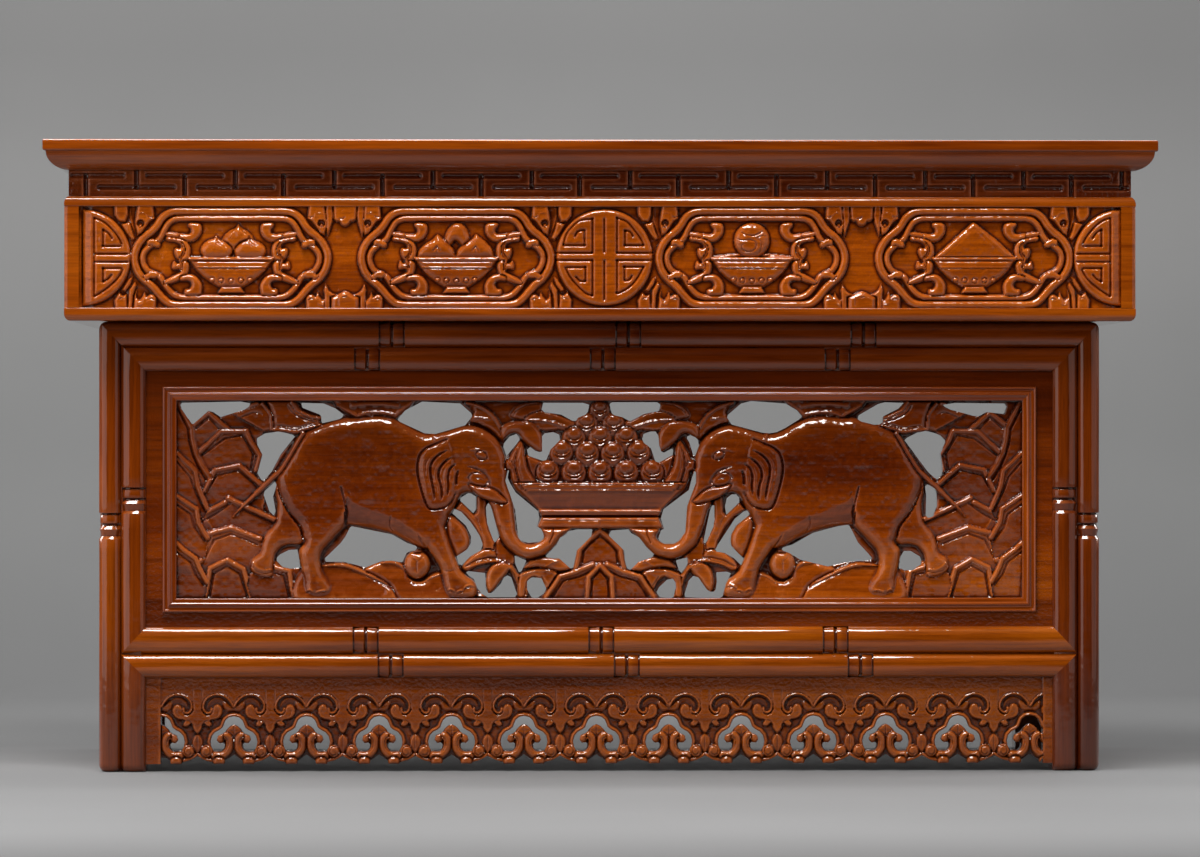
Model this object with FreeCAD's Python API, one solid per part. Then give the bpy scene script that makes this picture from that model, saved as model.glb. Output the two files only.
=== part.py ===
import FreeCAD, Part
import math
import os
from FreeCAD import Vector

os.makedirs("parts", exist_ok=True)

# Low carved table. Millimetres, +X to the right, +Y to the back, +Z up.
# Origin: centre of the footprint, on the floor.

# ---------------------------------------------------------------- sizes
TOP_W = 885.0            # table top, left to right
TOP_D = 430.0            # table top, front to back
HEIGHT = 503.5           # floor to table top
EDGE_H = 9.0             # square edge of the top
OVOLO_W, OVOLO_H = 18.0, 14.6   # thumb moulding under the edge
TOP_Z0 = 479.4           # underside of the top frame
TOP_RAIL_W = 62.0        # width of the top's frame rails

WAIST_W, WAIST_D = 846.0, 391.8      # outside of the waist
WAIST_T = 12.0
BOX_W, BOX_D = 853.0, 398.8          # outside of the box apron
BOX_Z0, BOX_Z1 = 360.0, 459.2
BOX_RAIL_B = 10.3        # thickness of its lower frame
BOX_RAIL_T = 8.4         # thickness of its upper frame
BOX_FRAME_W = 64.0       # width of the lower frame
BOX_FRAME_TW = 36.0      # width of the upper frame
BOX_POST = 24.0          # corner post, square
BOX_STILE = 11.7         # part of the post that shows
BOX_REC = 2.0            # carved panels lie this far back
BOX_PANEL_T = 14.0

LEG_FW, LEG_FD = 801.6, 347.4        # outside of the leg frame
LEG = 37.7               # leg, square
CANE_OUT = 17.6          # corner cane, diameter
RAIL_H = 39.6            # upper rail, height
RAIL_OUT = 20.6          # its outer cane
LOW_Z0, LOW_Z1 = 75.0, 115.7         # lower rail
LOW_UP = 21.5            # its upper cane
CANE_D = 8.0             # how far a cane bulges
PANEL_Y = 7.7            # openwork panel lies this far behind the leg faces
PANEL_T = 12.0
BEAD_W, BEAD_H = 11.3, 4.4
BEAD_IN = 13.1           # flat border outside the beading
LACE_T = 10.0
LACE_Z0 = 6.0
TOP_CLEAR = 0.0

HX, HY = LEG_FW / 2.0, LEG_FD / 2.0
IX, IY = HX - LEG, HY - LEG          # inside faces of the legs


# ---------------------------------------------------------------- helpers
def block(x0, x1, y0, y1, z0, z1):
    return Part.makeBox(x1 - x0, y1 - y0, z1 - z0, Vector(x0, y0, z0))


def face(points):
    pts = [Vector(*p) for p in points]
    return Part.Face(Part.makePolygon(pts + [pts[0]]))


def prism_xz(pts, y0, y1):
    return face([(x, y0, z) for x, z in pts]).extrude(Vector(0, y1 - y0, 0))


def prism_yz(pts, x0, x1):
    return face([(x0, y, z) for y, z in pts]).extrude(Vector(x1 - x0, 0, 0))


def prism_xy(pts, z0, z1):
    return face([(x, y, z0) for x, y in pts]).extrude(Vector(0, 0, z1 - z0))


def flip_x(s):
    return s.mirror(Vector(0, 0, 0), Vector(1, 0, 0))


def flip_y(s):
    return s.mirror(Vector(0, 0, 0), Vector(0, 1, 0))


def out(name, shape):
    if shape.ShapeType in ("Compound", "CompSolid") and len(shape.Solids) == 1:
        shape = shape.Solids[0]
    bad = "" if shape.isValid() and all(s.isClosed() for s in shape.Shells) else "  NOT VALID"
    b = shape.BoundBox
    print("%-26s solids %d  %8.1f cm3  x %.1f %.1f  y %.1f %.1f  z %.1f %.1f%s" % (
        name, len(shape.Solids), shape.Volume / 1000, b.XMin, b.XMax, b.YMin, b.YMax, b.ZMin, b.ZMax, bad))
    shape.exportStep("parts/%s.step" % name)
    NODES[name] = shape


NODES = {}


def wedge(w, d):
    """Plan of the front member of a mitred frame: its ends are cut at 45 degrees."""
    big = 400.0
    hw, hd = w / 2.0, d / 2.0
    return prism_xy([(-hw - big, -hd - big), (hw + big, -hd - big), (hw - hd, 0), (-hw + hd, 0)], -50, 700)


def wedge_side(w, d):
    big = 400.0
    hw, hd = w / 2.0, d / 2.0
    return prism_xy([(-hw - big, -hd - big), (-hw + hd, 0), (-hw - big, hd + big)], -50, 700)


def frame4(prefix, w, d, profile, cut_front=None, cut_side=None):
    """Four mitred members. profile: points (inset from the outside, z)."""
    hw, hd = w / 2.0, d / 2.0
    f = prism_yz([(-hd + a, z) for a, z in profile], -hw, hw).common(wedge(w, d))
    s = prism_xz([(-hw + a, z) for a, z in profile], -hd, hd).common(wedge_side(w, d))
    if cut_front:
        for c in cut_front:
            f = f.cut(c)
    if cut_side:
        for c in cut_side:
            s = s.cut(c)
    return {prefix + "_front": f, prefix + "_back": flip_y(f), prefix + "_left": s, prefix + "_right": flip_x(s)}


# ---------------------------------------------------------------- table top
def top_profile():
    z1, z0 = HEIGHT, TOP_Z0
    zs = HEIGHT - EDGE_H
    p = [(TOP_RAIL_W, z1 - 0.6), (TOP_RAIL_W - 0.6, z1), (2.6, z1)]
    for k in range(1, 6):
        a = math.radians(90 - 18 * k)
        p.append((2.6 - 2.6 * math.cos(a), z1 - 2.6 + 2.6 * math.sin(a)))
    p += [(0, zs + 1.6), (0.5, zs + 0.5), (1.6, zs), (3.4, zs)]
    for k in range(1, 15):
        a = math.radians(90 * k / 14.0)
        p.append((3.4 + OVOLO_W * (1 - math.cos(a)), zs - 0.5 - OVOLO_H * math.sin(a)))
    p += [(TOP_RAIL_W, z0)]
    # groove for the panel's tongue
    p += [(TOP_RAIL_W, 489.0), (TOP_RAIL_W - 8, 489.0), (TOP_RAIL_W - 8, 495.2), (TOP_RAIL_W, 495.2)]
    return p


px, py = TOP_W / 2 - TOP_RAIL_W, TOP_D / 2 - TOP_RAIL_W     # half size of the panel's field
BAT_X = (-215.0, 0.0, 215.0)
batten_tenons = [block(x - 9, x + 9, -py - 14, -py, 481.0, 486.0) for x in BAT_X]
batten_slots = [block(x - 15, x + 15, -py - 0.5, py + 0.5, TOP_Z0, 488.0) for x in BAT_X]
post_t = (BOX_W / 2 - 17, BOX_D / 2 - 17)          # stub tenon of the box's corner post
stub = block(-post_t[0] - 5, -post_t[0] + 5, -post_t[1] - 5, -post_t[1] + 5, BOX_Z1, 487.0)

tops = frame4("top_rail", TOP_W, TOP_D, top_profile(),
              cut_front=batten_tenons + [stub, flip_x(stub)], cut_side=[stub, flip_y(stub)])
for n, s in tops.items():
    out(n, s)

panel = block(-px + 0.3, px - 0.3, -py + 0.3, py - 0.3, 487.6, HEIGHT - 0.15)
panel = panel.makeChamfer(0.6, [e for e in panel.Edges if abs(e.CenterOfMass.z - (HEIGHT - 0.15)) < 0.01 and e.Length > 50])
panel = panel.fuse(block(-px - 7, px + 7, -py - 7, py + 7, 489.2, 495.0)).removeSplitter()
battens = []
for x in BAT_X:
    tail = prism_xz([(x - 9, 487.6), (x + 9, 487.6), (x + 12, 490.6), (x - 12, 490.6)], -py, py)
    b = block(x - 15, x + 15, -py, py, TOP_Z0 + 0.6, 487.6).fuse(tail)
    for t in batten_tenons:
        if abs(t.CenterOfMass.x - x) < 1:
            b = b.fuse(t).fuse(flip_y(t))
    battens.append(b.removeSplitter())
    panel = panel.cut(prism_xz([(x - 9, 480), (x + 9, 480), (x + 9, 487.6), (x + 12, 490.6), (x - 12, 490.6), (x - 9, 487.6)], -py, py))
out("top_panel", panel)
for n, b in zip(("batten_left", "batten_middle", "batten_right"), battens):
    out(n, b)

# ---------------------------------------------------------------- waist with its fret
FRET_P = 78.5            # length of one repeat
FRET_T0, FRET_I0 = -17.0, 23.3       # upright and hanging T of the middle repeat
FRET_G, FRET_DEEP = 4.4, 1.6         # groove width and depth
WZ0, WZ1 = BOX_Z1, TOP_Z0


def fret(x0, x1, yf, side=False):
    """Grooves of the fret on a face that looks to -Y, between x0 and x1."""
    g = []
    for k in range(-6, 7):
        xt = (0.0 if side else FRET_T0) + FRET_P * k
        xi = xt + (FRET_P / 2 if side else FRET_I0 - FRET_T0)
        for a, b, c, d in ((xt - 29.4, xt + 29.4, 473.1, 473.1 + FRET_G), (xt - FRET_G / 2, xt + FRET_G / 2, WZ0 + 0.1, 473.1),
                           (xi - 30.2, xi + 30.2, 464.0, 464.0 + FRET_G), (xi - FRET_G / 2, xi + FRET_G / 2, 464.0 + FRET_G, WZ1 - 0.1)):
            a, b = max(a, x0), min(b, x1)
            if b - a > 2:
                g.append(block(a, b, yf - 1, yf + FRET_DEEP, c, d))
    return Part.makeCompound(g)


hw, hd = WAIST_W / 2, WAIST_D / 2
wf = block(-hw, hw, -hd, -hd + WAIST_T, WZ0, WZ1).common(wedge(WAIST_W, WAIST_D))
ws = block(-hw, -hw + WAIST_T, -hd, hd, WZ0, WZ1).common(wedge_side(WAIST_W, WAIST_D))
wb = flip_y(wf)
for g in (stub, flip_x(stub)):
    wf = wf.cut(g)
ws = ws.cut(stub).cut(flip_y(stub))
wb = wb.cut(flip_y(stub)).cut(flip_y(flip_x(stub)))
wf = wf.cut(fret(-hw + 3, hw - 3, -hd))
side_fret = fret(-hd + 3, hd - 3, -hw, side=True)
side_fret.rotate(Vector(0, 0, 0), Vector(0, 0, 1), -90)
ws = ws.cut(side_fret)
out("waist_front", wf)
out("waist_back", wb)
out("waist_left", ws)
out("waist_right", flip_x(ws))

# ---------------------------------------------------------------- box apron
zt0 = BOX_Z1 - BOX_RAIL_T
zb1 = BOX_Z0 + BOX_RAIL_B


def arc_pts(cx, cz, rx, rz, a0, a1, n):
    return [(cx + rx * math.cos(math.radians(a0 + (a1 - a0) * k / n)), cz + rz * math.sin(math.radians(a0 + (a1 - a0) * k / n))) for k in range(n + 1)]


ptop = arc_pts(4.6, BOX_Z1 - 6.4, 4.6, 6.4, 90, 180, 8) + [(0, zt0 + 1.0), (0.6, zt0), (BOX_FRAME_TW, zt0), (BOX_FRAME_TW, BOX_Z1)]
pbot = arc_pts(4.6, BOX_Z0 + 5.6, 4.6, 5.6, 180, 270, 8) + [(BOX_FRAME_W, BOX_Z0), (BOX_FRAME_W, zb1), (0.6, zb1), (0, zb1 - 1.0)]

# corner post: square, its outer corner rounded, stub tenons at both ends
bx, by = BOX_W / 2, BOX_D / 2
post = block(-bx, -bx + BOX_POST, -by, -by + BOX_POST, zb1, zt0)
post = post.makeFillet(3.0, [e for e in post.Edges if e.Length > 50 and abs(e.CenterOfMass.x + bx) < 0.1 and abs(e.CenterOfMass.y + by) < 0.1])
pl = block(-post_t[0] - 5, -post_t[0] + 5, -post_t[1] - 5, -post_t[1] + 5, BOX_Z0 + 3, zb1)
pu = block(-post_t[0] - 5, -post_t[0] + 5, -post_t[1] - 5, -post_t[1] + 5, zt0, 486.5)
post_full = post.fuse(pl).fuse(pu).removeSplitter()

# carved panels: field plus tongues into rails and posts
fx, fy = bx - BOX_STILE, by - BOX_STILE
# (thinned at the ends, where they pass in front of the posts)
tx, ty = bx - BOX_POST - 0.5, by - BOX_POST - 0.5
pf = block(-fx, fx, -by + BOX_REC, -by + BOX_REC + 6, zb1, zt0).fuse(block(-tx, tx, -by + BOX_REC, -by + BOX_REC + BOX_PANEL_T, zb1, zt0))
ps = block(-bx + BOX_REC, -bx + BOX_REC + 6, -fy, fy, zb1, zt0).fuse(block(-bx + BOX_REC, -bx + BOX_REC + BOX_PANEL_T, -ty, ty, zb1, zt0))
tf = block(-fx - 3, fx + 3, -by + 3.5, -by + 6.5, zb1, zt0).fuse(block(-tx, tx, -by + 7, -by + 13, zb1 - 3.5, zt0 + 3.5))
ts = block(-bx + 3.5, -bx + 6.5, -fy - 3, fy + 3, zb1, zt0).fuse(block(-bx + 7, -bx + 13, -ty, ty, zb1 - 3.5, zt0 + 3.5))
post_corner = block(-bx, -bx + BOX_POST, -by, -by + BOX_POST, 0, 600)

pf_full = pf.fuse(tf).removeSplitter()
ps_full = ps.fuse(ts).removeSplitter()
groove = tf.fuse(ts)
skin_f = block(-bx + BOX_STILE, -bx + BOX_POST + 1, -by - 1, -by + BOX_REC, zb1, zt0)
skin_s = block(-bx - 1, -bx + BOX_REC, -by + BOX_STILE, -by + BOX_POST + 1, zb1, zt0)
post_full = post_full.cut(pf).cut(ps).cut(groove).cut(skin_f).cut(skin_s)

bots = frame4("box_bottom_rail", BOX_W, BOX_D, pbot, cut_front=[tf, pl, flip_x(pl)], cut_side=[ts, pl, flip_y(pl)])
upps = frame4("box_top_rail", BOX_W, BOX_D, ptop, cut_front=[tf, pu, flip_x(pu)], cut_side=[ts, pu, flip_y(pu)])


# cartouche: lobed frame round an offering bowl (x, z about its centre; half a width, half a height)
def cartouche(w):
    k = w / 160.0
    q = [(49, 39.2), (56.5, 34), (59.5, 26.3), (68.6, 21.8), (76.2, 11.3), (79.4, 0), (76.2, -13), (66, -24), (57, -28.4), (50, -38)]
    mid = 80.0 * k - 80.0
    right = [(x + mid if x > 20 else x, z) for x, z in q]
    left = [(-x, z) for x, z in reversed(right)]
    return right + left


def recess(points, inset, cx, cz):
    pts = [(x * (1 - inset / 79.0), z * (1 - inset / 39.0)) for x, z in points]
    return [(cx + x, cz + z) for x, z in pts]


CARD_X = (-294.0, -115.0, 121.5, 299.5)      # centres of the four cartouches
CARD_W = (161.5, 158.0, 155.0, 159.5)
CARD_Z = 411.2
MED_R = 38.8                                 # medallion
for x, w in zip(CARD_X, CARD_W):
    pf_full = pf_full.cut(prism_xz(recess(cartouche(w), 8.5, x, CARD_Z), -by - 1, -by + BOX_REC + 3.5))
    bowl = prism_xz([(x - 34, CARD_Z + 1), (x + 34, CARD_Z + 1), (x + 28, CARD_Z - 14), (x + 14, CARD_Z - 24), (x + 15, CARD_Z - 29),
                     (x - 15, CARD_Z - 29), (x - 14, CARD_Z - 24), (x - 28, CARD_Z - 14)], -by + BOX_REC + 0.8, -by + BOX_REC + 4)
    pf_full = pf_full.fuse(bowl)
med = Part.makeCylinder(MED_R - 4, 5, Vector(3.5, -by + BOX_REC - 1, CARD_Z), Vector(0, 1, 0)).cut(
    Part.makeCylinder(MED_R - 7, 5, Vector(3.5, -by + BOX_REC - 1, CARD_Z), Vector(0, 1, 0)))
ring = med.common(block(-60, 60, -by + BOX_REC - 1, -by + BOX_REC + 1.6, zb1, zt0))
pf_full = pf_full.cut(ring).removeSplitter()
for y in (-88.0, 88.0):
    pts = recess(cartouche(148.0), 8.5, y, CARD_Z)
    ps_full = ps_full.cut(prism_yz(pts, -bx - 1, -bx + BOX_REC + 3.5))
pb_full = flip_y(pf.fuse(tf).removeSplitter())

# leg tops pass a stub tenon into the lower frame
lt = block(-HX + 12, -HX + 26, -HY + 12, -HY + 26, BOX_Z0 - 8, BOX_Z0 + 6)
for n in ("front", "back", "left", "right"):
    s = bots["box_bottom_rail_" + n]
    for q in (lt, flip_x(lt), flip_y(lt), flip_x(flip_y(lt))):
        s = s.cut(q)
    out("box_bottom_rail_" + n, s)
for n, s in upps.items():
    out(n, s)
out("box_post_front_left", post_full)
out("box_post_front_right", flip_x(post_full))
out("box_post_back_left", flip_y(post_full))
out("box_post_back_right", flip_x(flip_y(post_full)))
out("box_panel_front", pf_full)
out("box_panel_back", pb_full)
out("box_panel_left", ps_full)
out("box_panel_right", flip_x(ps_full))


# ---------------------------------------------------------------- leg frame
def cane_xy(cx, cy, rx, ry, n=28):
    return [(cx + rx * math.cos(2 * math.pi * k / n), cy + ry * math.sin(2 * math.pi * k / n)) for k in range(n)]


def leg_bar(z0, z1):
    """Front left leg: corner cane, an inner cane on each outer face, square core."""
    r = CANE_OUT / 2
    iw = LEG - CANE_OUT
    core = block(-HX + 4.2, -HX + LEG, -HY + 4.2, -HY + LEG, z0, z1)
    c = Part.makeCylinder(r, z1 - z0, Vector(-HX + r, -HY + r, z0))
    a = prism_xy(cane_xy(-HX + CANE_OUT + iw / 2, -HY + CANE_D, iw / 2, CANE_D), z0, z1)
    b = prism_xy(cane_xy(-HX + CANE_D, -HY + CANE_OUT + iw / 2, CANE_D, iw / 2), z0, z1)
    return core.fuse(c).fuse(a).fuse(b).removeSplitter()


def rail_bar(hx, hy, z1, h_up, h_low, x0, x1):
    """Rail along X whose front is two canes, one above the other."""
    z0 = z1 - h_up - h_low
    core = block(x0, x1, -hy + 4.2, -hy + LEG, z0, z1)
    a = prism_yz([(y, z) for y, z in cane_xy(-hy + CANE_D, z1 - h_up / 2, CANE_D, h_up / 2)], x0, x1)
    b = prism_yz([(y, z) for y, z in cane_xy(-hy + CANE_D, z0 + h_low / 2, CANE_D, h_low / 2)], x0, x1)
    return core.fuse(a).fuse(b).removeSplitter()


def turn_side(s):
    """A front member made about the middle, turned to face -X (front goes left)."""
    t = s.copy()
    t.rotate(Vector(0, 0, 0), Vector(0, 0, 1), -90)
    return t


kz = LEG / RAIL_H
zc = BOX_Z0
# mitre planes of the three-way corner joint, as prisms that keep one member
keep_leg = prism_xz([(-HX - 1, zc + 1 / kz), (-HX + LEG, zc - RAIL_H), (-HX + LEG, zc - RAIL_H - 5), (-HX + LEG + 5, -5), (-HX - 1, -5)], -HY - 5, -HY + LEG + 5).common(
    prism_yz([(-HY - 1, zc + 1 / kz), (-HY + LEG, zc - RAIL_H), (-HY + LEG, zc - RAIL_H - 5), (-HY + LEG + 5, -5), (-HY - 1, -5)], -HX - 5, -HX + LEG + 5))
leg = leg_bar(0, zc).common(keep_leg)
stub_leg = block(-HX + 12, -HX + 26, -HY + 12, -HY + 26, zc - RAIL_H - 1, BOX_Z0 + 6)

# upper rail, front: full length bar, ends kept above the mitres
upper = rail_bar(HX, HY, zc, RAIL_OUT, RAIL_H - RAIL_OUT, -HX, HX)
keep_up = prism_xz([(-HX, zc), (-HX + LEG, zc - RAIL_H), (HX - LEG, zc - RAIL_H), (HX, zc)], -HY - 5, -HY + LEG).common(
    prism_xy([(-HX, -HY), (HX, -HY), (HX - LEG, -HY + LEG), (-HX + LEG, -HY + LEG)], zc - RAIL_H - 5, zc + 5))
upper = upper.common(keep_up)
side_bar = turn_side(rail_bar(HX, HX, zc, RAIL_OUT, RAIL_H - RAIL_OUT, -HY, HY))
keep_side = prism_yz([(-HY, zc), (-HY + LEG, zc - RAIL_H), (HY - LEG, zc - RAIL_H), (HY, zc)], -HX - 5, -HX + LEG).common(
    prism_xy([(-HX, -HY), (-HX + LEG, -HY + LEG), (-HX + LEG, HY - LEG), (-HX, HY)], zc - RAIL_H - 5, zc + 5))
upper_side = side_bar.common(keep_side)

# lower rail: pointed shoulders over the legs' inner canes, tenons behind them
LOW_H = LOW_Z1 - LOW_Z0
iw = LEG - CANE_OUT
zmid = LOW_Z1 - LOW_UP
low_bar = rail_bar(HX, HY, LOW_Z1, LOW_UP, LOW_H - LOW_UP, -HX, HX)
tip = prism_xz([(-IX, LOW_Z1), (-IX - iw, zmid), (-IX, LOW_Z0), (IX, LOW_Z0), (IX + iw, zmid), (IX, LOW_Z1)], -HY - 5, -HY + 11.5)
body = block(-IX, IX, -HY - 5, -HY + LEG, LOW_Z0, LOW_Z1)
lower = low_bar.common(tip.fuse(body))
ten_f = block(-IX - 22, IX + 22, -HY + 15, -HY + 25, zmid + 2, LOW_Z1 - 4)
lower = lower.fuse(ten_f).removeSplitter()
low_bar_s = turn_side(rail_bar(HX, HX, LOW_Z1, LOW_UP, LOW_H - LOW_UP, -HY, HY))
tip_s = prism_yz([(-IY, LOW_Z1), (-IY - iw, zmid), (-IY, LOW_Z0), (IY, LOW_Z0), (IY + iw, zmid), (IY, LOW_Z1)], -HX - 5, -HX + 11.5)
body_s = block(-HX - 5, -HX + LEG, -IY, IY, LOW_Z0, LOW_Z1)
lower_s = low_bar_s.common(tip_s.fuse(body_s))
ten_s = block(-HX + 15, -HX + 25, -IY - 22, IY + 22, LOW_Z0 + 4, zmid - 2)
lower_s = lower_s.fuse(ten_s).removeSplitter()

# openwork panels, beadings and lace
PY0 = -HY + PANEL_Y                   # front face of the openwork
PX0 = -HX + PANEL_Y
OPENX, OPENZ0, OPENZ1 = 339.7, 139.0, 295.9
tong_f = block(-IX - 4, IX + 4, PY0 + 3, PY0 + 9, LOW_Z1 - 4, zc - RAIL_H + 4)
tong_s = block(PX0 + 3, PX0 + 9, -IY - 4, IY + 4, LOW_Z1 - 4, zc - RAIL_H + 4)

OPENINGS = [
[(-280, 294.5), (-281, 292), (-284.5, 289.5), (-304, 283.5), (-310, 287.5), (-313.5, 288.5), (-325.5, 278), (-327, 278), (-335, 290), (-336, 293.5), (-335, 295), (-288, 296)],
    [(-271, 232.5), (-274.5, 238.5), (-270.5, 253.5), (-274.5, 261), (-275, 266.5), (-268.5, 270.5), (-257.5, 272), (-246.5, 269.5), (-244.5, 268), (-256, 253.5), (-263, 240), (-268.5, 233.5)],
    [(-261.5, 204.5), (-265, 208), (-269.5, 221), (-269, 224), (-260.5, 232), (-259, 229.5), (-262, 220), (-260, 208)],
    [(-240, 163), (-248, 162), (-254.5, 163.5), (-259, 168), (-259, 171), (-256.5, 173.5), (-249.5, 177), (-242.5, 177.5)],
    [(-239.5, 295), (-221.5, 294.5), (-212, 290.5), (-205.5, 285.5), (-206.5, 283.5), (-208.5, 282), (-223, 278.5), (-223.5, 284), (-224.5, 285.5), (-238.5, 291)],
    [(-146.5, 179), (-148, 176.5), (-152, 176), (-155, 174.5), (-158.5, 167), (-167, 168.5), (-175, 168), (-188, 163), (-205.5, 167.5), (-220, 167.5), (-220.5, 170.5), (-208, 182.5), (-204, 188), (-200.5, 195), (-199, 196), (-167, 189.5), (-154.5, 182.5), (-148, 180.5)],
    [(-162.5, 281.5), (-156, 289), (-142.5, 296), (-112, 294.5), (-103, 286.5), (-102.5, 284), (-108, 277), (-132, 270), (-140.5, 270.5), (-160, 279.5)],
    [(-116.5, 210), (-111, 207.5), (-103.5, 199), (-96.5, 188.5), (-94, 181.5), (-95.5, 176.5), (-104.5, 171.5), (-111, 164.5), (-113.5, 166), (-115, 172), (-106.5, 177.5), (-103.5, 182.5), (-103.5, 188), (-107.5, 196.5), (-118.5, 206.5)],
    [(-101.5, 206.5), (-112, 216.5), (-112, 218.5), (-106, 222.5), (-104, 222.5), (-99.5, 220), (-99.5, 209.5)],
    [(-107.5, 159), (-105.5, 160), (-92, 158.5), (-91.5, 146), (-89.5, 142.5), (-87, 142.5), (-84.5, 144.5), (-79.5, 150), (-77, 155), (-74, 156.5), (-71, 155), (-66.5, 141.5), (-68, 139), (-90, 139), (-94, 141.5), (-97.5, 141.5), (-97.5, 143), (-95, 142), (-98, 146), (-101, 153.5), (-105, 156)],
    [(-89.5, 215), (-87.5, 212), (-81.5, 189.5), (-81, 187), (-84, 183), (-85.5, 184.5), (-90.5, 198.5), (-91.5, 211)],
    [(-75, 252), (-77.5, 259.5), (-77, 262.5), (-72.5, 268), (-67, 270), (-64.5, 267), (-64.5, 265)],
    [(-68.5, 172.5), (-59, 168.5), (-63, 159.5), (-65, 159), (-68, 166)],
    [(-74, 241), (-73, 241), (-74, 235), (-72, 230.5), (-67.5, 223), (-49.5, 208), (-48.5, 202.5), (-50.5, 196), (-47, 193.5), (-45.5, 190.5), (-45, 187), (-48.5, 183.5), (-57.5, 182.5), (-63.5, 184.5), (-65.5, 187), (-68, 209.5), (-76, 232.5)],
    [(-55, 155), (-47, 154.5), (-43, 146), (-45, 142), (-50.5, 138), (-51, 137), (-55, 139), (-58.5, 145.5), (-58.5, 152)],
    [(-32.5, 269.5), (-32, 265), (-39.5, 257.5), (-43, 249), (-46, 248.5), (-57.5, 252.5), (-58.5, 257.5), (-56, 259.5), (-52, 256.5), (-48.5, 255.5), (-46.5, 256), (-46.5, 268), (-44.5, 270.5), (-37.5, 271.5)],
    [(-6, 193.5), (-7, 188), (-18.5, 176.5), (-21.5, 162.5), (-23.5, 162), (-32.5, 170), (-36.5, 170), (-43, 171), (-43.5, 172), (-35, 181), (-32, 187), (-27, 189.5), (-25.5, 192), (-18, 193.5)],
    [(-47, 289.5), (-45.5, 295), (-13.5, 295), (-8.5, 293.5), (-9.5, 288), (-11.5, 285.5), (-17.5, 283), (-19, 280.5), (-22, 280.5), (-31, 285.5), (-44.5, 287.5)],
    [(9, 192.5), (23, 193.5), (25, 190.5), (31.5, 187), (37.5, 179), (43.5, 173.5), (42, 171), (31, 167.5), (24.5, 161), (22, 162), (20, 168.5), (19.5, 176.5), (7, 188.5)],
    [(48.5, 293.5), (47.5, 288.5), (35.5, 286), (24.5, 280), (18, 283.5), (11.5, 285), (9.5, 286.5), (8, 293), (8, 294.5), (10, 295.5), (46, 295.5)],
    [(35, 270), (40.5, 272), (45, 272), (47, 268), (47.5, 261), (49, 256), (51.5, 255), (58, 258.5), (59, 257), (58.5, 253), (47.5, 247), (44.5, 248), (41, 258.5), (35, 263), (34, 266)],
    [(58.5, 154), (60.5, 151), (61, 147), (59, 139), (56.5, 138), (48, 139), (45.5, 143), (47.5, 147), (54, 153)],
    [(75.5, 240.5), (77, 239), (77, 230.5), (70, 212), (68.5, 191), (63.5, 184.5), (59.5, 182), (51.5, 182), (48.5, 184), (47, 186), (49, 192.5), (51.5, 194), (49, 202), (51, 209.5), (71.5, 225)],
    [(70, 171), (70.5, 166), (69.5, 164), (65.5, 158.5), (63.5, 160.5), (61, 168.5)],
    [(76.5, 252.5), (75, 253), (72, 263), (70, 266.5), (70, 268), (72.5, 269), (76.5, 267.5), (79, 265), (79.5, 261)],
    [(68.5, 139), (68, 141.5), (71.5, 152.5), (75, 156), (79, 155), (86, 145), (88.5, 143.5), (91.5, 143.5), (93, 145.5), (94, 151.5), (93.5, 159), (102, 159.5), (105.5, 158), (101, 149.5), (98.5, 139.5), (96.5, 138.5), (91, 138)],
    [(92, 213), (92, 201.5), (91, 195), (86, 184), (84.5, 182), (83, 183), (88.5, 208.5), (90, 212.5)],
    [(101.5, 205), (100.5, 212), (102, 218.5), (106, 221.5), (109.5, 221.5), (112, 219), (112, 215)],
    [(118.5, 208.5), (120, 206), (119.5, 204.5), (109.5, 196.5), (105.5, 189.5), (105, 184.5), (105.5, 180.5), (108, 177.5), (115.5, 170), (113.5, 164.5), (108, 170), (100.5, 174.5), (93.5, 175.5), (92.5, 177.5), (108.5, 202), (116, 208)],
    [(162.5, 284), (160, 281.5), (149.5, 275), (142.5, 271.5), (136.5, 270.5), (130.5, 271), (106, 277.5), (102, 283), (103, 285.5), (113.5, 294.5), (121.5, 296.5), (149, 294.5), (158.5, 289)],
    [(146, 177.5), (147, 179), (154.5, 181), (171.5, 190.5), (191.5, 196), (199.5, 197), (201, 196), (207.5, 183), (218.5, 171), (218.5, 169.5), (217, 168.5), (197, 167), (183.5, 163.5), (161, 169), (153, 174), (146.5, 176.5)],
    [(244.5, 295), (240.5, 290.5), (228.5, 284.5), (227, 282.5), (227, 279), (225, 277.5), (219.5, 277.5), (209.5, 280), (207, 281.5), (208, 285), (223.5, 294), (229, 295.5)],
    [(240, 163), (241.5, 171), (244.5, 176), (250, 176), (257.5, 171.5), (258.5, 168.5), (258, 165), (251, 160.5), (244.5, 160.5)],
    [(271.5, 233.5), (268.5, 235), (263.5, 240), (245, 265), (247, 267), (255, 271), (261.5, 272.5), (268.5, 271), (273.5, 269), (277.5, 265), (277.5, 262.5), (273.5, 254.5), (275, 245.5), (275, 237.5)],
    [(263.5, 229.5), (269.5, 226), (271, 221.5), (271, 212), (267.5, 203.5), (263.5, 202.5), (262, 204), (262.5, 220.5), (261.5, 228)],
    [(275.5, 293.5), (286, 295), (325.5, 294.5), (327, 292), (325, 286), (311, 287.5), (305.5, 284.5), (300.5, 284.5), (281.5, 289.5), (276.5, 292)],
]

zu = zc - RAIL_H
board = block(-IX, IX, PY0, PY0 + PANEL_T, LOW_Z1, zu).fuse(tong_f)
cut = Part.makeCompound([prism_xz(h, PY0 - 1, PY0 + PANEL_T + 1) for h in OPENINGS])
board = board.cut(cut)
out("openwork_panel_front", board)

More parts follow.
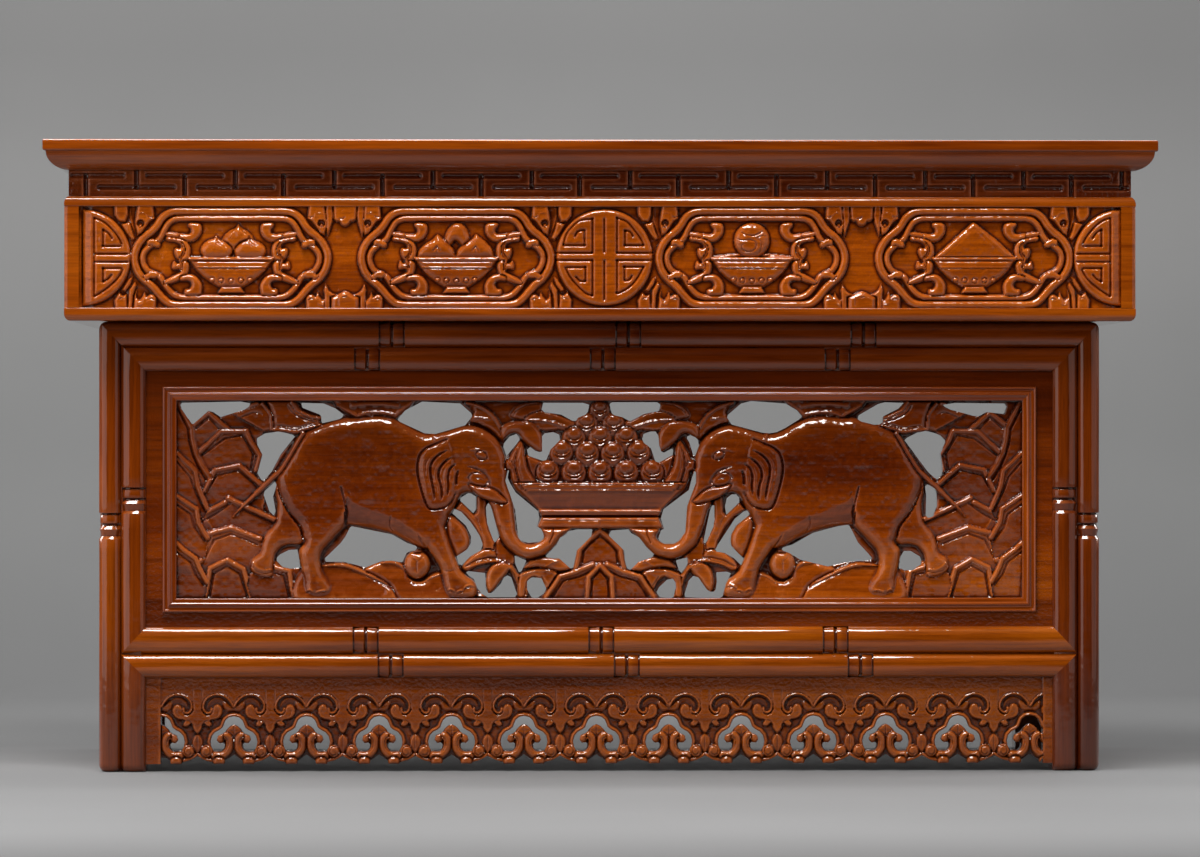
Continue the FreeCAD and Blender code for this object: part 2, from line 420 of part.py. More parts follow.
# side openwork: one elephant's worth of the same carving; outlines in (y, z), the front end at -y
OPENSY = IY - BEAD_IN - BEAD_W
SIDE_OPENINGS = [
    [(65.5, 232.5), (68.5, 238.5), (65, 253.5), (68.5, 261), (68.5, 266.5), (63.5, 270.5), (54, 272), (45, 269.5), (43, 268), (53, 253.5), (58.5, 240), (63.5, 233.5)],
    [(57.5, 204.5), (60.5, 208), (64, 221), (63.5, 224), (56.5, 232), (55.5, 229.5), (58, 220), (56, 208)],
    [(39.5, 163), (46, 162), (51.5, 163.5), (55.5, 168), (55.5, 171), (53, 173.5), (47.5, 177), (41.5, 177.5)],
    [(39, 295), (24, 294.5), (16, 290.5), (10.5, 285.5), (11, 283.5), (13, 282), (25, 278.5), (25.5, 284), (26.5, 285.5), (38, 291)],
    [(-39, 179), (-38, 176.5), (-34.5, 176), (-32, 174.5), (-29, 167), (-22, 168.5), (-15.5, 168), (-4.5, 163), (10.5, 167.5), (22.5, 167.5), (23, 170.5), (12.5, 182.5), (9, 188), (6, 195), (5, 196), (-22, 189.5), (-32.5, 182.5), (-38, 180.5)],
    [(-26, 281.5), (-31, 289), (-42.5, 296), (-68, 294.5), (-76, 286.5), (-76, 284), (-71.5, 277), (-51.5, 270), (-44.5, 270.5), (-28, 279.5)],
    [(-64.5, 210), (-69, 207.5), (-75.5, 199), (-81, 188.5), (-83.5, 181.5), (-82, 176.5), (-74.5, 171.5), (-69, 164.5), (-67, 166), (-65.5, 172), (-73, 177.5), (-75.5, 182.5), (-75.5, 188), (-72, 196.5), (-62.5, 206.5)],
    [(-77, 206.5), (-68, 216.5), (-68, 218.5), (-73, 222.5), (-75, 222.5), (-78.5, 220), (-78.5, 209.5)],
    [(-87, 215), (-89, 212), (-94, 189.5), (-94, 187), (-91.5, 183), (-90.5, 184.5), (-86.5, 198.5), (-85.5, 211)],
]
board_s = block(PX0, PX0 + PANEL_T, -IY, IY, LOW_Z1, zu).fuse(tong_s)
board_s = board_s.cut(Part.makeCompound([prism_yz(h, PX0 - 1, PX0 + PANEL_T + 1) for h in SIDE_OPENINGS]))
out("openwork_panel_left", board_s)
out("openwork_panel_right", flip_x(board_s))

# beading: three beads, mitred at the corners, laid on the board
bead = [(0, 0), (0, 2.0)] + arc_pts(1.9, 2.0, 1.9, 1.6, 180, 0, 6)[1:] + arc_pts(5.7, 2.2, 1.9, 2.2, 180, 0, 6) + arc_pts(9.5, 1.8, 1.8, 1.4, 180, 0, 6) + [(BEAD_W, 0)]


def bead_frame(half_u, z0, z1, face_at):
    """Four mitred strips round an opening; profile (inset, height). face_at maps (u, h, z) to space."""
    cu, cz = 0.0, (z0 + z1) / 2
    hu, hz = half_u, (z1 - z0) / 2
    res = []
    for side in range(4):
        ring = []
        for a, h in bead:
            uo, zo = hu - a, hz - a
            c = [((-uo, zo), (uo, zo)), ((uo, -zo), (-uo, -zo)), ((-uo, -zo), (-uo, zo)), ((uo, zo), (uo, -zo))][side]
            ring.append((face_at(cu + c[0][0], h, cz + c[0][1]), face_at(cu + c[1][0], h, cz + c[1][1])))
        n = len(ring)
        faces = [face([ring[k][0] for k in range(n)]), face([ring[k][1] for k in range(n)])]
        for k in range(n):
            j = (k + 1) % n
            faces.append(face([ring[k][0], ring[k][1], ring[j][1], ring[j][0]]))
        solid = Part.makeSolid(Part.makeShell(faces))
        if solid.Volume < 0:
            solid.reverse()
        res.append(solid)
    return res


names = ("top", "bottom", "left", "right")
fb = bead_frame(IX - BEAD_IN, LOW_Z1 + 11.7, zu - 12.5, lambda u, h, z: (u, PY0 - h, z))
for n, s in zip(names, fb):
    out("bead_front_" + n, s)
sb = bead_frame(IY - BEAD_IN, LOW_Z1 + 11.7, zu - 12.5, lambda u, h, z: (PX0 - h, -u, z))
for n, s in zip(("top", "bottom", "back", "front"), sb):
    pass
out("beads_left", Part.makeCompound(sb))
out("beads_right", Part.makeCompound([flip_x(s) for s in sb]))

# lace apron (x about an arch, z): the opening and one scallop of the lower edge
LP = 58.05               # length of one repeat
LC0 = -2.9               # centre of the middle arch
arch = [(0, 43.8), (4.5, 42.4), (7.6, 39.5), (8.8, 35.9), (10.8, 33.5), (14.4, 31.1), (17.2, 27.9), (18.4, 23.9), (18, 19.9), (16.4, 16.6),
        (9.6, 16.6), (9, 20), (10.4, 22.4), (13.6, 22.6), (14.9, 25.2), (13.4, 28.6), (8.4, 29.8), (5.2, 30.4), (5, 32.4), (2.8, 35), (0, 37.2)]
arch = arch + [(-x, z) for x, z in reversed(arch[1:-1])]
scallop = [(0, 13.4), (3.4, 10.9), (6.9, 8.6), (7.6, 6.2), (16, 6.0), (16.9, 7.3), (22.5, 8.8), (26.4, 10.8), (29.03, 12.2)]


def lace(length, inner, centre0, yf, thick):
    """Board under the lower rail, between x = -length and +length; openings between -inner and +inner."""
    low = []
    k0 = -int(length / LP) - 2
    for k in range(k0, -k0 + 1):
        c = centre0 + LP * k
        low += [(c - x, z) for x, z in reversed(scallop)] + [(c + x, z) for x, z in scallop[1:]]
    low = sorted(set((round(x, 2), z) for x, z in low))
    low = [p for p in low if -inner + 1 < p[0] < inner - 1]
    pts = [(-length, LOW_Z0), (-length, LACE_Z0), (-inner, LACE_Z0), (-inner, 11.0)] + low + [(inner, 11.0), (inner, LACE_Z0), (length, LACE_Z0), (length, LOW_Z0)]
    s = prism_xz(pts, yf, yf + thick)
    holes = []
    for k in range(k0, -k0 + 1):
        c = centre0 + LP * k
        if c + 19 < -inner or c - 19 > inner:
            continue
        h = prism_xz([(c + x, z) for x, z in arch], yf - 1, yf + thick + 1)
        h = h.common(block(-inner, inner, yf - 2, yf + thick + 2, 0, LOW_Z0))
        if h.Volume > 20 * thick:
            holes += h.Solids
    return s.cut(Part.makeCompound(holes))


LYF = -HY + 6.7
lace_f = lace(IX, IX - 12.0, LC0, LYF, LACE_T).fuse(block(-IX, IX, LYF + 2, LYF + 8, LOW_Z0, LOW_Z0 + 4)).removeSplitter()
lace_s = turn_side(lace(IY, IY - 8.0, 0.0, -HX + 6.7, LACE_T).fuse(block(-IY, IY, -HX + 8.7, -HX + 14.7, LOW_Z0, LOW_Z0 + 4)).removeSplitter())
lace_key = block(-IX, IX, LYF + 2, LYF + 8, LOW_Z0, LOW_Z0 + 4)
lace_key_s = block(-HX + 8.7, -HX + 14.7, -IY, IY, LOW_Z0, LOW_Z0 + 4)
out("lace_apron_front", lace_f)
out("lace_apron_left", lace_s)
out("lace_apron_right", flip_x(lace_s))

# rails with the grooves for panel and lace
back_lower = flip_y(lower)
lower_f = lower.cut(tong_f).cut(lace_key)
lower_sd = lower_s.cut(tong_s).cut(lace_key_s)
up_f = upper.cut(tong_f).cut(stub_leg).cut(flip_x(stub_leg))
up_b = flip_y(upper.cut(stub_leg).cut(flip_x(stub_leg)))
up_s = upper_side.cut(tong_s).cut(stub_leg).cut(flip_y(stub_leg))
out("upper_rail_front", up_f)
out("upper_rail_back", up_b)
out("upper_rail_left", up_s)
out("upper_rail_right", flip_x(up_s))
out("lower_rail_front", lower_f)
out("lower_rail_back", back_lower)
out("lower_rail_left", lower_sd)
out("lower_rail_right", flip_x(lower_sd))

# legs: stub tenon on top, mortises for the lower rails, grooves for panels
leg = leg.fuse(stub_leg).removeSplitter()
mort_f = tip.fuse(ten_f)
mort_s = tip_s.fuse(ten_s)
leg_f = leg.cut(mort_f).cut(mort_s).cut(tong_f).cut(tong_s)
leg_b = flip_y(leg).cut(flip_y(mort_f)).cut(mort_s).cut(tong_s)
out("leg_front_left", leg_f)
out("leg_front_right", flip_x(leg_f))
out("leg_back_left", leg_b)
out("leg_back_right", flip_x(leg_b))

# ---------------------------------------------------------------- glue blocks behind the waist
gb = []
for x in (-300.0, -107.0, 107.0, 300.0):
    gb.append(block(x - 20, x + 20, -WAIST_D / 2 + WAIST_T, -WAIST_D / 2 + WAIST_T + 18, BOX_Z1, TOP_Z0))
gb += [flip_y(s) for s in gb]
for y in (-70.0, 70.0):
    s = block(-WAIST_W / 2 + WAIST_T, -WAIST_W / 2 + WAIST_T + 18, y - 20, y + 20, BOX_Z1, TOP_Z0)
    gb += [s, flip_x(s)]
out("glue_blocks", Part.makeCompound(gb))

vol = sum(s.Volume for s in NODES.values()) / 1e6
print("nodes", len(NODES), "volume %.2f litres" % vol)
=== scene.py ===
import bpy
import math
import numpy as np
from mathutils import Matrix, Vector, geometry


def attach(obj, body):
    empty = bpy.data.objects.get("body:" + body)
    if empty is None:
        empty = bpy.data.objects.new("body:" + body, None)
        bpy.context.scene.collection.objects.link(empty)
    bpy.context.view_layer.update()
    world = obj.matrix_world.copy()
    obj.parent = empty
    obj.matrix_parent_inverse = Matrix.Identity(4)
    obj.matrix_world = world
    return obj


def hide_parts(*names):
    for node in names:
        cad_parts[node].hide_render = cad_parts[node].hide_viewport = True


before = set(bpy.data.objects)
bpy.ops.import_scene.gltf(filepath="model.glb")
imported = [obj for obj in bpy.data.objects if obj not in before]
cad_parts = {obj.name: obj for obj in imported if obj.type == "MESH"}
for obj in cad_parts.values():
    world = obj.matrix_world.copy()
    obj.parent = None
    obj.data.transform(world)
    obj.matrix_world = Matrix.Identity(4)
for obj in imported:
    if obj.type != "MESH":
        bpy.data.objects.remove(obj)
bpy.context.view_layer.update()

# ------------------------------------------------------------------ sizes, millimetres
MM = 0.001
TOP_W, TOP_D, HEIGHT = 885.0, 430.0, 503.5
TOP_Z0, TOP_RAIL_W = 479.4, 62.0
WAIST_W, WAIST_D, WAIST_T = 846.0, 391.8, 12.0
BOX_W, BOX_D, BOX_Z0, BOX_Z1 = 853.0, 398.8, 360.0, 459.2
BOX_RAIL_B, BOX_RAIL_T, BOX_STILE, BOX_REC = 10.3, 8.4, 11.7, 2.0
LEG_FW, LEG_FD, LEG = 801.6, 347.4, 37.7
CANE_OUT, CANE_D = 17.6, 8.0
RAIL_H, RAIL_OUT = 39.6, 20.6
LOW_Z0, LOW_Z1, LOW_UP = 75.0, 115.7, 21.5
HX, HY = LEG_FW / 2, LEG_FD / 2
IX, IY = HX - LEG, HY - LEG
PANEL_Y, PANEL_T = 7.7, 12.0
ZU = BOX_Z0 - RAIL_H
# ------------------------------------------------------------------ curves and distances
def cr(p, closed=False, n=5):
    """Smooth curve through points (Catmull-Rom)."""
    p = np.asarray(p, float)
    m = len(p)
    if m < 3:
        return p
    t = np.linspace(0, 1, n, endpoint=False)[:, None]
    out = []
    for i in range(m if closed else m - 1):
        if closed:
            a, b, c, d = p[(i - 1) % m], p[i], p[(i + 1) % m], p[(i + 2) % m]
        else:
            a, b, c, d = p[max(i - 1, 0)], p[i], p[i + 1], p[min(i + 2, m - 1)]
        out.append(0.5 * (2 * b + (c - a) * t + (2 * a - 5 * b + 4 * c - d) * t ** 2 + (3 * b - a - 3 * c + d) * t ** 3))
    if not closed:
        out.append(p[-1:])
    return np.vstack(out)


def inside_dist(P, X, Y):
    """Signed distance to a closed outline, positive inside."""
    d2 = np.full(X.shape, 1e12)
    ins = np.zeros(X.shape, bool)
    Q = np.roll(P, -1, 0)
    for (x0, y0), (x1, y1) in zip(P, Q):
        dx, dy = x1 - x0, y1 - y0
        L = dx * dx + dy * dy
        if L < 1e-10:
            continue
        t = np.clip(((X - x0) * dx + (Y - y0) * dy) / L, 0, 1)
        np.minimum(d2, (X - x0 - t * dx) ** 2 + (Y - y0 - t * dy) ** 2, out=d2)
        if y0 != y1:
            ins ^= ((y0 > Y) != (y1 > Y)) & (X < dx * (Y - y0) / dy + x0)
    return np.where(ins, 1.0, -1.0) * np.sqrt(d2)


def path_dist(P, X, Y):
    """Distance to an open path, how far along it the nearest point lies (0 to 1), and the side (+ left)."""
    d2 = np.full(X.shape, 1e12)
    s = np.zeros(X.shape)
    side = np.zeros(X.shape)
    seg = np.hypot(*(P[1:] - P[:-1]).T)
    tot = max(seg.sum(), 1e-9)
    acc = 0.0
    for (x0, y0), (x1, y1), L1 in zip(P[:-1], P[1:], seg):
        if L1 < 1e-9:
            continue
        dx, dy = (x1 - x0) / L1, (y1 - y0) / L1
        t = np.clip((X - x0) * dx + (Y - y0) * dy, 0, L1)
        e = (X - x0 - t * dx) ** 2 + (Y - y0 - t * dy) ** 2
        m = e < d2
        d2[m] = e[m]
        s[m] = ((acc + t) / tot)[m]
        side[m] = (dx * (Y - y0) - dy * (X - x0))[m]
        acc += L1
    return np.sqrt(d2), s, np.sign(side)


def lattice(shape, seed):
    r = np.random.default_rng(seed)
    return r.standard_normal(shape)


def soft_noise(U, V, size, seed):
    """Smooth value noise on a plane."""
    u, v = (U + 5000.0) / size, (V + 5000.0) / size
    iu, iv = np.floor(u).astype(int), np.floor(v).astype(int)
    fu, fv = u - iu, v - iv
    fu, fv = fu * fu * (3 - 2 * fu), fv * fv * (3 - 2 * fv)
    t = lattice((64, 64), seed)
    g = lambda a, b: t[a % 64, b % 64]
    return (g(iu, iv) * (1 - fu) + g(iu + 1, iv) * fu) * (1 - fv) + (g(iu, iv + 1) * (1 - fu) + g(iu + 1, iv + 1) * fu) * fv


def blur(A, r):
    """Quick box blur, three passes."""
    for _ in range(3):
        for ax in (0, 1):
            k = 2 * r + 1
            pad = [(r + 1, r) if a == ax else (0, 0) for a in (0, 1)]
            c = np.cumsum(np.pad(A, pad, mode="edge"), axis=ax)
            A = (c[k:] - c[:-k]) / k if ax == 0 else (c[:, k:] - c[:, :-k]) / k
    return A


# ------------------------------------------------------------------ relief carving
class Relief:
    """A carved face: heights over a grid of (u, v), 0 at the face, negative into the wood."""

    def __init__(s, us, vs, base=0.0):
        s.us, s.vs = np.asarray(us, float), np.asarray(vs, float)
        s.U, s.V = np.meshgrid(s.us, s.vs)
        s.H = np.full(s.U.shape, float(base))
        s.S = np.full(s.U.shape, 50.0)

    def win(s, P, m):
        lo, hi = P.min(0) - m, P.max(0) + m
        a = slice(max(np.searchsorted(s.us, lo[0]) - 1, 0), min(np.searchsorted(s.us, hi[0]) + 1, len(s.us)))
        b = slice(max(np.searchsorted(s.vs, lo[1]) - 1, 0), min(np.searchsorted(s.vs, hi[1]) + 1, len(s.vs)))
        return (b, a)

    def hole(s, P, n=4, smooth=True):
        P = cr(P, True, n) if smooth else np.asarray(P, float)
        w = s.win(P, 6.0)
        if s.U[w].size == 0:
            return
        d = inside_dist(P, s.U[w], s.V[w])
        s.S[w] = np.minimum(s.S[w], -d)

    def outside(s, P):
        """Everything outside this outline is cut away."""
        d = inside_dist(np.asarray(P, float), s.U, s.V)
        s.S = np.minimum(s.S, d)

    def fill(s, P, z, h, r, n=5, gap=0.0, gw=1.2, smooth=True, power=0.5, tilt=(0, 0), mode="set", grow=0.0, facet=0.0):
        """A raised shape: rises by h over the first r from its edge, from height z. gap sinks a line round it."""
        P = cr(P, True, n) if smooth else np.asarray(P, float)
        w = s.win(P, gw + 1.0 + grow)
        U, V, H = s.U[w], s.V[w], s.H[w]
        if U.size == 0:
            return
        d = inside_dist(P, U, V) + grow
        t = np.clip(d / r, 0, 1)
        prof = np.power(np.clip(1 - (1 - t) ** 2, 0, 1), power)
        if facet > 0:
            e = np.clip(d, 0, None)
            q = min(0.84 * facet / h, 0.8)
            prof = np.where(e < 0.45, e / 0.45 * (1 - q), np.minimum(1 - q + 0.84 * (e - 0.45) / h, 1))
        c = P.mean(0)
        top = z + h * prof + tilt[0] * (U - c[0]) + tilt[1] * (V - c[1])
        m = d > 0
        if mode == "max":
            top = np.maximum(top, H)
        H[m] = top[m]
        if gap:
            g = (d <= 0) & (d > -gw)
            H[g] -= gap * (1 + d[g] / gw)
        s.H[w] = H

    def ridge(s, P, w, h, n=5, taper=(0.0, 0.0), smooth=True, sharp=1.0, vee=False):
        """A raised line (or, with h negative, a cut line) w wide."""
        P = cr(P, False, n) if smooth and len(P) > 2 else np.asarray(P, float)
        k = s.win(P, w)
        if s.U[k].size == 0:
            return
        d, a, _ = path_dist(P, s.U[k], s.V[k])
        W = np.full(d.shape, w / 2)
        if taper[0] > 0:
            W *= np.clip(a / taper[0], 0.02, 1) ** 0.6
        if taper[1] > 0:
            W *= np.clip((1 - a) / taper[1], 0.02, 1) ** 0.6
        t = np.clip(1 - d / W, 0, 1) if vee else np.clip(1 - (d / W) ** 2, 0, 1)
        s.H[k] += h * (t ** sharp) * np.clip(W / (w / 2), 0, 1)

    def rope(s, P, w, z, h, n=5, taper=(0.0, 0.0), smooth=True, gap=0.0, gw=1.2, closed=False, facet=0.0):
        """A round member of width w laid at height z (top at z + h); replaces what is under it."""
        if closed:
            P = cr(P, True, n)
            P = np.vstack([P, P[:1]])
        else:
            P = cr(P, False, n) if smooth and len(P) > 2 else np.asarray(P, float)
        k = s.win(P, w + gw)
        U = s.U[k]
        if U.size == 0:
            return
        d, a, _ = path_dist(P, U, s.V[k])
        W = np.full(d.shape, w / 2)
        if taper[0] > 0:
            W *= np.clip(a / taper[0], 0.05, 1) ** 0.6
        if taper[1] > 0:
            W *= np.clip((1 - a) / taper[1], 0.05, 1) ** 0.6
        m = d < W
        H = s.H[k]
        if facet > 0:
            # flat band with cut edges: a steep side, then a bevel of this width
            e = np.clip(W - d, 0, None)
            q = 0.84 * facet
            prof = np.where(e < 0.45, e / 0.45 * (h - q), np.minimum(h - q + 0.84 * (e - 0.45), h))
            H[m] = (z + prof)[m]
        else:
            H[m] = (z + h * np.sqrt(np.clip(1 - (d / W) ** 2, 0, 1)))[m]
        if gap:
            g = (~m) & (d < W + gw)
            H[g] -= gap * (1 - (d[g] - W[g]) / gw)
        s.H[k] = H

    def fall(s, P, path, width, drop):
        """Inside the outline the surface slopes down with the distance from a path."""
        P, path = cr(P, True, 3), cr(path, False, 4)
        k = s.win(P, 1.0)
        U, V = s.U[k], s.V[k]
        if U.size == 0:
            return
        ins = inside_dist(P, U, V) > 0
        d, _, _ = path_dist(path, U, V)
        H = s.H[k]
        H[ins] -= (drop * np.clip(d / width, 0, 1))[ins]
        s.H[k] = H

    def fall_to(s, P, z, soft):
        """Inside the outline the surface is drawn towards height z."""
        P = cr(P, True, 4)
        k = s.win(P, 1.0)
        U, V = s.U[k], s.V[k]
        if U.size == 0:
            return
        t = np.clip(inside_dist(P, U, V) / soft, 0, 1)
        s.H[k] = s.H[k] * (1 - t) + z * t

    def plane(s, P, a, b):
        """Inside the outline the height runs evenly from a to b, each (drawing height, height)."""
        za, zb = draw(-166.0, 600, a[0])[0, 1], draw(-166.0, 600, b[0])[0, 1]
        k = s.win(P, 1.0)
        U, V = s.U[k], s.V[k]
        if U.size == 0:
            return
        ins = inside_dist(np.asarray(P, float), U, V) > 0
        t = np.clip((V - za) / (zb - za), 0, 1)
        H = s.H[k]
        H[ins] = (a[1] + (b[1] - a[1]) * t)[ins]
        s.H[k] = H

    def lines(s, P, offs, w, h, n=5, taper=(0.0, 0.0)):
        """Cut or raised lines that run beside a path, at the given offsets."""
        P = cr(P, False, n)
        k = s.win(P, max(abs(o) for o in offs) + w)
        if s.U[k].size == 0:
            return
        d, a, sd = path_dist(P, s.U[k], s.V[k])
        sg = d * sd
        f = np.ones(d.shape)
        if taper[0] > 0:
            f *= np.clip(a / taper[0], 0, 1)
        if taper[1] > 0:
            f *= np.clip((1 - a) / taper[1], 0, 1)
        f *= (a > 0.002) & (a < 0.998)
        for o in offs:
            t = np.clip(1 - ((sg - o) / (w / 2)) ** 2, 0, 1)
            s.H[k] += h * t * f

    def finish(s, wobble=0.12, edge=1.3, seed=3, shade_and_stain=True, soften=1):
        if soften:
            s.H = 0.35 * s.H + 0.65 * blur3(s.H)
        s.H += wobble * soft_noise(s.U, s.V, 9.0, seed) + 0.55 * wobble * soft_noise(s.U, s.V, 3.1, seed + 1)
        if edge > 0:
            t = np.clip(s.S / edge, 0, 1)
            s.H -= edge * (1 - np.sqrt(np.clip(1 - (1 - t) ** 2, 0, 1)))
        # C marks hollows and high spots: the material darkens the hollows as painted shade and lightens the high spots,
        # partly a worn look and partly painted highlight
        low = blur(s.H, 2)
        wide = blur(s.H, 8)
        s.C = np.clip(0.75 * (s.H - low) + 0.10 * (s.H - wide), -1.6, 1.6)


def blur3(A):
    B = np.pad(A, 1, mode="edge")
    return (B[:-2, 1:-1] + B[2:, 1:-1] + B[1:-1, :-2] + B[1:-1, 2:] + 4 * B[1:-1, 1:-1]) / 8


# ------------------------------------------------------------------ meshes
def make_object(name, verts, faces, mat, body="root", replaces=(), cav=None, sharp=42.0, slot=None):
    me = bpy.data.meshes.new(name)
    me.from_pydata([tuple(map(float, v)) for v in verts] if not isinstance(verts, np.ndarray) else verts.tolist(), [], faces)
    me.validate(clean_customdata=False)
    me.update()
    me.polygons.foreach_set("use_smooth", [True] * len(me.polygons))
    me.set_sharp_from_angle(angle=math.radians(sharp))
    if cav is not None and len(cav) == len(me.vertices):
        at = me.attributes.new("cav", "FLOAT", "POINT")
        at.data.foreach_set("value", np.asarray(cav, np.float32))
    else:
        at = me.attributes.new("cav", "FLOAT", "POINT")
    ob = bpy.data.objects.new(name, me)
    bpy.context.scene.collection.objects.link(ob)
    me.materials.append(mat)
    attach(ob, body)
    if replaces:
        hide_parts(*replaces)
    return ob


def relief_arrays(R, thick, border=None):
    """Closed solid of a relief: front from the heights, walls, flat back. Returns (u, v, h), faces, cavity."""
    nv, nu = R.U.shape
    S = R.S.copy()
    S[np.abs(S) < 0.01] = 0.01
    ins = S > 0
    idx = np.arange(nu * nv).reshape(nv, nu)
    a, b, c, d = idx[:-1, :-1], idx[:-1, 1:], idx[1:, 1:], idx[1:, :-1]
    n_in = ins[:-1, :-1].astype(int) + ins[:-1, 1:] + ins[1:, 1:] + ins[1:, :-1]
    full = n_in == 4
    quads = np.stack([a[full], b[full], c[full], d[full]], 1)
    Sf, Uf, Vf, Hf, Cf = S.ravel(), R.U.ravel(), R.V.ravel(), R.H.ravel(), R.C.ravel()
    extra, key, polys = [], {}, []
    base = nu * nv
    mj, mi = np.nonzero((n_in > 0) & (n_in < 4))
    for j, i in zip(mj, mi):
        cs = (idx[j, i], idx[j, i + 1], idx[j + 1, i + 1], idx[j + 1, i])
        poly = []
        for q in range(4):
            p0, p1 = int(cs[q]), int(cs[(q + 1) % 4])
            if Sf[p0] > 0:
                poly.append(p0)
            if (Sf[p0] > 0) != (Sf[p1] > 0):
                kk = (min(p0, p1), max(p0, p1))
                if kk not in key:
                    t = Sf[kk[0]] / (Sf[kk[0]] - Sf[kk[1]])
                    t = min(max(t, 0.06), 0.94)
                    key[kk] = base + len(extra)
                    f = lambda A: A[kk[0]] * (1 - t) + A[kk[1]] * t
                    hin = Hf[kk[0]] if Sf[kk[0]] > 0 else Hf[kk[1]]
                    extra.append((f(Uf), f(Vf), 0.5 * f(Hf) + 0.5 * hin, f(Cf)))
                poly.append(key[kk])
        if len(poly) >= 3:
            polys.append(poly)
    ex = np.array(extra).reshape(-1, 4)
    allv = np.column_stack([np.concatenate([Uf, ex[:, 0]]), np.concatenate([Vf, ex[:, 1]]), np.concatenate([Hf, ex[:, 2]]), np.concatenate([Cf, ex[:, 3]])])
    # boundary edges
    E = [np.stack([quads[:, q], quads[:, (q + 1) % 4]], 1) for q in range(4)]
    pe = [(p[q], p[(q + 1) % len(p)]) for p in polys for q in range(len(p))]
    E = np.vstack(E + ([np.array(pe)] if pe else []))
    ks = np.sort(E, 1)
    code = ks[:, 0].astype(np.int64) * len(allv) + ks[:, 1]
    _, first, cnt = np.unique(code, return_index=True, return_counts=True)
    bd = E[first[cnt == 1]]
    used = np.zeros(len(allv), bool)
    used[quads.ravel()] = True
    for p in polys:
        used[p] = True
    remap = -np.ones(len(allv), int)
    remap[used] = np.arange(used.sum())
    V3 = allv[used]
    faces = [tuple(q) for q in remap[quads].tolist()] + [tuple(int(remap[x]) for x in p) for p in polys]
    bd = remap[bd]
    bv = np.unique(bd)
    back_of = {int(x): len(V3) + k for k, x in enumerate(bv)}
    ring = V3[bv].copy()
    ring[:, 2] = -thick
    ring[:, 3] = 0.0
    for p, q in bd.tolist():
        faces.append((q, p, back_of[p], back_of[q]))
    # flat back
    co = [Vector((float(x), float(y))) for x, y in ring[:, :2]]
    loc = {int(x): k for k, x in enumerate(bv)}
    ed = [(loc[p], loc[q]) for p, q in bd.tolist()]
    ov, oe, of, ovi, oei, ofi = geometry.delaunay_2d_cdt(co, ed, [], 0, 1e-7, True)
    src = [x[0] if len(x) else -1 for x in ovi]
    cen = []
    tri = []
    for f in of:
        if len(f) == 3 and all(src[x] >= 0 for x in f):
            tri.append([src[x] for x in f])
    tri = np.array(tri)
    P = ring[:, :2]
    cen = (P[tri[:, 0]] + P[tri[:, 1]] + P[tri[:, 2]]) / 3
    iu = np.clip(np.searchsorted(R.us, cen[:, 0]) - 1, 0, nu - 2)
    iv = np.clip(np.searchsorted(R.vs, cen[:, 1]) - 1, 0, nv - 2)
    fu = (cen[:, 0] - R.us[iu]) / (R.us[iu + 1] - R.us[iu])
    fv = (cen[:, 1] - R.vs[iv]) / (R.vs[iv + 1] - R.vs[iv])
    sv = (S[iv, iu] * (1 - fu) + S[iv, iu + 1] * fu) * (1 - fv) + (S[iv + 1, iu] * (1 - fu) + S[iv + 1, iu + 1] * fu) * fv
    ar = (P[tri[:, 1], 0] - P[tri[:, 0], 0]) * (P[tri[:, 2], 1] - P[tri[:, 0], 1]) - (P[tri[:, 2], 0] - P[tri[:, 0], 0]) * (P[tri[:, 1], 1] - P[tri[:, 0], 1])
    n0 = len(V3)
    for t, s_, a_ in zip(tri.tolist(), sv, ar):
        if s_ > 0 and abs(a_) > 1e-9:
            t = t if a_ > 0 else t[::-1]
            faces.append((n0 + t[2], n0 + t[1], n0 + t[0]))
    V = np.vstack([V3, ring])
    return V[:, :3], faces, V[:, 3]


def relief_piece(name, arrays, place, mat, flip=False, **kw):
    V, F, C = arrays
    W = place(V[:, 0], V[:, 1], V[:, 2]) * MM
    if flip:
        F = [f[::-1] for f in F]
    return make_object(name, W, F, mat, cav=C, **kw)


def face_front(y0):
    """Places (u, v, h) on a face that looks to -Y at y0."""
    return lambda u, v, h: np.column_stack([u, y0 - h, v])


def face_left(x0):
    """The same on a face that looks to -X; u runs from the back (negative) to the front as seen from the left."""
    return lambda u, v, h: np.column_stack([x0 - h, -u, v])


def face_right(x0):
    return lambda u, v, h: np.column_stack([x0 + h, -u, v])


def span(a, b, step):
    return np.linspace(a, b, int(round((b - a) / step)) + 1)


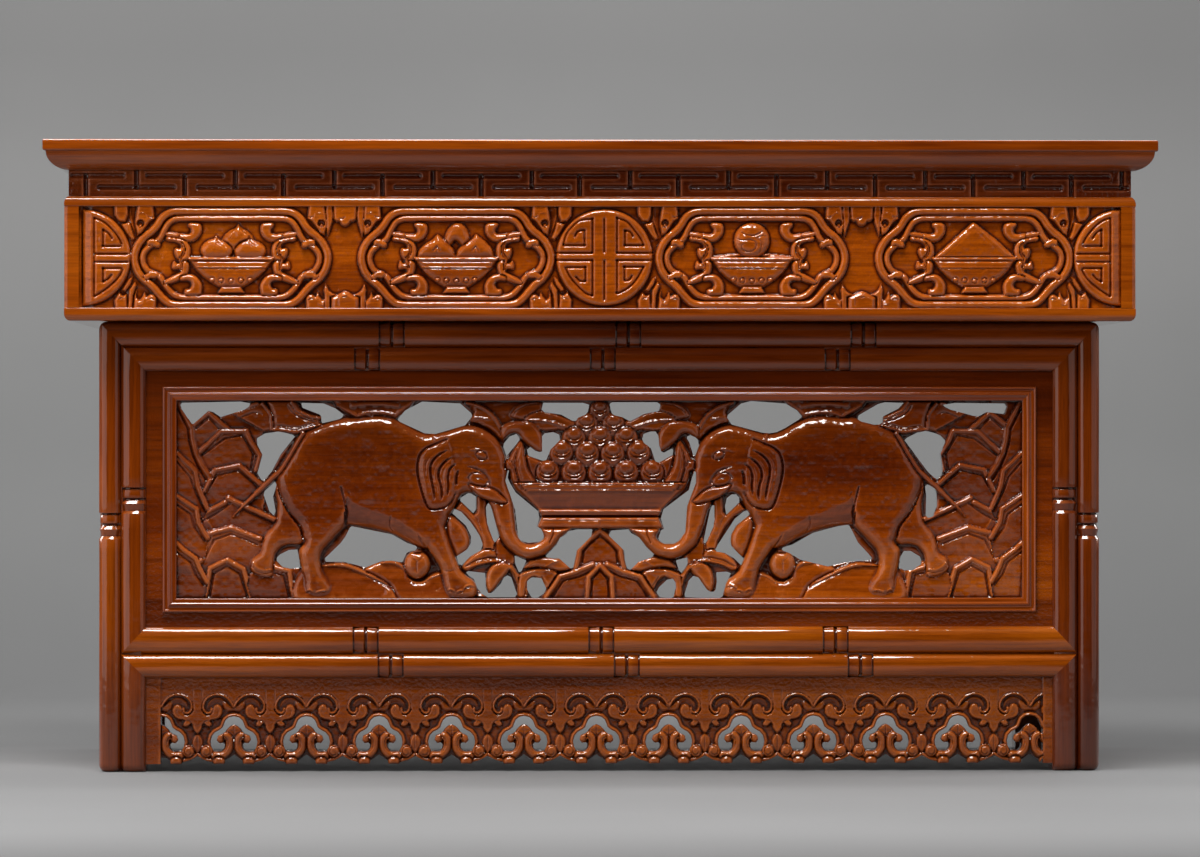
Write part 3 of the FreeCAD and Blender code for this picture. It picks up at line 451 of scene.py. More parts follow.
# ------------------------------------------------------------------ materials
def wood(name, axis, dark, mid, light, coat=1.0, rough=0.34, grain=1.0, cavity=1.0, wear_and_highlight=0.35, bump=0.25, fade=None, pit=0.0):
    """Varnished hardwood, grain along the given axis (0 x, 1 y, 2 z)."""
    m = bpy.data.materials.new(name)
    m.use_nodes = True
    nt = m.node_tree
    N, L = nt.nodes, nt.links
    for n in list(N):
        N.remove(n)
    out = N.new("ShaderNodeOutputMaterial")
    bs = N.new("ShaderNodeBsdfPrincipled")
    L.new(bs.outputs[0], out.inputs[0])
    tc = N.new("ShaderNodeTexCoord")

    def mapping(scale, loc=(0, 0, 0)):
        mp = N.new("ShaderNodeMapping")
        mp.inputs["Scale"].default_value = scale
        mp.inputs["Location"].default_value = loc
        L.new(tc.outputs["Object"], mp.inputs["Vector"])
        return mp.outputs[0]

    def stretch(along, across):
        s = [across] * 3
        s[axis] = along
        return tuple(s)

    def noise(vec, scale, detail, rough_=0.55, dist=0.0):
        n = N.new("ShaderNodeTexNoise")
        n.inputs["Scale"].default_value = scale
        n.inputs["Detail"].default_value = detail
        n.inputs["Roughness"].default_value = rough_
        n.inputs["Distortion"].default_value = dist
        L.new(vec, n.inputs["Vector"])
        return n.outputs["Fac"]

    def ramp(fac, stops, interp="LINEAR"):
        r = N.new("ShaderNodeValToRGB")
        r.color_ramp.interpolation = interp
        e = r.color_ramp.elements
        while len(e) < len(stops):
            e.new(0.5)
        for k, (p, c) in enumerate(stops):
            e[k].position = p
            e[k].color = (*c, 1) if len(c) == 3 else c
        L.new(fac, r.inputs[0])
        return r.outputs[0]

    def mix(kind, fac, a, b):
        x = N.new("ShaderNodeMix")
        x.data_type = "RGBA"
        x.blend_type = kind
        if isinstance(fac, (int, float)):
            x.inputs[0].default_value = fac
        else:
            L.new(fac, x.inputs[0])
        for s, v in ((6, a), (7, b)):
            if isinstance(v, tuple):
                x.inputs[s].default_value = (*v, 1)
            else:
                L.new(v, x.inputs[s])
        return x.outputs[2]

    def math_(op, a, b=None):
        x = N.new("ShaderNodeMath")
        x.operation = op
        for s, v in ((0, a), (1, b)):
            if v is None:
                continue
            if isinstance(v, (int, float)):
                x.inputs[s].default_value = v
            else:
                L.new(v, x.inputs[s])
        return x.outputs[0]

    # broad colour bands, fibre streaks, fine pores
    broad = noise(mapping(stretch(0.9, 7.0)), 2.2, 3, 0.5, 0.4)
    fibre = noise(mapping(stretch(3.0, 75.0)), 3.0, 5, 0.62, 0.25)
    fine = noise(mapping(stretch(14.0, 420.0)), 1.6, 3, 0.6)
    pores = noise(mapping(stretch(30.0, 700.0), (3, 7, 1)), 1.0, 2, 0.5)
    col = ramp(broad, [(0.30, dark), (0.52, mid), (0.74, light)])
    f2 = ramp(fibre, [(0.34, (0.60, 0.52, 0.50)), (0.50, (1, 1, 1)), (0.68, (1.22, 1.24, 1.25))])
    col = mix("MULTIPLY", 0.80 * grain, col, f2)
    f3 = ramp(fine, [(0.36, (0.72, 0.66, 0.62)), (0.52, (1, 1, 1)), (0.70, (1.12, 1.12, 1.12))])
    col = mix("MULTIPLY", 0.55 * grain, col, f3)
    pm = ramp(pores, [(0.60, (1, 1, 1)), (0.72, (0.55, 0.45, 0.42))])
    col = mix("MULTIPLY", 0.45 * grain, col, pm)
    # the cav attribute: painted shade darkens the hollows, with some stain held there; high edges are lightened, partly
    # a worn look and partly painted highlight
    at = N.new("ShaderNodeAttribute")
    at.attribute_name = "cav"
    cv = at.outputs["Fac"]
    low = ramp(math_("MULTIPLY", cv, -1.0), [(0.14, (1, 1, 1)), (0.50, (0.62, 0.50, 0.44)), (1.0, (0.22, 0.13, 0.10))])
    col = mix("MULTIPLY", cavity, col, low)
    hi = ramp(cv, [(0.12, (0, 0, 0)), (0.75, (1, 1, 1))])
    hi = math_("MULTIPLY", hi, wear_and_highlight)
    col = mix("MIX", hi, col, tuple(min(1.0, c * 1.35 + 0.012) for c in light))
    if fade:
        # a colour factor that changes with height, painted light and shade on the openwork and darker towards the foot
        # on the legs: fade is (lower height, upper height, colour factor at the top or a list of stops), metres
        sp = N.new("ShaderNodeSeparateXYZ")
        L.new(tc.outputs["Object"], sp.inputs[0])
        mr = N.new("ShaderNodeMapRange")
        mr.inputs["From Min"].default_value, mr.inputs["From Max"].default_value = fade[0], fade[1]
        L.new(sp.outputs["Z"], mr.inputs["Value"])
        stops = fade[2] if isinstance(fade[2], list) else [(0.0, (1, 1, 1)), (1.0, fade[2])]
        col = mix("MULTIPLY", 1.0, col, ramp(mr.outputs[0], stops))
    L.new(col, bs.inputs["Base Color"])
    # sheen of the varnish
    blot = noise(mapping((26, 26, 26)), 1.0, 3, 0.6)
    rr = N.new("ShaderNodeMapRange")
    rr.inputs["From Min"].default_value = 0.3
    rr.inputs["From Max"].default_value = 0.7
    rr.inputs["To Min"].default_value = rough - 0.06
    rr.inputs["To Max"].default_value = rough + 0.10
    L.new(blot, rr.inputs["Value"])
    L.new(rr.outputs[0], bs.inputs["Roughness"])
    bs.inputs["IOR"].default_value = 1.5
    bs.inputs["Specular IOR Level"].default_value = 0.25
    bs.inputs["Specular Tint"].default_value = (1.0, 0.42, 0.12, 1.0)
    bs.inputs["Coat Weight"].default_value = coat
    bs.inputs["Coat Roughness"].default_value = 0.035
    bs.inputs["Coat IOR"].default_value = 1.62
    # surface: faint fibre relief and the flow of thick varnish
    hgt = math_("ADD", math_("MULTIPLY", fibre, 0.5), math_("MULTIPLY", fine, 0.35))
    flow = noise(mapping((60, 60, 60)), 1.0, 2, 0.5)
    b1 = N.new("ShaderNodeBump")
    b1.inputs["Strength"].default_value = bump
    b1.inputs["Distance"].default_value = 0.0004
    L.new(hgt, b1.inputs["Height"])
    b2 = N.new("ShaderNodeBump")
    b2.inputs["Strength"].default_value = 0.22
    b2.inputs["Distance"].default_value = 0.0009
    L.new(flow, b2.inputs["Height"])
    L.new(b1.outputs[0], b2.inputs["Normal"])
    last = b2
    if pit:
        # chisel marks under the varnish break up the highlights
        b3 = N.new("ShaderNodeBump")
        b3.inputs["Strength"].default_value = pit
        b3.inputs["Distance"].default_value = 0.0011
        L.new(noise(mapping((1.0, 1.0, 1.0), (2, 5, 9)), 360.0, 2, 0.55), b3.inputs["Height"])
        L.new(b2.outputs[0], b3.inputs["Normal"])
        last = b3
    L.new(last.outputs[0], bs.inputs["Normal"])
    L.new(last.outputs[0], bs.inputs["Coat Normal"])
    return m


DARK, MID, LIGHT = (0.120, 0.0170, 0.0004), (0.205, 0.0365, 0.0008), (0.270, 0.0560, 0.0018)
RED_D, RED_M, RED_L = (0.082, 0.0098, 0.0002), (0.142, 0.0205, 0.0004), (0.198, 0.0350, 0.0010)
LEG_D, LEG_M, LEG_L = (0.092, 0.0120, 0.0002), (0.160, 0.0255, 0.0005), (0.222, 0.0430, 0.0012)
T_X = wood("top_wood_x", 0, (0.116, 0.0158, 0.0004), (0.198, 0.0335, 0.0007), (0.258, 0.0510, 0.0016))
T_Y = wood("top_wood_y", 1, (0.116, 0.0158, 0.0004), (0.198, 0.0335, 0.0007), (0.258, 0.0510, 0.0016))
BR_X = wood("box_rail_x", 0, (0.142, 0.0210, 0.0004), (0.240, 0.0440, 0.0009), (0.310, 0.0660, 0.0020))
BR_Y = wood("box_rail_y", 1, (0.142, 0.0210, 0.0004), (0.240, 0.0440, 0.0009), (0.310, 0.0660, 0.0020))
W_X = wood("rail_wood_x", 0, LEG_D, LEG_M, LEG_L)
W_Y = wood("rail_wood_y", 1, LEG_D, LEG_M, LEG_L)
W_Z = wood("leg_wood_z", 2, LEG_D, LEG_M, LEG_L, fade=(0.115, 0.03, (0.56, 0.50, 0.6)))
# the legs on the right: a darker copy of the leg wood, painted shade on the side away from the light, darker again
# towards the foot
W_ZR_SHADED = wood("right_leg_shaded_wood_z", 2, (0.056, 0.0062, 0.0002), (0.100, 0.0138, 0.0004), (0.146, 0.0245, 0.0008), fade=(0.115, 0.03, (0.70, 0.68, 0.75)))
LR_X = wood("lower_rail_wood_x", 0, (0.120, 0.0180, 0.0003), (0.212, 0.0400, 0.0007), (0.290, 0.0670, 0.0016))
LR_Y = wood("lower_rail_wood_y", 1, (0.120, 0.0180, 0.0003), (0.212, 0.0400, 0.0007), (0.290, 0.0670, 0.0016))
BEAD_C = ((0.105, 0.0130, 0.0002), (0.180, 0.0270, 0.0005), (0.245, 0.0450, 0.0011))
B_X = wood("bead_wood_x", 0, *BEAD_C)
B_Y = wood("bead_wood_y", 1, *BEAD_C)
B_Z = wood("bead_wood_z", 2, *BEAD_C)
C_X = wood("box_carving_x", 0, (0.165, 0.0245, 0.0004), (0.275, 0.0500, 0.0009), (0.350, 0.0740, 0.0020), cavity=1.0, wear_and_highlight=0.35, pit=0.35)
C_Y = wood("box_carving_y", 1, (0.165, 0.0245, 0.0004), (0.275, 0.0500, 0.0009), (0.350, 0.0740, 0.0020), cavity=1.0, wear_and_highlight=0.35, pit=0.35)
# openwork: painted shade under the box's overhang darkens the upper part, painted light brightens the lower rocks and
# hills, and the strip along the bottom is darker
O_X = wood("openwork_x", 0, (0.088, 0.0112, 0.0002), (0.155, 0.0245, 0.0004), (0.215, 0.0420, 0.0010), cavity=1.0, wear_and_highlight=0.5, pit=0.22, fade=(0.128, 0.280, [(0.0, (0.72, 0.62, 0.7)), (0.050, (0.72, 0.62, 0.7)), (0.085, (1.50, 1.65, 1.5)), (0.145, (1.50, 1.65, 1.5)), (0.470, (1.15, 1.10, 1.0)), (0.760, (0.68, 0.56, 0.5)), (1.0, (0.60, 0.50, 0.5))]))
O_Y = wood("openwork_y", 1, (0.088, 0.0112, 0.0002), (0.155, 0.0245, 0.0004), (0.215, 0.0420, 0.0010), cavity=1.0, wear_and_highlight=0.5, pit=0.22, fade=(0.128, 0.280, [(0.0, (0.72, 0.62, 0.7)), (0.050, (0.72, 0.62, 0.7)), (0.085, (1.50, 1.65, 1.5)), (0.145, (1.50, 1.65, 1.5)), (0.470, (1.15, 1.10, 1.0)), (0.760, (0.68, 0.56, 0.5)), (1.0, (0.60, 0.50, 0.5))]))
LACE_C = ((0.090, 0.0122, 0.0002), (0.156, 0.0275, 0.0005), (0.215, 0.0450, 0.0012))
L_X = wood("lace_x", 0, *LACE_C, coat=0.8, cavity=1.0, wear_and_highlight=0.5, rough=0.42, pit=0.45)
L_Y = wood("lace_y", 1, *LACE_C, coat=0.8, cavity=1.0, wear_and_highlight=0.5, rough=0.42, pit=0.45)
# the waist under the top's overhang: a dark copy of the wood as painted shade, and a strong lightening of its raised
# edges as painted highlight on the fret
WD_X = wood("waist_shaded_wood_x", 0, (0.040, 0.0042, 0.0003), (0.072, 0.0086, 0.0006), (0.150, 0.0310, 0.0060), wear_and_highlight=0.9, pit=0.5)
WD_Y = wood("waist_shaded_wood_y", 1, (0.040, 0.0042, 0.0003), (0.072, 0.0086, 0.0006), (0.150, 0.0310, 0.0060), wear_and_highlight=0.9, pit=0.5)
RAW_Y = wood("bare_wood_y", 1, (0.20, 0.095, 0.045), (0.30, 0.155, 0.075), (0.40, 0.22, 0.12), coat=0.0, rough=0.62, bump=0.6)

# ------------------------------------------------------------------ moulded frames
def sweep(name, prof, plan, mat, node, cap=True, sub=1, sharp=38.0, wav=0.0, slot=None):
    """A moulding along a straight member. plan(a) gives the two end points (x, y) for a profile point inset by a."""
    n = len(prof)
    rows = []
    for k in range(sub + 1):
        t = k / sub
        r = []
        for a, z in prof:
            (x0, y0), (x1, y1) = plan(a)
            r.append((x0 + (x1 - x0) * t, y0 + (y1 - y0) * t, z))
        rows.append(r)
    V = np.array([p for r in rows for p in r]) * MM
    F = []
    for k in range(sub):
        for i in range(n):
            j = (i + 1) % n
            F.append((k * n + i, k * n + j, (k + 1) * n + j, (k + 1) * n + i))
    if cap:
        F.append(tuple(range(n))[::-1])
        F.append(tuple(range(sub * n, sub * n + n)))
    # orientation: volume test
    me = np.array([V[list(f[:3])] for f in F[:n]])
    vol = 0.0
    c = V.mean(0)
    for f in F:
        p = V[list(f)] - c
        for q in range(1, len(f) - 1):
            vol += np.dot(p[0], np.cross(p[q], p[q + 1]))
    if vol < 0:
        F = [f[::-1] for f in F]
    return make_object(name, V, F, mat, replaces=(node,), sharp=sharp, slot=slot)


def frame_members(prefix, w, d, prof, mx, my, sub=1, sides=("front", "back", "left", "right"), join=0.12):
    hw, hd = w / 2, d / 2
    g = join
    plans = {
        "front": lambda a: ((-hw + a + g, -hd + a), (hw - a - g, -hd + a)),
        "back": lambda a: ((-hw + a + g, hd - a), (hw - a - g, hd - a)),
        "left": lambda a: ((-hw + a, -hd + a + g), (-hw + a, hd - a - g)),
        "right": lambda a: ((hw - a, -hd + a + g), (hw - a, hd - a - g)),
    }
    for s in sides:
        sweep("%s_%s_visual" % (prefix, s), prof, plans[s], mx if s in ("front", "back") else my, "%s_%s" % (prefix, s), sub=sub)


def arc(cx, cz, rx, rz, a0, a1, n):
    return [(cx + rx * math.cos(math.radians(a0 + (a1 - a0) * k / n)), cz + rz * math.sin(math.radians(a0 + (a1 - a0) * k / n))) for k in range(n + 1)]


zs = HEIGHT - 9.0
top_prof = [(TOP_RAIL_W, HEIGHT - 0.6), (TOP_RAIL_W - 0.6, HEIGHT - 0.05)] + arc(1.5, HEIGHT - 1.5, 1.5, 1.5, 90, 180, 8) + \
    arc(1.6, zs + 1.6, 1.6, 1.6, 180, 262, 6) + [(2.2, zs - 0.1)] + \
    [(2.4 + 19.0 * (1 - math.cos(math.radians(t))), zs - 0.5 - 14.6 * math.sin(math.radians(t))) for t in np.linspace(2, 90, 30)] + \
    [(TOP_RAIL_W, TOP_Z0)]
frame_members("top_rail", TOP_W, TOP_D, top_prof, T_X, T_Y, sub=8)

zt0, zb1 = BOX_Z1 - BOX_RAIL_T, BOX_Z0 + BOX_RAIL_B
up_prof = arc(4.6, BOX_Z1 - 6.4, 4.6, 6.3, 90, 180, 14) + arc(0.9, zt0 + 0.9, 0.9, 0.9, 180, 270, 5) + [(36.0, zt0), (36.0, BOX_Z1 - 0.05)]
lo_prof = arc(0.9, zb1 - 0.9, 0.9, 0.9, 90, 180, 5) + arc(4.6, BOX_Z0 + 5.6, 4.6, 5.6, 180, 270, 14) + [(64.0, BOX_Z0), (64.0, zb1)]
frame_members("box_top_rail", BOX_W, BOX_D, up_prof, BR_X, BR_Y, sub=8)
frame_members("box_bottom_rail", BOX_W, BOX_D, lo_prof, BR_X, BR_Y, sub=8)

# ------------------------------------------------------------------ canes: legs and rails cut as paired bamboo
# along a cane from one side of a node to the other: distance, depth, and a colour mark that darkens the cuts as painted
# shade and lightens the ledges as painted highlight
NODE_ROWS = [(-10.9, 0.0, 0), (-10.5, -0.12, 0.2), (-10.2, -1.7, -1.5), (-9.5, -1.9, -1.7), (-9.1, -1.2, -0.6), (-8.4, -1.05, -0.42), (-5.0, -0.65, -0.36), (-2.3, -0.30, -0.30), (-1.8, -0.35, 0.2), (-1.2, -1.2, 0.0), (-0.5, -2.2, -1.4),
             (0.2, -2.4, -1.8), (0.9, -2.2, -1.5), (1.3, -0.7, 0.2), (1.9, -0.55, 0.0), (5.0, -0.75, -0.30), (8.5, -0.85, -0.42), (9.0, -1.0, -0.6), (9.4, -1.9, -1.7), (10.0, -1.8, -1.5), (10.4, -0.12, 0.2), (10.9, 0.0, 0)]
LEG_ROWS = [(-10.9, 0.0, 0), (-10.7, -0.1, 0.3), (-8.7, -1.65, 0.3), (-8.3, -1.8, -1.0), (-7.6, -1.6, -0.2), (-5.0, -1.05, 0), (-3.2, -0.5, 0), (-2.8, -0.45, 0.4), (-0.4, -2.25, 0.4), (0.0, -2.5, -1.6), (0.9, -2.6, -1.8),
            (1.5, -2.1, -1.2), (1.9, -1.1, 0.0), (2.6, -0.9, 0), (5.0, -1.0, 0), (8.2, -1.15, 0), (8.5, -1.4, -1.2), (8.8, -2.2, -1.8), (9.6, -2.2, -1.8), (10.0, -0.6, -0.4), (10.3, -0.1, 0.2), (10.9, 0.0, 0)]


def bulge(c, p=0.80):
    return math.copysign(abs(c) ** p, c)


def cane(cu, cv, ru, rv, a0, a1, n, cid, sign=1):
    """Points of a cane's section: (u, v, outward u, outward v, cane id)."""
    out = []
    for k in range(n + 1):
        t = math.radians(a0 + (a1 - a0) * k / n)
        c, s_ = math.cos(t), math.sin(t)
        nx, ny = c / ru, -s_ / rv
        q = math.hypot(nx, ny)
        out.append((cu + ru * bulge(c), cv - rv * bulge(s_), nx / q, ny / q, cid))
    return out


def clip_cane(pts, lim_u=None, lim_v=None):
    r = []
    for u, v, a, b, c in pts:
        if lim_v is not None and v > lim_v:
            v = lim_v
        if lim_u is not None and u > lim_u:
            u = lim_u
        r.append((u, v, a, b, c))
    return r


def cane_wave(s, seed, amp):
    return amp * math.sin(s * 0.031 + seed * 1.7) * math.cos(s * 0.0113 + seed)


def grid_faces(nr, nc):
    F = []
    for r in range(nr - 1):
        for c in range(nc):
            d = (c + 1) % nc
            F.append((r * nc + c, r * nc + d, (r + 1) * nc + d, (r + 1) * nc + c))
    return F


def orient(V, F):
    vol = 0.0
    c = V.mean(0)
    for f in F:
        p = V[list(f)] - c
        for q in range(1, len(f) - 1):
            vol += np.dot(p[0], np.cross(p[q], p[q + 1]))
    return F if vol > 0 else [f[::-1] for f in F]


def bar(name, loop, half, nodes, place, mat, node, seed=1):
    """A member of constant section: loop of (v, z, nv, nz, cane), half(v, z) its half length, nodes by cane."""
    cols = []
    for v, z, nv, nz, cid in loop:
        L = half(v, z)
        cs = nodes.get(cid, nodes[0])
        s, d, st = [-L], [0.0], [0.0]
        last = -L
        for c in cs:
            for q in np.linspace(last, c - 10.9, 6)[1:-1]:
                s.append(q)
                d.append(cane_wave(q, seed + cid, 0.10))
                st.append(0.0)
            for o, dd, cc in NODE_ROWS:
                s.append(c + o)
                d.append(dd)
                st.append(cc)
            last = c + 10.9
        for q in np.linspace(last, L, 6)[1:]:
            s.append(q)
            d.append(cane_wave(q, seed + cid, 0.10))
            st.append(0.0)
        d[-1] = 0.0
        cols.append((v, z, nv, nz, cid, s, d, st))
    nr, nc = len(cols[0][5]), len(cols)
    V = np.zeros((nr, nc, 3))
    C = np.zeros((nr, nc))
    for c, (v, z, nv, nz, cid, s, d, st) in enumerate(cols):
        for r in range(nr):
            k = d[r] if cid >= 0 else 0.0
            V[r, c] = (s[r], v + nv * k, z + nz * k)
            C[r, c] = st[r] if cid >= 0 else -0.9
    V = V.reshape(-1, 3)
    V = place(V[:, 0], V[:, 1], V[:, 2])
    F = grid_faces(nr, nc)
    F.append(tuple(range(nc)))
    F.append(tuple(range((nr - 1) * nc, nr * nc))[::-1])
    # one end cap faces the other way from the walls: set by the same turn as the walls
    F = F[:-2] + [F[-2][::-1], F[-1][::-1]]
    F = orient(V, F)
    return make_object(name, V * MM, F, mat, replaces=(node,), sharp=40, cav=C.ravel())


def rail_loop(z1, h_up, h_low, back_cut=None):
    zm = z1 - h_up
    z0 = zm - h_low
    c1 = cane(CANE_D, z1 - h_up / 2, CANE_D, h_up / 2, 90, 270, 22, 0)      # u is v here, v is z
    c1 = [(v, z, a, b, c) for v, z, a, b, c in [(p[0], 2 * (z1 - h_up / 2) - p[1], p[2], -p[3], 0) for p in c1]]
    c2 = cane(CANE_D, z0 + h_low / 2, CANE_D, h_low / 2, 90, 270, 22, 1)
    c2 = [(p[0], 2 * (z0 + h_low / 2) - p[1], p[2], -p[3], 1) for p in c2]
    c1 = [p for p in c1 if p[0] < 6.4 or p[1] > zm + h_up / 2]
    c2 = [p for p in c2 if p[0] < 6.4 or p[1] < zm - h_low / 2]
    loop = c1 + [(6.6, zm, 0, 0, -1)] + c2
    loop.append((11.5, z0, 0, 0, -1))
    loop.append((LEG, z0, 0, 0, -1))
    loop.append((LEG, z1, 0, 0, -1))
    loop.append((11.5, z1, 0, 0, -1))
    return loop


def place_front(x, v, z):
    return np.column_stack([x, -HY + v, z])


def place_back(x, v, z):
    return np.column_stack([x, HY - v, z])


def place_left(x, v, z):
    return np.column_stack([-HX + v, x, z])


def place_right(x, v, z):
    return np.column_stack([HX - v, x, z])


KZ = LEG / RAIL_H
up_loop = rail_loop(BOX_Z0, RAIL_OUT, RAIL_H - RAIL_OUT)
lo_loop = rail_loop(LOW_Z1, LOW_UP, LOW_Z1 - LOW_Z0 - LOW_UP)
ZMID = LOW_Z1 - LOW_UP
IW = LEG - CANE_OUT


def low_half(inner):
    def f(v, z):
        if v >= 11.4:
            return inner
        s = (LOW_Z1 - z) / LOW_UP if z > ZMID else (z - LOW_Z0) / (ZMID - LOW_Z0)
        return inner + IW * min(max(s, 0.0), 1.0)
    return f


up_nodes = {0: (-166.8, 22.5, 211.0), 1: (-186.4, 2.1, 190.3)}
lo_nodes = {0: (-187.6, 0.9, 188.7), 1: (-167.6, 21.3, 208.7)}
ups_nodes = {0: (-84.0, 104.0), 1: (-104.0, 84.0)}
los_nodes = {0: (-95.0, 85.0), 1: (-75.0, 105.0)}
bar("upper_rail_front_visual", up_loop, lambda v, z: HX - max(v, (BOX_Z0 - z) * KZ), up_nodes, place_front, W_X, "upper_rail_front", 1)
bar("upper_rail_back_visual", up_loop, lambda v, z: HX - max(v, (BOX_Z0 - z) * KZ), up_nodes, place_back, W_X, "upper_rail_back", 2)
bar("upper_rail_left_visual", up_loop, lambda v, z: HY - max(v, (BOX_Z0 - z) * KZ), ups_nodes, place_left, W_Y, "upper_rail_left", 3)
bar("upper_rail_right_visual", up_loop, lambda v, z: HY - max(v, (BOX_Z0 - z) * KZ), ups_nodes, place_right, W_Y, "upper_rail_right", 4)
bar("lower_rail_front_visual", lo_loop, low_half(IX), lo_nodes, place_front, LR_X, "lower_rail_front", 5)
bar("lower_rail_back_visual", lo_loop, low_half(IX), lo_nodes, place_back, LR_X, "lower_rail_back", 6)
bar("lower_rail_left_visual", lo_loop, low_half(IY), los_nodes, place_left, LR_Y, "lower_rail_left", 7)
bar("lower_rail_right_visual", lo_loop, low_half(IY), los_nodes, place_right, LR_Y, "lower_rail_right", 8)


def leg_mesh(name, sx, sy, node, seed):
    cx = CANE_OUT + IW / 2
    P = []
    P += [p for p in cane(cx, CANE_D, IW / 2, CANE_D, 0, 180, 24, 1) if not (p[1] > 6.3 and p[0] < cx)]
    P.append((CANE_OUT, 6.5, 0, 0, -1))
    P += cane(CANE_OUT / 2, CANE_OUT / 2, CANE_OUT / 2, CANE_OUT / 2, 17, 253, 36, 0)
    # make one point lie on the diagonal
    P.append((6.5, CANE_OUT, 0, 0, -1))
    b = [(p[1], p[0], p[3], p[2], 2) for p in cane(cx, CANE_D, IW / 2, CANE_D, 0, 180, 24, 1) if not (p[1] > 6.3 and p[0] < cx)]
    P += b[::-1]
    P.append((LEG, LEG, 0, 0, -1))
    n_out, n_in = 196.8, 217.2
    cols = []
    for u, v, a, b_, cid in P:
        ztop = BOX_Z0 - max(u, v) / KZ
        if cid == 1 or (cid == -1 and False):
            t = min(max((u - CANE_OUT) / IW, 0), 1)
        elif cid == 2:
            t = min(max((v - CANE_OUT) / IW, 0), 1)
        else:
            t = 0.0
        if (u, v) == (LEG, LEG):
            t = 1.0
        zhi, zlo = ZMID + t * LOW_UP, ZMID - t * (ZMID - LOW_Z0)
        push = t > 0.001 and cid in (1, 2)
        rows = []
        for z in (0.0, 0.35, 1.1, 2.2, 3.6, 5.4, 7.2):
            r = 5.8
            k = r - math.sqrt(max(r * r - (r - min(z, r)) ** 2, 0))
            rows.append((z, -k * 0.9, 0, 0.25))
        for q in np.linspace(7.2, zlo, 9)[1:]:
            rows.append((q, 0.0, 0, 0.0))
        rows.append((zlo, 0.0, 1 if push else 0, 0.0))
        rows.append((zhi, 0.0, 1 if push else 0, 0.0))
        rows.append((zhi, 0.0, 0, 0.0))
        c = n_in if cid in (1, 2) else n_out
        for q in np.linspace(zhi, c - 10.9, 9)[1:-1]:
            rows.append((q, cane_wave(q, seed + cid, 0.12), 0, 0.0))
        for o, dd, cc in LEG_ROWS:
            rows.append((c + o, dd, 0, cc))
        for q in np.linspace(c + 10.9, 316.0, 9)[1:]:
            rows.append((q, cane_wave(q, seed + cid, 0.12), 0, 0.0))
        rows.append((ztop, 0.0, 0, 0.0))
        cols.append(rows)
    nr, nc = len(cols[0]), len(P)
    V = np.zeros((nr, nc, 3))
    C = np.zeros((nr, nc))
    for c, (u, v, a, b_, cid) in enumerate(P):
        for r, (z, d, pushed, st) in enumerate(cols[c]):
            uu, vv = u, v
            C[r, c] = st if cid >= 0 else (-0.9 if (u, v) != (LEG, LEG) else 0.0)
            if cid >= 0:
                # the node's cut does not open the joint with the panel
                ka = 1 - 0.9 * max(a, 0.0) ** 2 if cid == 1 else 1.0
                kb = 1 - 0.9 * max(b_, 0.0) ** 2 if cid == 2 else 1.0
                uu, vv = u + a * d * ka, v + b_ * d * kb
            elif z < 7.3 and (u, v) != (LEG, LEG):
                uu, vv = u - 0.7 * d, v - 0.7 * d
            if pushed and cid == 1:
                vv = 11.5
            if pushed and cid == 2:
                uu = 11.5
            V[r, c] = (sx * (HX - uu), sy * (HY - vv), z)
    V = V.reshape(-1, 3)
    F = grid_faces(nr, nc)
    F.append(tuple(range(nc))[::-1])
    top = (nr - 1) * nc
    dia = min(range(nc), key=lambda c: abs(P[c][0] - P[c][1]) + (100 if P[c][4] != 0 else 0))
    F.append(tuple(top + c for c in range(0, dia + 1)) + (top + nc - 1,))
    F.append(tuple(top + c for c in range(dia, nc)))
    F = orient(V, F)
    return make_object(name, V * MM, F, W_ZR_SHADED if sx > 0 else W_Z, replaces=(node,), sharp=40, cav=C.ravel())


leg_mesh("leg_front_left_visual", -1, -1, "leg_front_left", 11)
leg_mesh("leg_front_right_visual", 1, -1, "leg_front_right", 12)
leg_mesh("leg_back_left_visual", -1, 1, "leg_back_left", 13)
leg_mesh("leg_back_right_visual", 1, 1, "leg_back_right", 14)

# ------------------------------------------------------------------ plain members keep their solids
def dress(node, mat):
    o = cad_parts[node]
    o.data.materials.clear()
    o.data.materials.append(mat)


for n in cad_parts:
    if n == "top_panel":
        dress(n, T_X)
    elif n.startswith("batten") or n == "glue_blocks":
        dress(n, RAW_Y)
    elif n.startswith("box_post"):
        dress(n, BR_X)
    elif n in ("box_panel_back",):
        dress(n, BR_X)
    elif n == "waist_back":
        dress(n, WD_X)
    elif n.startswith("beads"):
        dress(n, W_Y)
    elif n.startswith("bead_front"):
        dress(n, W_Z if n.endswith(("left", "right")) else W_X)
    elif n in ("waist_left", "waist_right"):
        dress(n, WD_Y)
    elif n.endswith(("_left", "_right")):
        dress(n, C_Y)
    else:
        dress(n, C_X)

# ------------------------------------------------------------------ openwork: elephants, rocks, clouds, tray of fruit
PHI0, CAM_C, FOC = math.radians(1.5), 4600.0, 5750.0
CAM_D = np.array([math.sin(PHI0), math.cos(PHI0)])
CAM_R = np.array([math.cos(PHI0), -math.sin(PHI0)])
CAM_P = np.array([-0.3, -173.5]) - CAM_C * CAM_D


def draw(y0, *flat):
    """Points of the carving drawing, as seen from the front, to (x, z) on the plane y = y0."""
    a = np.array(flat, float).reshape(-1, 2)
    u, w_ = (a[:, 0] - 600.0) / FOC, (428.5 - a[:, 1]) / FOC
    dx_, dy_ = CAM_D[0] + u * CAM_R[0], CAM_D[1] + u * CAM_R[1]
    t = (y0 - CAM_P[1]) / dy_
    return np.column_stack([CAM_P[0] + t * dx_, 274.4 + t * w_])


def px(*flat):
    return draw(-166.0, *flat)


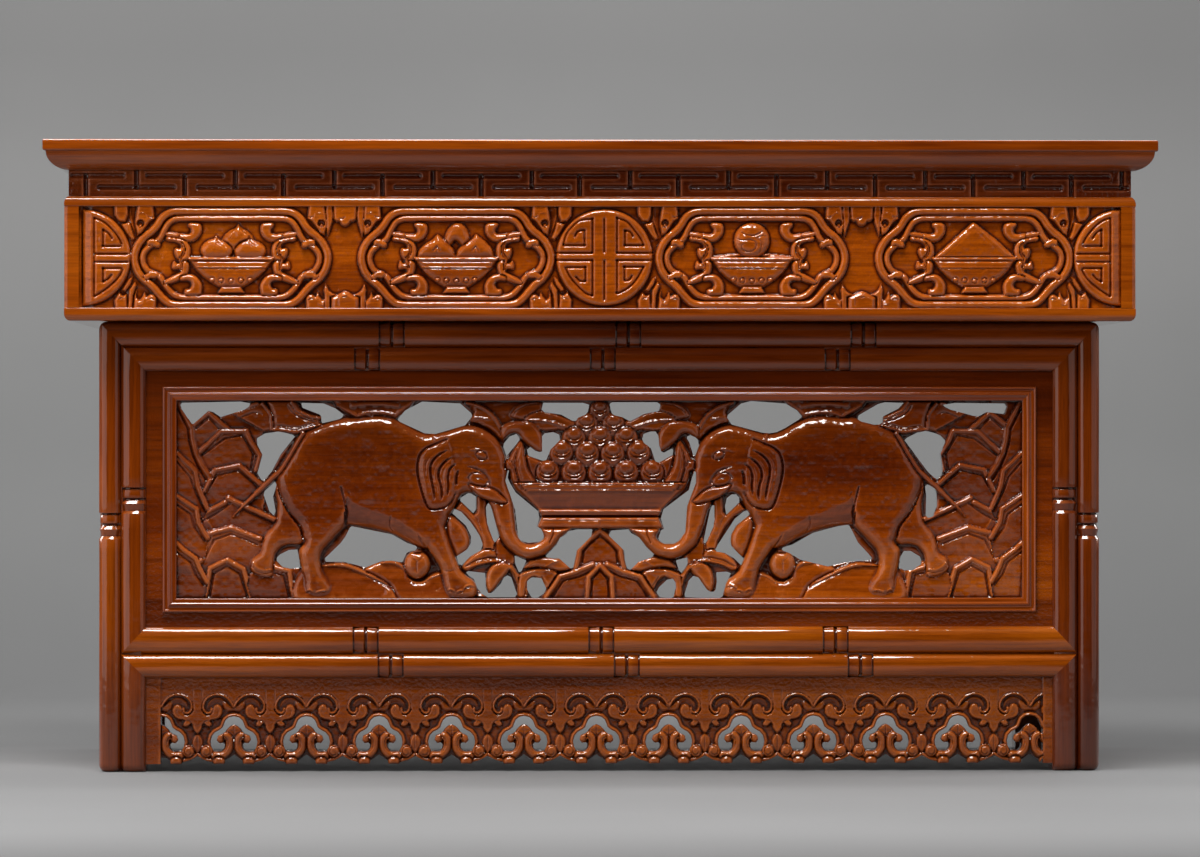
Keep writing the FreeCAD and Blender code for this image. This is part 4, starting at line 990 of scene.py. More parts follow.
OPENINGS = [
    [(-280, 294.5), (-281, 292), (-284.5, 289.5), (-304, 283.5), (-310, 287.5), (-313.5, 288.5), (-325.5, 278), (-327, 278), (-335, 290), (-336, 293.5), (-335, 295), (-288, 296)],
    [(-271, 232.5), (-274.5, 238.5), (-270.5, 253.5), (-274.5, 261), (-275, 266.5), (-268.5, 270.5), (-257.5, 272), (-246.5, 269.5), (-244.5, 268), (-256, 253.5), (-263, 240), (-268.5, 233.5)],
    [(-261.5, 204.5), (-265, 208), (-269.5, 221), (-269, 224), (-260.5, 232), (-259, 229.5), (-262, 220), (-260, 208)],
    [(-240, 163), (-248, 162), (-254.5, 163.5), (-259, 168), (-259, 171), (-256.5, 173.5), (-249.5, 177), (-242.5, 177.5)],
    [(-239.5, 295), (-221.5, 294.5), (-212, 290.5), (-205.5, 285.5), (-206.5, 283.5), (-208.5, 282), (-223, 278.5), (-223.5, 284), (-224.5, 285.5), (-238.5, 291)],
    [(-146.5, 179), (-148, 176.5), (-152, 176), (-155, 174.5), (-158.5, 167), (-167, 168.5), (-175, 168), (-188, 163), (-205.5, 167.5), (-220, 167.5), (-220.5, 170.5), (-208, 182.5), (-204, 188), (-200.5, 195), (-199, 196), (-167, 189.5), (-154.5, 182.5), (-148, 180.5)],
    [(-162.5, 281.5), (-156, 289), (-142.5, 296), (-112, 294.5), (-103, 286.5), (-102.5, 284), (-108, 277), (-132, 270), (-140.5, 270.5), (-160, 279.5)],
    [(-116.5, 210), (-111, 207.5), (-103.5, 199), (-96.5, 188.5), (-94, 181.5), (-95.5, 176.5), (-104.5, 171.5), (-111, 164.5), (-113.5, 166), (-115, 172), (-106.5, 177.5), (-103.5, 182.5), (-103.5, 188), (-107.5, 196.5), (-118.5, 206.5)],
    [(-101.5, 206.5), (-112, 216.5), (-112, 218.5), (-106, 222.5), (-104, 222.5), (-99.5, 220), (-99.5, 209.5)],
    [(-107.5, 159), (-105.5, 160), (-92, 158.5), (-91.5, 146), (-89.5, 142.5), (-87, 142.5), (-84.5, 144.5), (-79.5, 150), (-77, 155), (-74, 156.5), (-71, 155), (-66.5, 141.5), (-68, 139), (-90, 139), (-94, 141.5), (-97.5, 141.5), (-97.5, 143), (-95, 142), (-98, 146), (-101, 153.5), (-105, 156)],
    [(-89.5, 215), (-87.5, 212), (-81.5, 189.5), (-81, 187), (-84, 183), (-85.5, 184.5), (-90.5, 198.5), (-91.5, 211)],
    [(-75, 252), (-77.5, 259.5), (-77, 262.5), (-72.5, 268), (-67, 270), (-64.5, 267), (-64.5, 265)],
    [(-68.5, 172.5), (-59, 168.5), (-63, 159.5), (-65, 159), (-68, 166)],
    [(-74, 241), (-73, 241), (-74, 235), (-72, 230.5), (-67.5, 223), (-49.5, 208), (-48.5, 202.5), (-50.5, 196), (-47, 193.5), (-45.5, 190.5), (-45, 187), (-48.5, 183.5), (-57.5, 182.5), (-63.5, 184.5), (-65.5, 187), (-68, 209.5), (-76, 232.5)],
    [(-55, 155), (-47, 154.5), (-43, 146), (-45, 142), (-50.5, 138), (-51, 137), (-55, 139), (-58.5, 145.5), (-58.5, 152)],
    [(-32.5, 269.5), (-32, 265), (-39.5, 257.5), (-43, 249), (-46, 248.5), (-57.5, 252.5), (-58.5, 257.5), (-56, 259.5), (-52, 256.5), (-48.5, 255.5), (-46.5, 256), (-46.5, 268), (-44.5, 270.5), (-37.5, 271.5)],
    [(-6, 193.5), (-7, 188), (-18.5, 176.5), (-21.5, 162.5), (-23.5, 162), (-32.5, 170), (-36.5, 170), (-43, 171), (-43.5, 172), (-35, 181), (-32, 187), (-27, 189.5), (-25.5, 192), (-18, 193.5)],
    [(-47, 289.5), (-45.5, 295), (-13.5, 295), (-8.5, 293.5), (-9.5, 288), (-11.5, 285.5), (-17.5, 283), (-19, 280.5), (-22, 280.5), (-31, 285.5), (-44.5, 287.5)],
    [(9, 192.5), (23, 193.5), (25, 190.5), (31.5, 187), (37.5, 179), (43.5, 173.5), (42, 171), (31, 167.5), (24.5, 161), (22, 162), (20, 168.5), (19.5, 176.5), (7, 188.5)],
    [(48.5, 293.5), (47.5, 288.5), (35.5, 286), (24.5, 280), (18, 283.5), (11.5, 285), (9.5, 286.5), (8, 293), (8, 294.5), (10, 295.5), (46, 295.5)],
    [(35, 270), (40.5, 272), (45, 272), (47, 268), (47.5, 261), (49, 256), (51.5, 255), (58, 258.5), (59, 257), (58.5, 253), (47.5, 247), (44.5, 248), (41, 258.5), (35, 263), (34, 266)],
    [(58.5, 154), (60.5, 151), (61, 147), (59, 139), (56.5, 138), (48, 139), (45.5, 143), (47.5, 147), (54, 153)],
    [(75.5, 240.5), (77, 239), (77, 230.5), (70, 212), (68.5, 191), (63.5, 184.5), (59.5, 182), (51.5, 182), (48.5, 184), (47, 186), (49, 192.5), (51.5, 194), (49, 202), (51, 209.5), (71.5, 225)],
    [(70, 171), (70.5, 166), (69.5, 164), (65.5, 158.5), (63.5, 160.5), (61, 168.5)],
    [(76.5, 252.5), (75, 253), (72, 263), (70, 266.5), (70, 268), (72.5, 269), (76.5, 267.5), (79, 265), (79.5, 261)],
    [(68.5, 139), (68, 141.5), (71.5, 152.5), (75, 156), (79, 155), (86, 145), (88.5, 143.5), (91.5, 143.5), (93, 145.5), (94, 151.5), (93.5, 159), (102, 159.5), (105.5, 158), (101, 149.5), (98.5, 139.5), (96.5, 138.5), (91, 138)],
    [(92, 213), (92, 201.5), (91, 195), (86, 184), (84.5, 182), (83, 183), (88.5, 208.5), (90, 212.5)],
    [(101.5, 205), (100.5, 212), (102, 218.5), (106, 221.5), (109.5, 221.5), (112, 219), (112, 215)],
    [(118.5, 208.5), (120, 206), (119.5, 204.5), (109.5, 196.5), (105.5, 189.5), (105, 184.5), (105.5, 180.5), (108, 177.5), (115.5, 170), (113.5, 164.5), (108, 170), (100.5, 174.5), (93.5, 175.5), (92.5, 177.5), (108.5, 202), (116, 208)],
    [(162.5, 284), (160, 281.5), (149.5, 275), (142.5, 271.5), (136.5, 270.5), (130.5, 271), (106, 277.5), (102, 283), (103, 285.5), (113.5, 294.5), (121.5, 296.5), (149, 294.5), (158.5, 289)],
    [(146, 177.5), (147, 179), (154.5, 181), (171.5, 190.5), (191.5, 196), (199.5, 197), (201, 196), (207.5, 183), (218.5, 171), (218.5, 169.5), (217, 168.5), (197, 167), (183.5, 163.5), (161, 169), (153, 174), (146.5, 176.5)],
    [(244.5, 295), (240.5, 290.5), (228.5, 284.5), (227, 282.5), (227, 279), (225, 277.5), (219.5, 277.5), (209.5, 280), (207, 281.5), (208, 285), (223.5, 294), (229, 295.5)],
    [(240, 163), (241.5, 171), (244.5, 176), (250, 176), (257.5, 171.5), (258.5, 168.5), (258, 165), (251, 160.5), (244.5, 160.5)],
    [(271.5, 233.5), (268.5, 235), (263.5, 240), (245, 265), (247, 267), (255, 271), (261.5, 272.5), (268.5, 271), (273.5, 269), (277.5, 265), (277.5, 262.5), (273.5, 254.5), (275, 245.5), (275, 237.5)],
    [(263.5, 229.5), (269.5, 226), (271, 221.5), (271, 212), (267.5, 203.5), (263.5, 202.5), (262, 204), (262.5, 220.5), (261.5, 228)],
    [(275.5, 293.5), (286, 295), (325.5, 294.5), (327, 292), (325, 286), (311, 287.5), (305.5, 284.5), (300.5, 284.5), (281.5, 289.5), (276.5, 292)],
]
OPENINGS_SIDE = [
    [(65.5, 232.5), (68.5, 238.5), (65, 253.5), (68.5, 261), (68.5, 266.5), (63.5, 270.5), (54, 272), (45, 269.5), (43, 268), (53, 253.5), (58.5, 240), (63.5, 233.5)],
    [(57.5, 204.5), (60.5, 208), (64, 221), (63.5, 224), (56.5, 232), (55.5, 229.5), (58, 220), (56, 208)],
    [(39.5, 163), (46, 162), (51.5, 163.5), (55.5, 168), (55.5, 171), (53, 173.5), (47.5, 177), (41.5, 177.5)],
    [(39, 295), (24, 294.5), (16, 290.5), (10.5, 285.5), (11, 283.5), (13, 282), (25, 278.5), (25.5, 284), (26.5, 285.5), (38, 291)],
    [(-39, 179), (-38, 176.5), (-34.5, 176), (-32, 174.5), (-29, 167), (-22, 168.5), (-15.5, 168), (-4.5, 163), (10.5, 167.5), (22.5, 167.5), (23, 170.5), (12.5, 182.5), (9, 188), (6, 195), (5, 196), (-22, 189.5), (-32.5, 182.5), (-38, 180.5)],
    [(-26, 281.5), (-31, 289), (-42.5, 296), (-68, 294.5), (-76, 286.5), (-76, 284), (-71.5, 277), (-51.5, 270), (-44.5, 270.5), (-28, 279.5)],
    [(-64.5, 210), (-69, 207.5), (-75.5, 199), (-81, 188.5), (-83.5, 181.5), (-82, 176.5), (-74.5, 171.5), (-69, 164.5), (-67, 166), (-65.5, 172), (-73, 177.5), (-75.5, 182.5), (-75.5, 188), (-72, 196.5), (-62.5, 206.5)],
    [(-77, 206.5), (-68, 216.5), (-68, 218.5), (-73, 222.5), (-75, 222.5), (-78.5, 220), (-78.5, 209.5)],
    [(-87, 215), (-89, 212), (-94, 189.5), (-94, 187), (-91.5, 183), (-90.5, 184.5), (-86.5, 198.5), (-85.5, 211)],
]


def straight(R, P, w, h, **kw):
    R.ridge(P, w, h, smooth=False, **kw)


def rock(R, poly, rims, grooves, z=-4.2, tilt=(0.0, 0.06), rim_h=1.5, rim_w=4.4):
    """A slab with a raised rim along its upper edges and a cut line inside the rim."""
    R.fill(px(*poly), z - 0.3, 1.0, 1.6, smooth=False, tilt=(tilt[0], tilt[1] * 1.7))
    for r in rims:
        R.rope(px(*r), rim_w, z + 1.1, rim_h + 0.9, smooth=False, gap=0.7, gw=0.9)
    for g in grooves:
        straight(R, px(*g), 2.1, -1.5)


def rocks_left(R):
    R.fill(px(176, 396, 200, 396, 262, 430, 268, 470, 262, 520, 262, 560, 300, 562, 300, 604, 176, 604), -5.2, 0.5, 1.5, smooth=False)
    # slabs of the left column
    rock(R, (176, 396, 179, 400, 191, 424, 192, 440, 196, 455, 203, 468, 211, 478, 205, 500, 176, 470), [], [], z=-3.8, tilt=(0.03, 0.02))
    rock(R, (193, 425, 208.5, 411, 230, 430, 240, 445, 240, 470, 200, 466, 193, 445), [(192.5, 425.5, 208.5, 412.5, 229, 431)], [(196, 428.5, 208.5, 417.5, 221, 431)], z=-4.0, tilt=(0.01, 0.055))
    rock(R, (220, 429, 246, 428.5, 251, 440, 262, 456, 258, 486, 214, 480, 200, 468, 197, 452), [(199, 452.5, 221, 431.5, 246, 431, 250, 441, 260, 456, 256, 470)],
         [(202, 455, 224.6, 438.5, 242, 435.2, 253, 454, 250.5, 470)], z=-4.2, tilt=(-0.012, 0.05), rim_h=1.9)
    rock(R, (213.8, 468, 239, 462.5, 262, 483, 262, 500, 228, 500, 200, 513, 203, 492), [(205, 491, 214.5, 470.5, 239, 465.5, 260, 484)], [(205, 493.5, 216.5, 475.5, 238, 470.5, 256.7, 486)],
         z=-4.2, tilt=(-0.012, 0.055), rim_h=1.9)
    rock(R, (200, 512, 225, 499.5, 229, 495.5, 275, 517, 276, 530, 262, 539, 245, 532, 231, 525, 210, 533, 205, 540), [(201, 515, 225, 502.5), (228, 498.5, 274, 519.5)],
         [(202.5, 521, 215, 514.2, 229.9, 503.5), (240, 508.5, 274, 523.5)], z=-4.4, tilt=(0.0, 0.055), rim_h=1.8)
    straight(R, px(206, 519, 214, 531), 1.6, 0.8)
    rock(R, (207.8, 531, 230.6, 524.5, 262, 537, 262, 556, 252, 570, 245, 582, 228, 560, 210, 568, 205, 592, 200, 562), [(201.5, 561, 208.5, 534, 230.6, 528.2, 260, 539)],
         [(202.5, 562.4, 213.8, 540, 230.6, 534, 257.4, 544.5)], z=-4.4, tilt=(-0.008, 0.055), rim_h=1.8)
    rock(R, (208.5, 566, 227.2, 557, 245, 567, 253, 596, 253, 602, 203, 602), [(205, 596, 210, 568.5, 227.2, 560, 243.5, 569.5, 251.5, 597)], [(209.5, 596, 213.5, 573.5, 227.2, 566, 239.6, 573.5, 247, 597)],
         z=-4.4, tilt=(0.0, 0.05), rim_h=1.8)
    # right of them, under the far hind foot
    rock(R, (250, 574, 275, 563.5, 293, 568, 298, 602, 252, 602, 247, 585), [(272, 567, 289, 571, 293.5, 597)], [(272.5, 573, 283.5, 575, 288.8, 597)], z=-4.4, tilt=(-0.01, 0.05))
    # steep left column
    rock(R, (176, 452, 195, 469, 199, 487, 208, 509, 203, 520, 198, 512, 176, 500), [(176.5, 453.5, 195, 471, 198, 487, 207, 508.5)], [(176.5, 462, 189.5, 477, 195.5, 493, 204.5, 510)], z=-3.9, tilt=(0.0, 0.05))
    rock(R, (176, 494, 197.8, 508, 200, 523, 209, 537, 204, 560, 196, 556, 176, 548), [(176.5, 496.5, 196.5, 509.5, 198.5, 523, 207.5, 538)], [(176.5, 505, 190.5, 514.5, 194.5, 528, 204.5, 541)], z=-3.9, tilt=(0.0, 0.05))
    rock(R, (176, 541, 183, 548, 197, 557, 201, 569, 208, 581, 205, 602, 176, 602), [(176.5, 543.5, 183, 550, 195.8, 559, 200, 569.5, 207, 582)], [(176.5, 552.5, 190.5, 562.5, 195.5, 575, 203.8, 585.5)], z=-3.9, tilt=(0.0, 0.05))
    R.rope(px(177, 401, 184, 414, 191.5, 427.5, 192.5, 440, 196, 453, 201.5, 465, 210, 477), 4.2, -3.4, 1.9, smooth=False)
    straight(R, px(177.5, 409, 187.6, 429.5, 188.6, 441, 192.4, 455, 197.8, 467, 205.5, 480), 1.8, -1.9)


def clouds_left(R):
    # log-like scrolls against the top edge
    R.fill(px(216, 424, 221, 417.5, 236, 411, 246, 405.5, 254, 402, 264, 403.5, 271.5, 415, 272.5, 430, 262, 432.5, 252, 434.5, 243, 431, 228, 431), -4.8, 3.0, 3.4, smooth=False, tilt=(0, 0.03))
    R.rope(px(220, 419.5, 236, 413, 247, 407, 257, 403.5), 3.4, -3.0, 1.8)
    R.ridge(px(226, 424, 240, 418, 254, 412.5, 263, 415.5), 1.5, -1.2, taper=(0.1, 0.2))
    R.rope(px(262.5, 403.5, 268.5, 411, 271.5, 417.5, 271, 429.5), 3.0, -2.8, 2.0)
    R.fill(px(266.5, 401, 295.6, 401, 301.9, 409.5, 310, 414, 319.6, 417, 320.6, 427.8, 306, 431, 295.6, 433.5, 281, 431, 273.5, 430.5, 272.4, 416.9), -4.4, 4.0, 4.4, smooth=False, tilt=(0, 0.02))
    R.rope(px(291.6, 401.8, 297.2, 410.6, 309.7, 416.6, 320.4, 418.2), 3.2, -2.4, 2.4, smooth=False, gap=0.6, gw=0.8)
    R.ridge(px(286.5, 403, 293.4, 413.6, 307.5, 420.2, 317.5, 422.6), 1.4, -1.3, taper=(0.1, 0.1))
    R.rope(px(273.5, 429.6, 283, 430, 295.6, 431.8, 307, 428.6, 320.4, 425.6), 3.6, -2.8, 2.2)
    R.ridge(px(276, 425.5, 286, 426.6, 297, 427.6, 308, 424.6, 317, 422.4), 1.3, -1.1, taper=(0.1, 0.1))
    # canopy over the back
    R.fill(px(330, 396, 342, 396, 360, 399, 395, 399, 412, 396, 420, 396, 408, 410, 396, 419, 376, 417, 358, 419, 344, 412, 336, 405), -4.2, 2.6, 2.4, smooth=False)
    R.rope(px(338, 405, 349, 411, 358, 416.5), 3.2, -2.4, 1.7)
    R.rope(px(352, 405.5, 366, 404, 384, 404, 398, 406), 4.6, -2.6, 2.4)
    R.rope(px(359, 415.5, 367, 412.5, 380, 412.2, 396, 415), 3.0, -2.4, 2.0)
    R.rope(px(396, 415, 402, 409.5, 411, 402.5), 3.0, -2.4, 1.9)
    # leaves over the forehead
    R.fill(px(462, 396, 600, 396, 600, 404, 548, 408, 541, 416, 528, 417, 512, 426, 503, 442, 499, 440, 488, 428, 471, 422, 473, 412, 466, 402), -6.4, 1.2, 2.0, smooth=False)
    R.fill(px(466, 401, 478, 405, 489, 412, 498, 421, 503, 433, 500, 439, 492, 431, 480, 424, 470, 421, 474, 411), -4.6, 2.4, 3.5)
    straight(R, px(472, 418, 480, 417.5, 489, 419), 1.4, 1.0)
    straight(R, px(474, 424, 488, 430, 498, 440), 1.2, -1.2)
    R.rope(px(467, 403, 480, 406.5, 490, 413, 497.5, 422, 502, 432), 2.6, -2.6, 1.6)
    # branch with a round leaf and a big drooping leaf
    R.fill(px(511, 417, 514, 409, 521, 404, 531, 402, 542, 403, 542, 417, 530, 421), -5.0, 2.6, 3.0)
    straight(R, px(513, 416, 517, 410, 526, 405, 540, 403.5), 1.3, -1.2)
    R.fill(px(524, 418, 541, 410, 553, 412.5, 566, 418, 578, 424, 572, 433, 560, 430, 546, 431, 532, 428), -5.0, 2.6, 2.6)
    R.rope(px(528, 420.5, 545, 421, 560, 425, 571, 429), 2.2, -2.8, 1.6)
    R.fill(px(500, 434, 501, 427, 508, 422.5, 520, 420.5, 531, 421, 538, 427, 543, 437, 544, 448, 541.5, 453, 533, 449, 523, 441, 518, 434.5, 511, 434, 503, 440), -4.6, 5.0, 5.0)
    R.rope(px(505, 428, 516, 424, 528, 424.5), 1.6, -0.4, 0.9, taper=(0.3, 0.3))


def hills(R):
    R.fill(px(300, 570, 318, 564, 340, 563.5, 352, 566.5, 366, 572, 380, 579, 392, 585.5, 404, 593, 404, 603, 300, 603), -4.6, 3.8, 5.0, tilt=(0, -0.20))
    R.rope(px(322, 566, 341, 565.0, 353, 568.0, 366, 573.5, 380, 580.5, 392, 587, 402, 593.5), 3.4, -2.6, 2.2, taper=(0.2, 0.1), gap=0.6, gw=0.9)
    R.fill(px(364, 570, 375, 563, 388, 560.5, 400, 562, 407, 568, 409, 577, 416, 581.5, 424, 580.5, 430, 575.5, 441, 571.5, 446, 585, 450, 603, 404, 603, 390, 586, 376, 577), -5.2, 3.8, 5.0, tilt=(0, -0.20))
    R.rope(px(408, 578, 415, 583, 423, 582.5, 431, 577.5, 441, 574), 2.2, -2.4, 1.3, taper=(0.2, 0.1))
    R.rope(px(380, 563, 392, 562.5, 400, 565, 405, 571), 2.4, -2.7, 1.0, taper=(0.3, 0.3))
    # ball
    R.fill(px(417, 550.5, 424, 552.5, 429, 558, 430.5, 566, 427, 574, 420, 579, 413, 579, 407, 574, 404, 566, 405.5, 558, 410, 552.5), -5.0, 6.6, 8.0)
    straight(R, px(411, 556, 417, 562, 424, 556), 1.0, -0.6)
    straight(R, px(417, 562, 417, 572), 1.0, -0.6)
    R.fill(px(413, 543, 421, 545, 422, 553, 413, 553), -6.0, 3.0, 2.0)


def plants(R):
    # round shoulder of the far fore leg
    R.fill(px(445, 512, 452, 515.5, 460, 522, 466.5, 530, 470, 540, 468.5, 548, 463, 554, 456.5, 557, 450, 545, 446, 530), -5.4, 5.6, 6.0)
    # stems
    R.fill(px(454, 510, 461, 501, 474, 514.5, 476.3, 512, 476.5, 492, 487.5, 492, 486.5, 515, 489.5, 530, 498, 547, 492, 555, 483, 550, 481.5, 541, 474.5, 527.5, 465.5, 516.5), -5.4, 4.0, 2.6, smooth=False)
    straight(R, px(474, 515, 477.5, 520, 484, 540), 1.0, -0.7)
    R.fill(px(494, 545, 499, 536, 505, 545, 516, 556, 512, 566, 500, 566, 494, 556), -5.6, 3.0, 2.4)
    straight(R, px(495.5, 543, 496.5, 559), 1.4, -1.6)
    # leaf right of the foot
    R.fill(px(462.5, 569, 464, 563, 471, 556, 480, 550.5, 489.5, 548.5, 496, 552, 497, 560, 490, 563, 478, 566, 468, 571), -5.4, 4.0, 3.2)
    straight(R, px(465.5, 566.5, 476, 560.5, 489, 557.5, 496, 558), 1.8, -1.5)
    R.rope(px(464, 569, 478, 564, 492, 561, 506, 561.5), 2.8, -3.2, 1.6, taper=(0.15, 0))
    # arch and the leaf hanging from it
    R.fill(px(494, 566, 503, 560.5, 512.5, 565, 519, 574, 528.5, 580, 527.5, 597, 518, 597, 517.5, 588, 513.5, 577, 508, 570, 500, 570), -5.2, 4.0, 2.6)
    R.fill(px(486.5, 588, 486, 578, 489, 569, 495.5, 563.5, 504, 562.5, 511, 566, 508, 573, 501, 581, 494.5, 590, 489.5, 593), -4.6, 4.8, 3.6)
    R.rope(px(491, 571, 496.5, 565.8, 504, 564.8, 511, 568.5, 516, 576), 1.8, -0.9, 0.9, taper=(0.2, 0.3))
    # second arch
    R.fill(px(518, 580, 521, 573.5, 533, 569, 549.5, 568.5, 558, 573, 554, 586, 547, 590, 541.5, 581, 534, 577.5, 527.5, 584, 525, 597, 518, 597), -5.4, 3.8, 2.6)
    R.rope(px(521.5, 575.5, 533, 571.5, 546, 571, 556, 574.5), 2.0, -2.4, 1.2)
    straight(R, px(541.5, 577, 547, 586), 1.4, -1.3)
    R.fill(px(524, 568.5, 528, 562, 535, 558, 549.5, 556.5, 560.5, 558, 567, 563, 570.5, 569, 560, 571.5, 549, 569, 536, 567.5), -4.8, 4.2, 3.0)
    straight(R, px(545, 566.5, 553, 562, 562, 559.5), 1.2, 0.8)
    # low leaf by the foot
    R.fill(px(476, 597, 479, 588, 484, 589, 492, 597), -5.4, 3.0, 2.5)


def mount(R):
    """The stepped mountain below the tray."""
    R.fill(px(600, 528, 590, 537, 577, 549, 574, 570, 556, 575, 541, 598, 541, 603, 602, 603, 602, 528), -5.2, 1.2, 1.6, smooth=False)
    R.fill(px(600.5, 528, 577.5, 549, 574, 570, 603, 570, 603, 528), -4.6, 1.0, 1.5, smooth=False, tilt=(0, 0.05))
    R.rope(px(600.4, 530.5, 590, 538.5, 579.5, 549.8, 578.3, 558, 576, 569), 4.4, -3.4, 2.4, smooth=False)
    straight(R, px(600.4, 536, 591.5, 543, 584, 551, 582.6, 563), 1.8, -1.7)
    R.fill(px(600.4, 563, 590, 565, 576, 570, 558, 575, 543, 597, 543, 603, 603, 603, 603, 563), -4.4, 1.2, 1.6, smooth=False, tilt=(0, 0.05))
    R.rope(px(593, 564.5, 576.5, 571.8, 560, 576.5, 553, 587, 546, 598), 4.2, -3.2, 2.4, smooth=False)
    straight(R, px(596, 569, 580, 576.6, 563.5, 581, 556, 592, 552, 599), 1.8, -1.7)
    R.fill(px(600.4, 563, 586, 576, 584.5, 603, 603, 603, 603, 563), -4.2, 1.2, 1.6, smooth=False)
    R.rope(px(600.4, 565, 588.6, 577, 587, 601), 4.2, -3.0, 2.4, smooth=False)
    straight(R, px(600.4, 570.5, 592.5, 579, 591.2, 601), 1.8, -1.7)


def elephant(R, side=False):
    # far hind leg and tail
    R.fill(px(284, 478, 276, 476, 275, 492, 277, 505, 276, 518, 272, 526, 266, 533, 261.5, 543, 259.5, 552, 252, 558, 250, 564, 251, 571, 258, 576, 267, 578, 273.5, 575.5, 274, 566, 275.5, 555, 282, 547,
              292, 544.5, 299, 545, 306, 540, 303, 525, 294, 505, 290, 490), -5.2, 5.8, 6.0)
    R.rope(px(252.5, 562, 257, 567, 264, 570, 271, 569.5), 2.2, 0.0, 1.0, taper=(0.2, 0.2))
    straight(R, px(251, 566, 257, 571.5, 265, 573.5, 273, 572), 1.1, -0.9)
    # body
    R.fill(px(297, 437, 306, 431.5, 320, 425.5, 343, 418, 352, 417.5, 365, 416.5, 380, 415.5, 392, 417.5, 398, 420.5, 407, 425, 417, 430.5, 425, 433.5, 437, 435, 452, 440, 462, 470, 458, 500, 450, 516, 442, 535,
              432, 549, 416, 546.5, 405, 541, 393, 535, 380, 531, 365, 528, 350, 525.5, 344, 527, 335, 536, 323, 549, 312, 549, 303, 540, 299.5, 528, 287.5, 512, 279, 494, 276.4, 480, 280, 469, 289.5, 452), -4.6, 8.2, 9.5)
    # near hind leg
    R.fill(px(291, 505, 299.5, 528, 304, 541, 298.5, 551, 300.5, 567, 303, 578, 302.5, 586, 305, 593, 313, 598.5, 324, 598.5, 332, 594, 333, 587, 328.5, 579, 323, 571, 320.5, 560, 324, 549, 336, 536, 346, 524,
              348, 505, 338, 480, 305, 485), -4.6, 8.0, 7.5, mode="max")
    # near fore leg
    R.fill(px(404, 490, 410, 525, 419, 536, 427, 549, 437, 563, 441, 573, 443.5, 588, 446, 596, 454, 600, 468, 600, 476, 596, 477.5, 588, 474, 581, 467, 576, 461, 570, 457, 560, 451.5, 545, 446.5, 530, 443, 515,
              448, 500, 440, 480), -4.6, 8.2, 7.0, mode="max")
    # under the belly
    R.fall(px(348, 492, 352, 500, 360, 505, 375, 511, 390, 516, 403, 523, 415, 531, 425, 541, 432, 551, 416, 549, 405, 543.5, 393, 537.5, 380, 533.5, 365, 530.5, 345, 528), px(347, 494, 352, 500.5, 360, 505.5, 375, 511.5, 390, 516.5,
           403, 523.5, 415, 531.5, 425, 541.5, 431, 549), 13.0, 4.2)
    straight(R, px(341, 487, 344, 499, 347, 512, 346, 523), 1.6, -1.5)
    straight(R, px(390.5, 517, 389.5, 525, 392.5, 532), 1.2, -1.2)
    R.ridge(px(417, 532, 421, 541, 428, 551, 436, 561), 1.6, -1.4, taper=(0.2, 0.4))
    # head
    R.fill(px(430, 437, 437, 433.8, 447, 430.8, 460, 426.8, 470, 425.5, 478, 427, 486, 430.5, 495, 437, 502, 447, 505.8, 460, 506.5, 480, 508, 500, 502, 503, 490, 499, 477, 495, 469, 492.8, 463, 494.5, 458.5, 500,
              452, 510, 446, 520, 438, 512, 432, 490), -4.6, 8.6, 7.0, mode="max")
    if side:
        # hanging trunk, its tip turned forward
        R.fill(px(487, 500, 507, 500, 509, 520, 510, 540, 514, 550, 518, 553, 519, 560, 512, 563, 503, 558, 497, 546, 493, 526, 489, 510), -4.4, 4.0, 1.2)
        R.fill(px(486, 462, 505.8, 466, 507.6, 485, 508.5, 500, 509, 520, 510, 540, 514, 550, 518, 553, 519, 560, 512, 563, 503, 558, 497, 546, 493, 526, 488, 505), -4.4, 8.0, 5.2, mode="max")
        for y in (512, 519, 526, 533, 540):
            R.ridge(px(495, y, 500, y + 1.5, 507, y), 1.0, -0.5, taper=(0.3, 0.3))
    else:
        # trunk
        R.fill(px(493, 512, 490.5, 506, 511, 499, 515.3, 518, 517, 532, 522, 541, 530.6, 544.2, 539.5, 541.5, 543.5, 536.5, 541.5, 528, 571, 527.5, 566, 534, 560, 541, 555.3, 546.5, 547, 554.3,
                  540, 557.8, 530.6, 559.8, 521, 558, 512.5, 553.5, 503, 544.5, 497.7, 532, 494.5, 521), -4.4, 4.0, 1.2)
        R.fill(px(486, 462, 505.8, 466, 507.6, 485, 512.5, 499, 515.3, 518, 517, 532, 522, 541, 530.6, 544.2, 539.5, 541.5, 543.5, 536.5, 541.5, 528, 571, 527.5, 566, 534, 560, 541, 555.3, 546.5, 547, 554.3, 540, 557.8,
                  530.6, 559.8, 521, 558, 512.5, 553.5, 503, 544.5, 497.7, 532, 494.5, 521, 491.5, 510, 488, 500), -4.4, 8.0, 5.2, mode="max")
        R.fall(px(496, 527, 503, 545, 512, 554, 521, 558.5, 530.6, 560.5, 540, 558.5, 548, 554.8, 556, 547, 566, 535, 560, 533, 552, 541, 543, 549, 530, 552, 518, 549, 508, 538, 504, 528),
               px(503, 527, 508, 538, 518, 549, 530, 552, 543, 549, 552, 541, 560, 532), 6.0, 2.2)
        straight(R, px(553.5, 527, 553, 535, 549.5, 543), 1.3, -1.8)
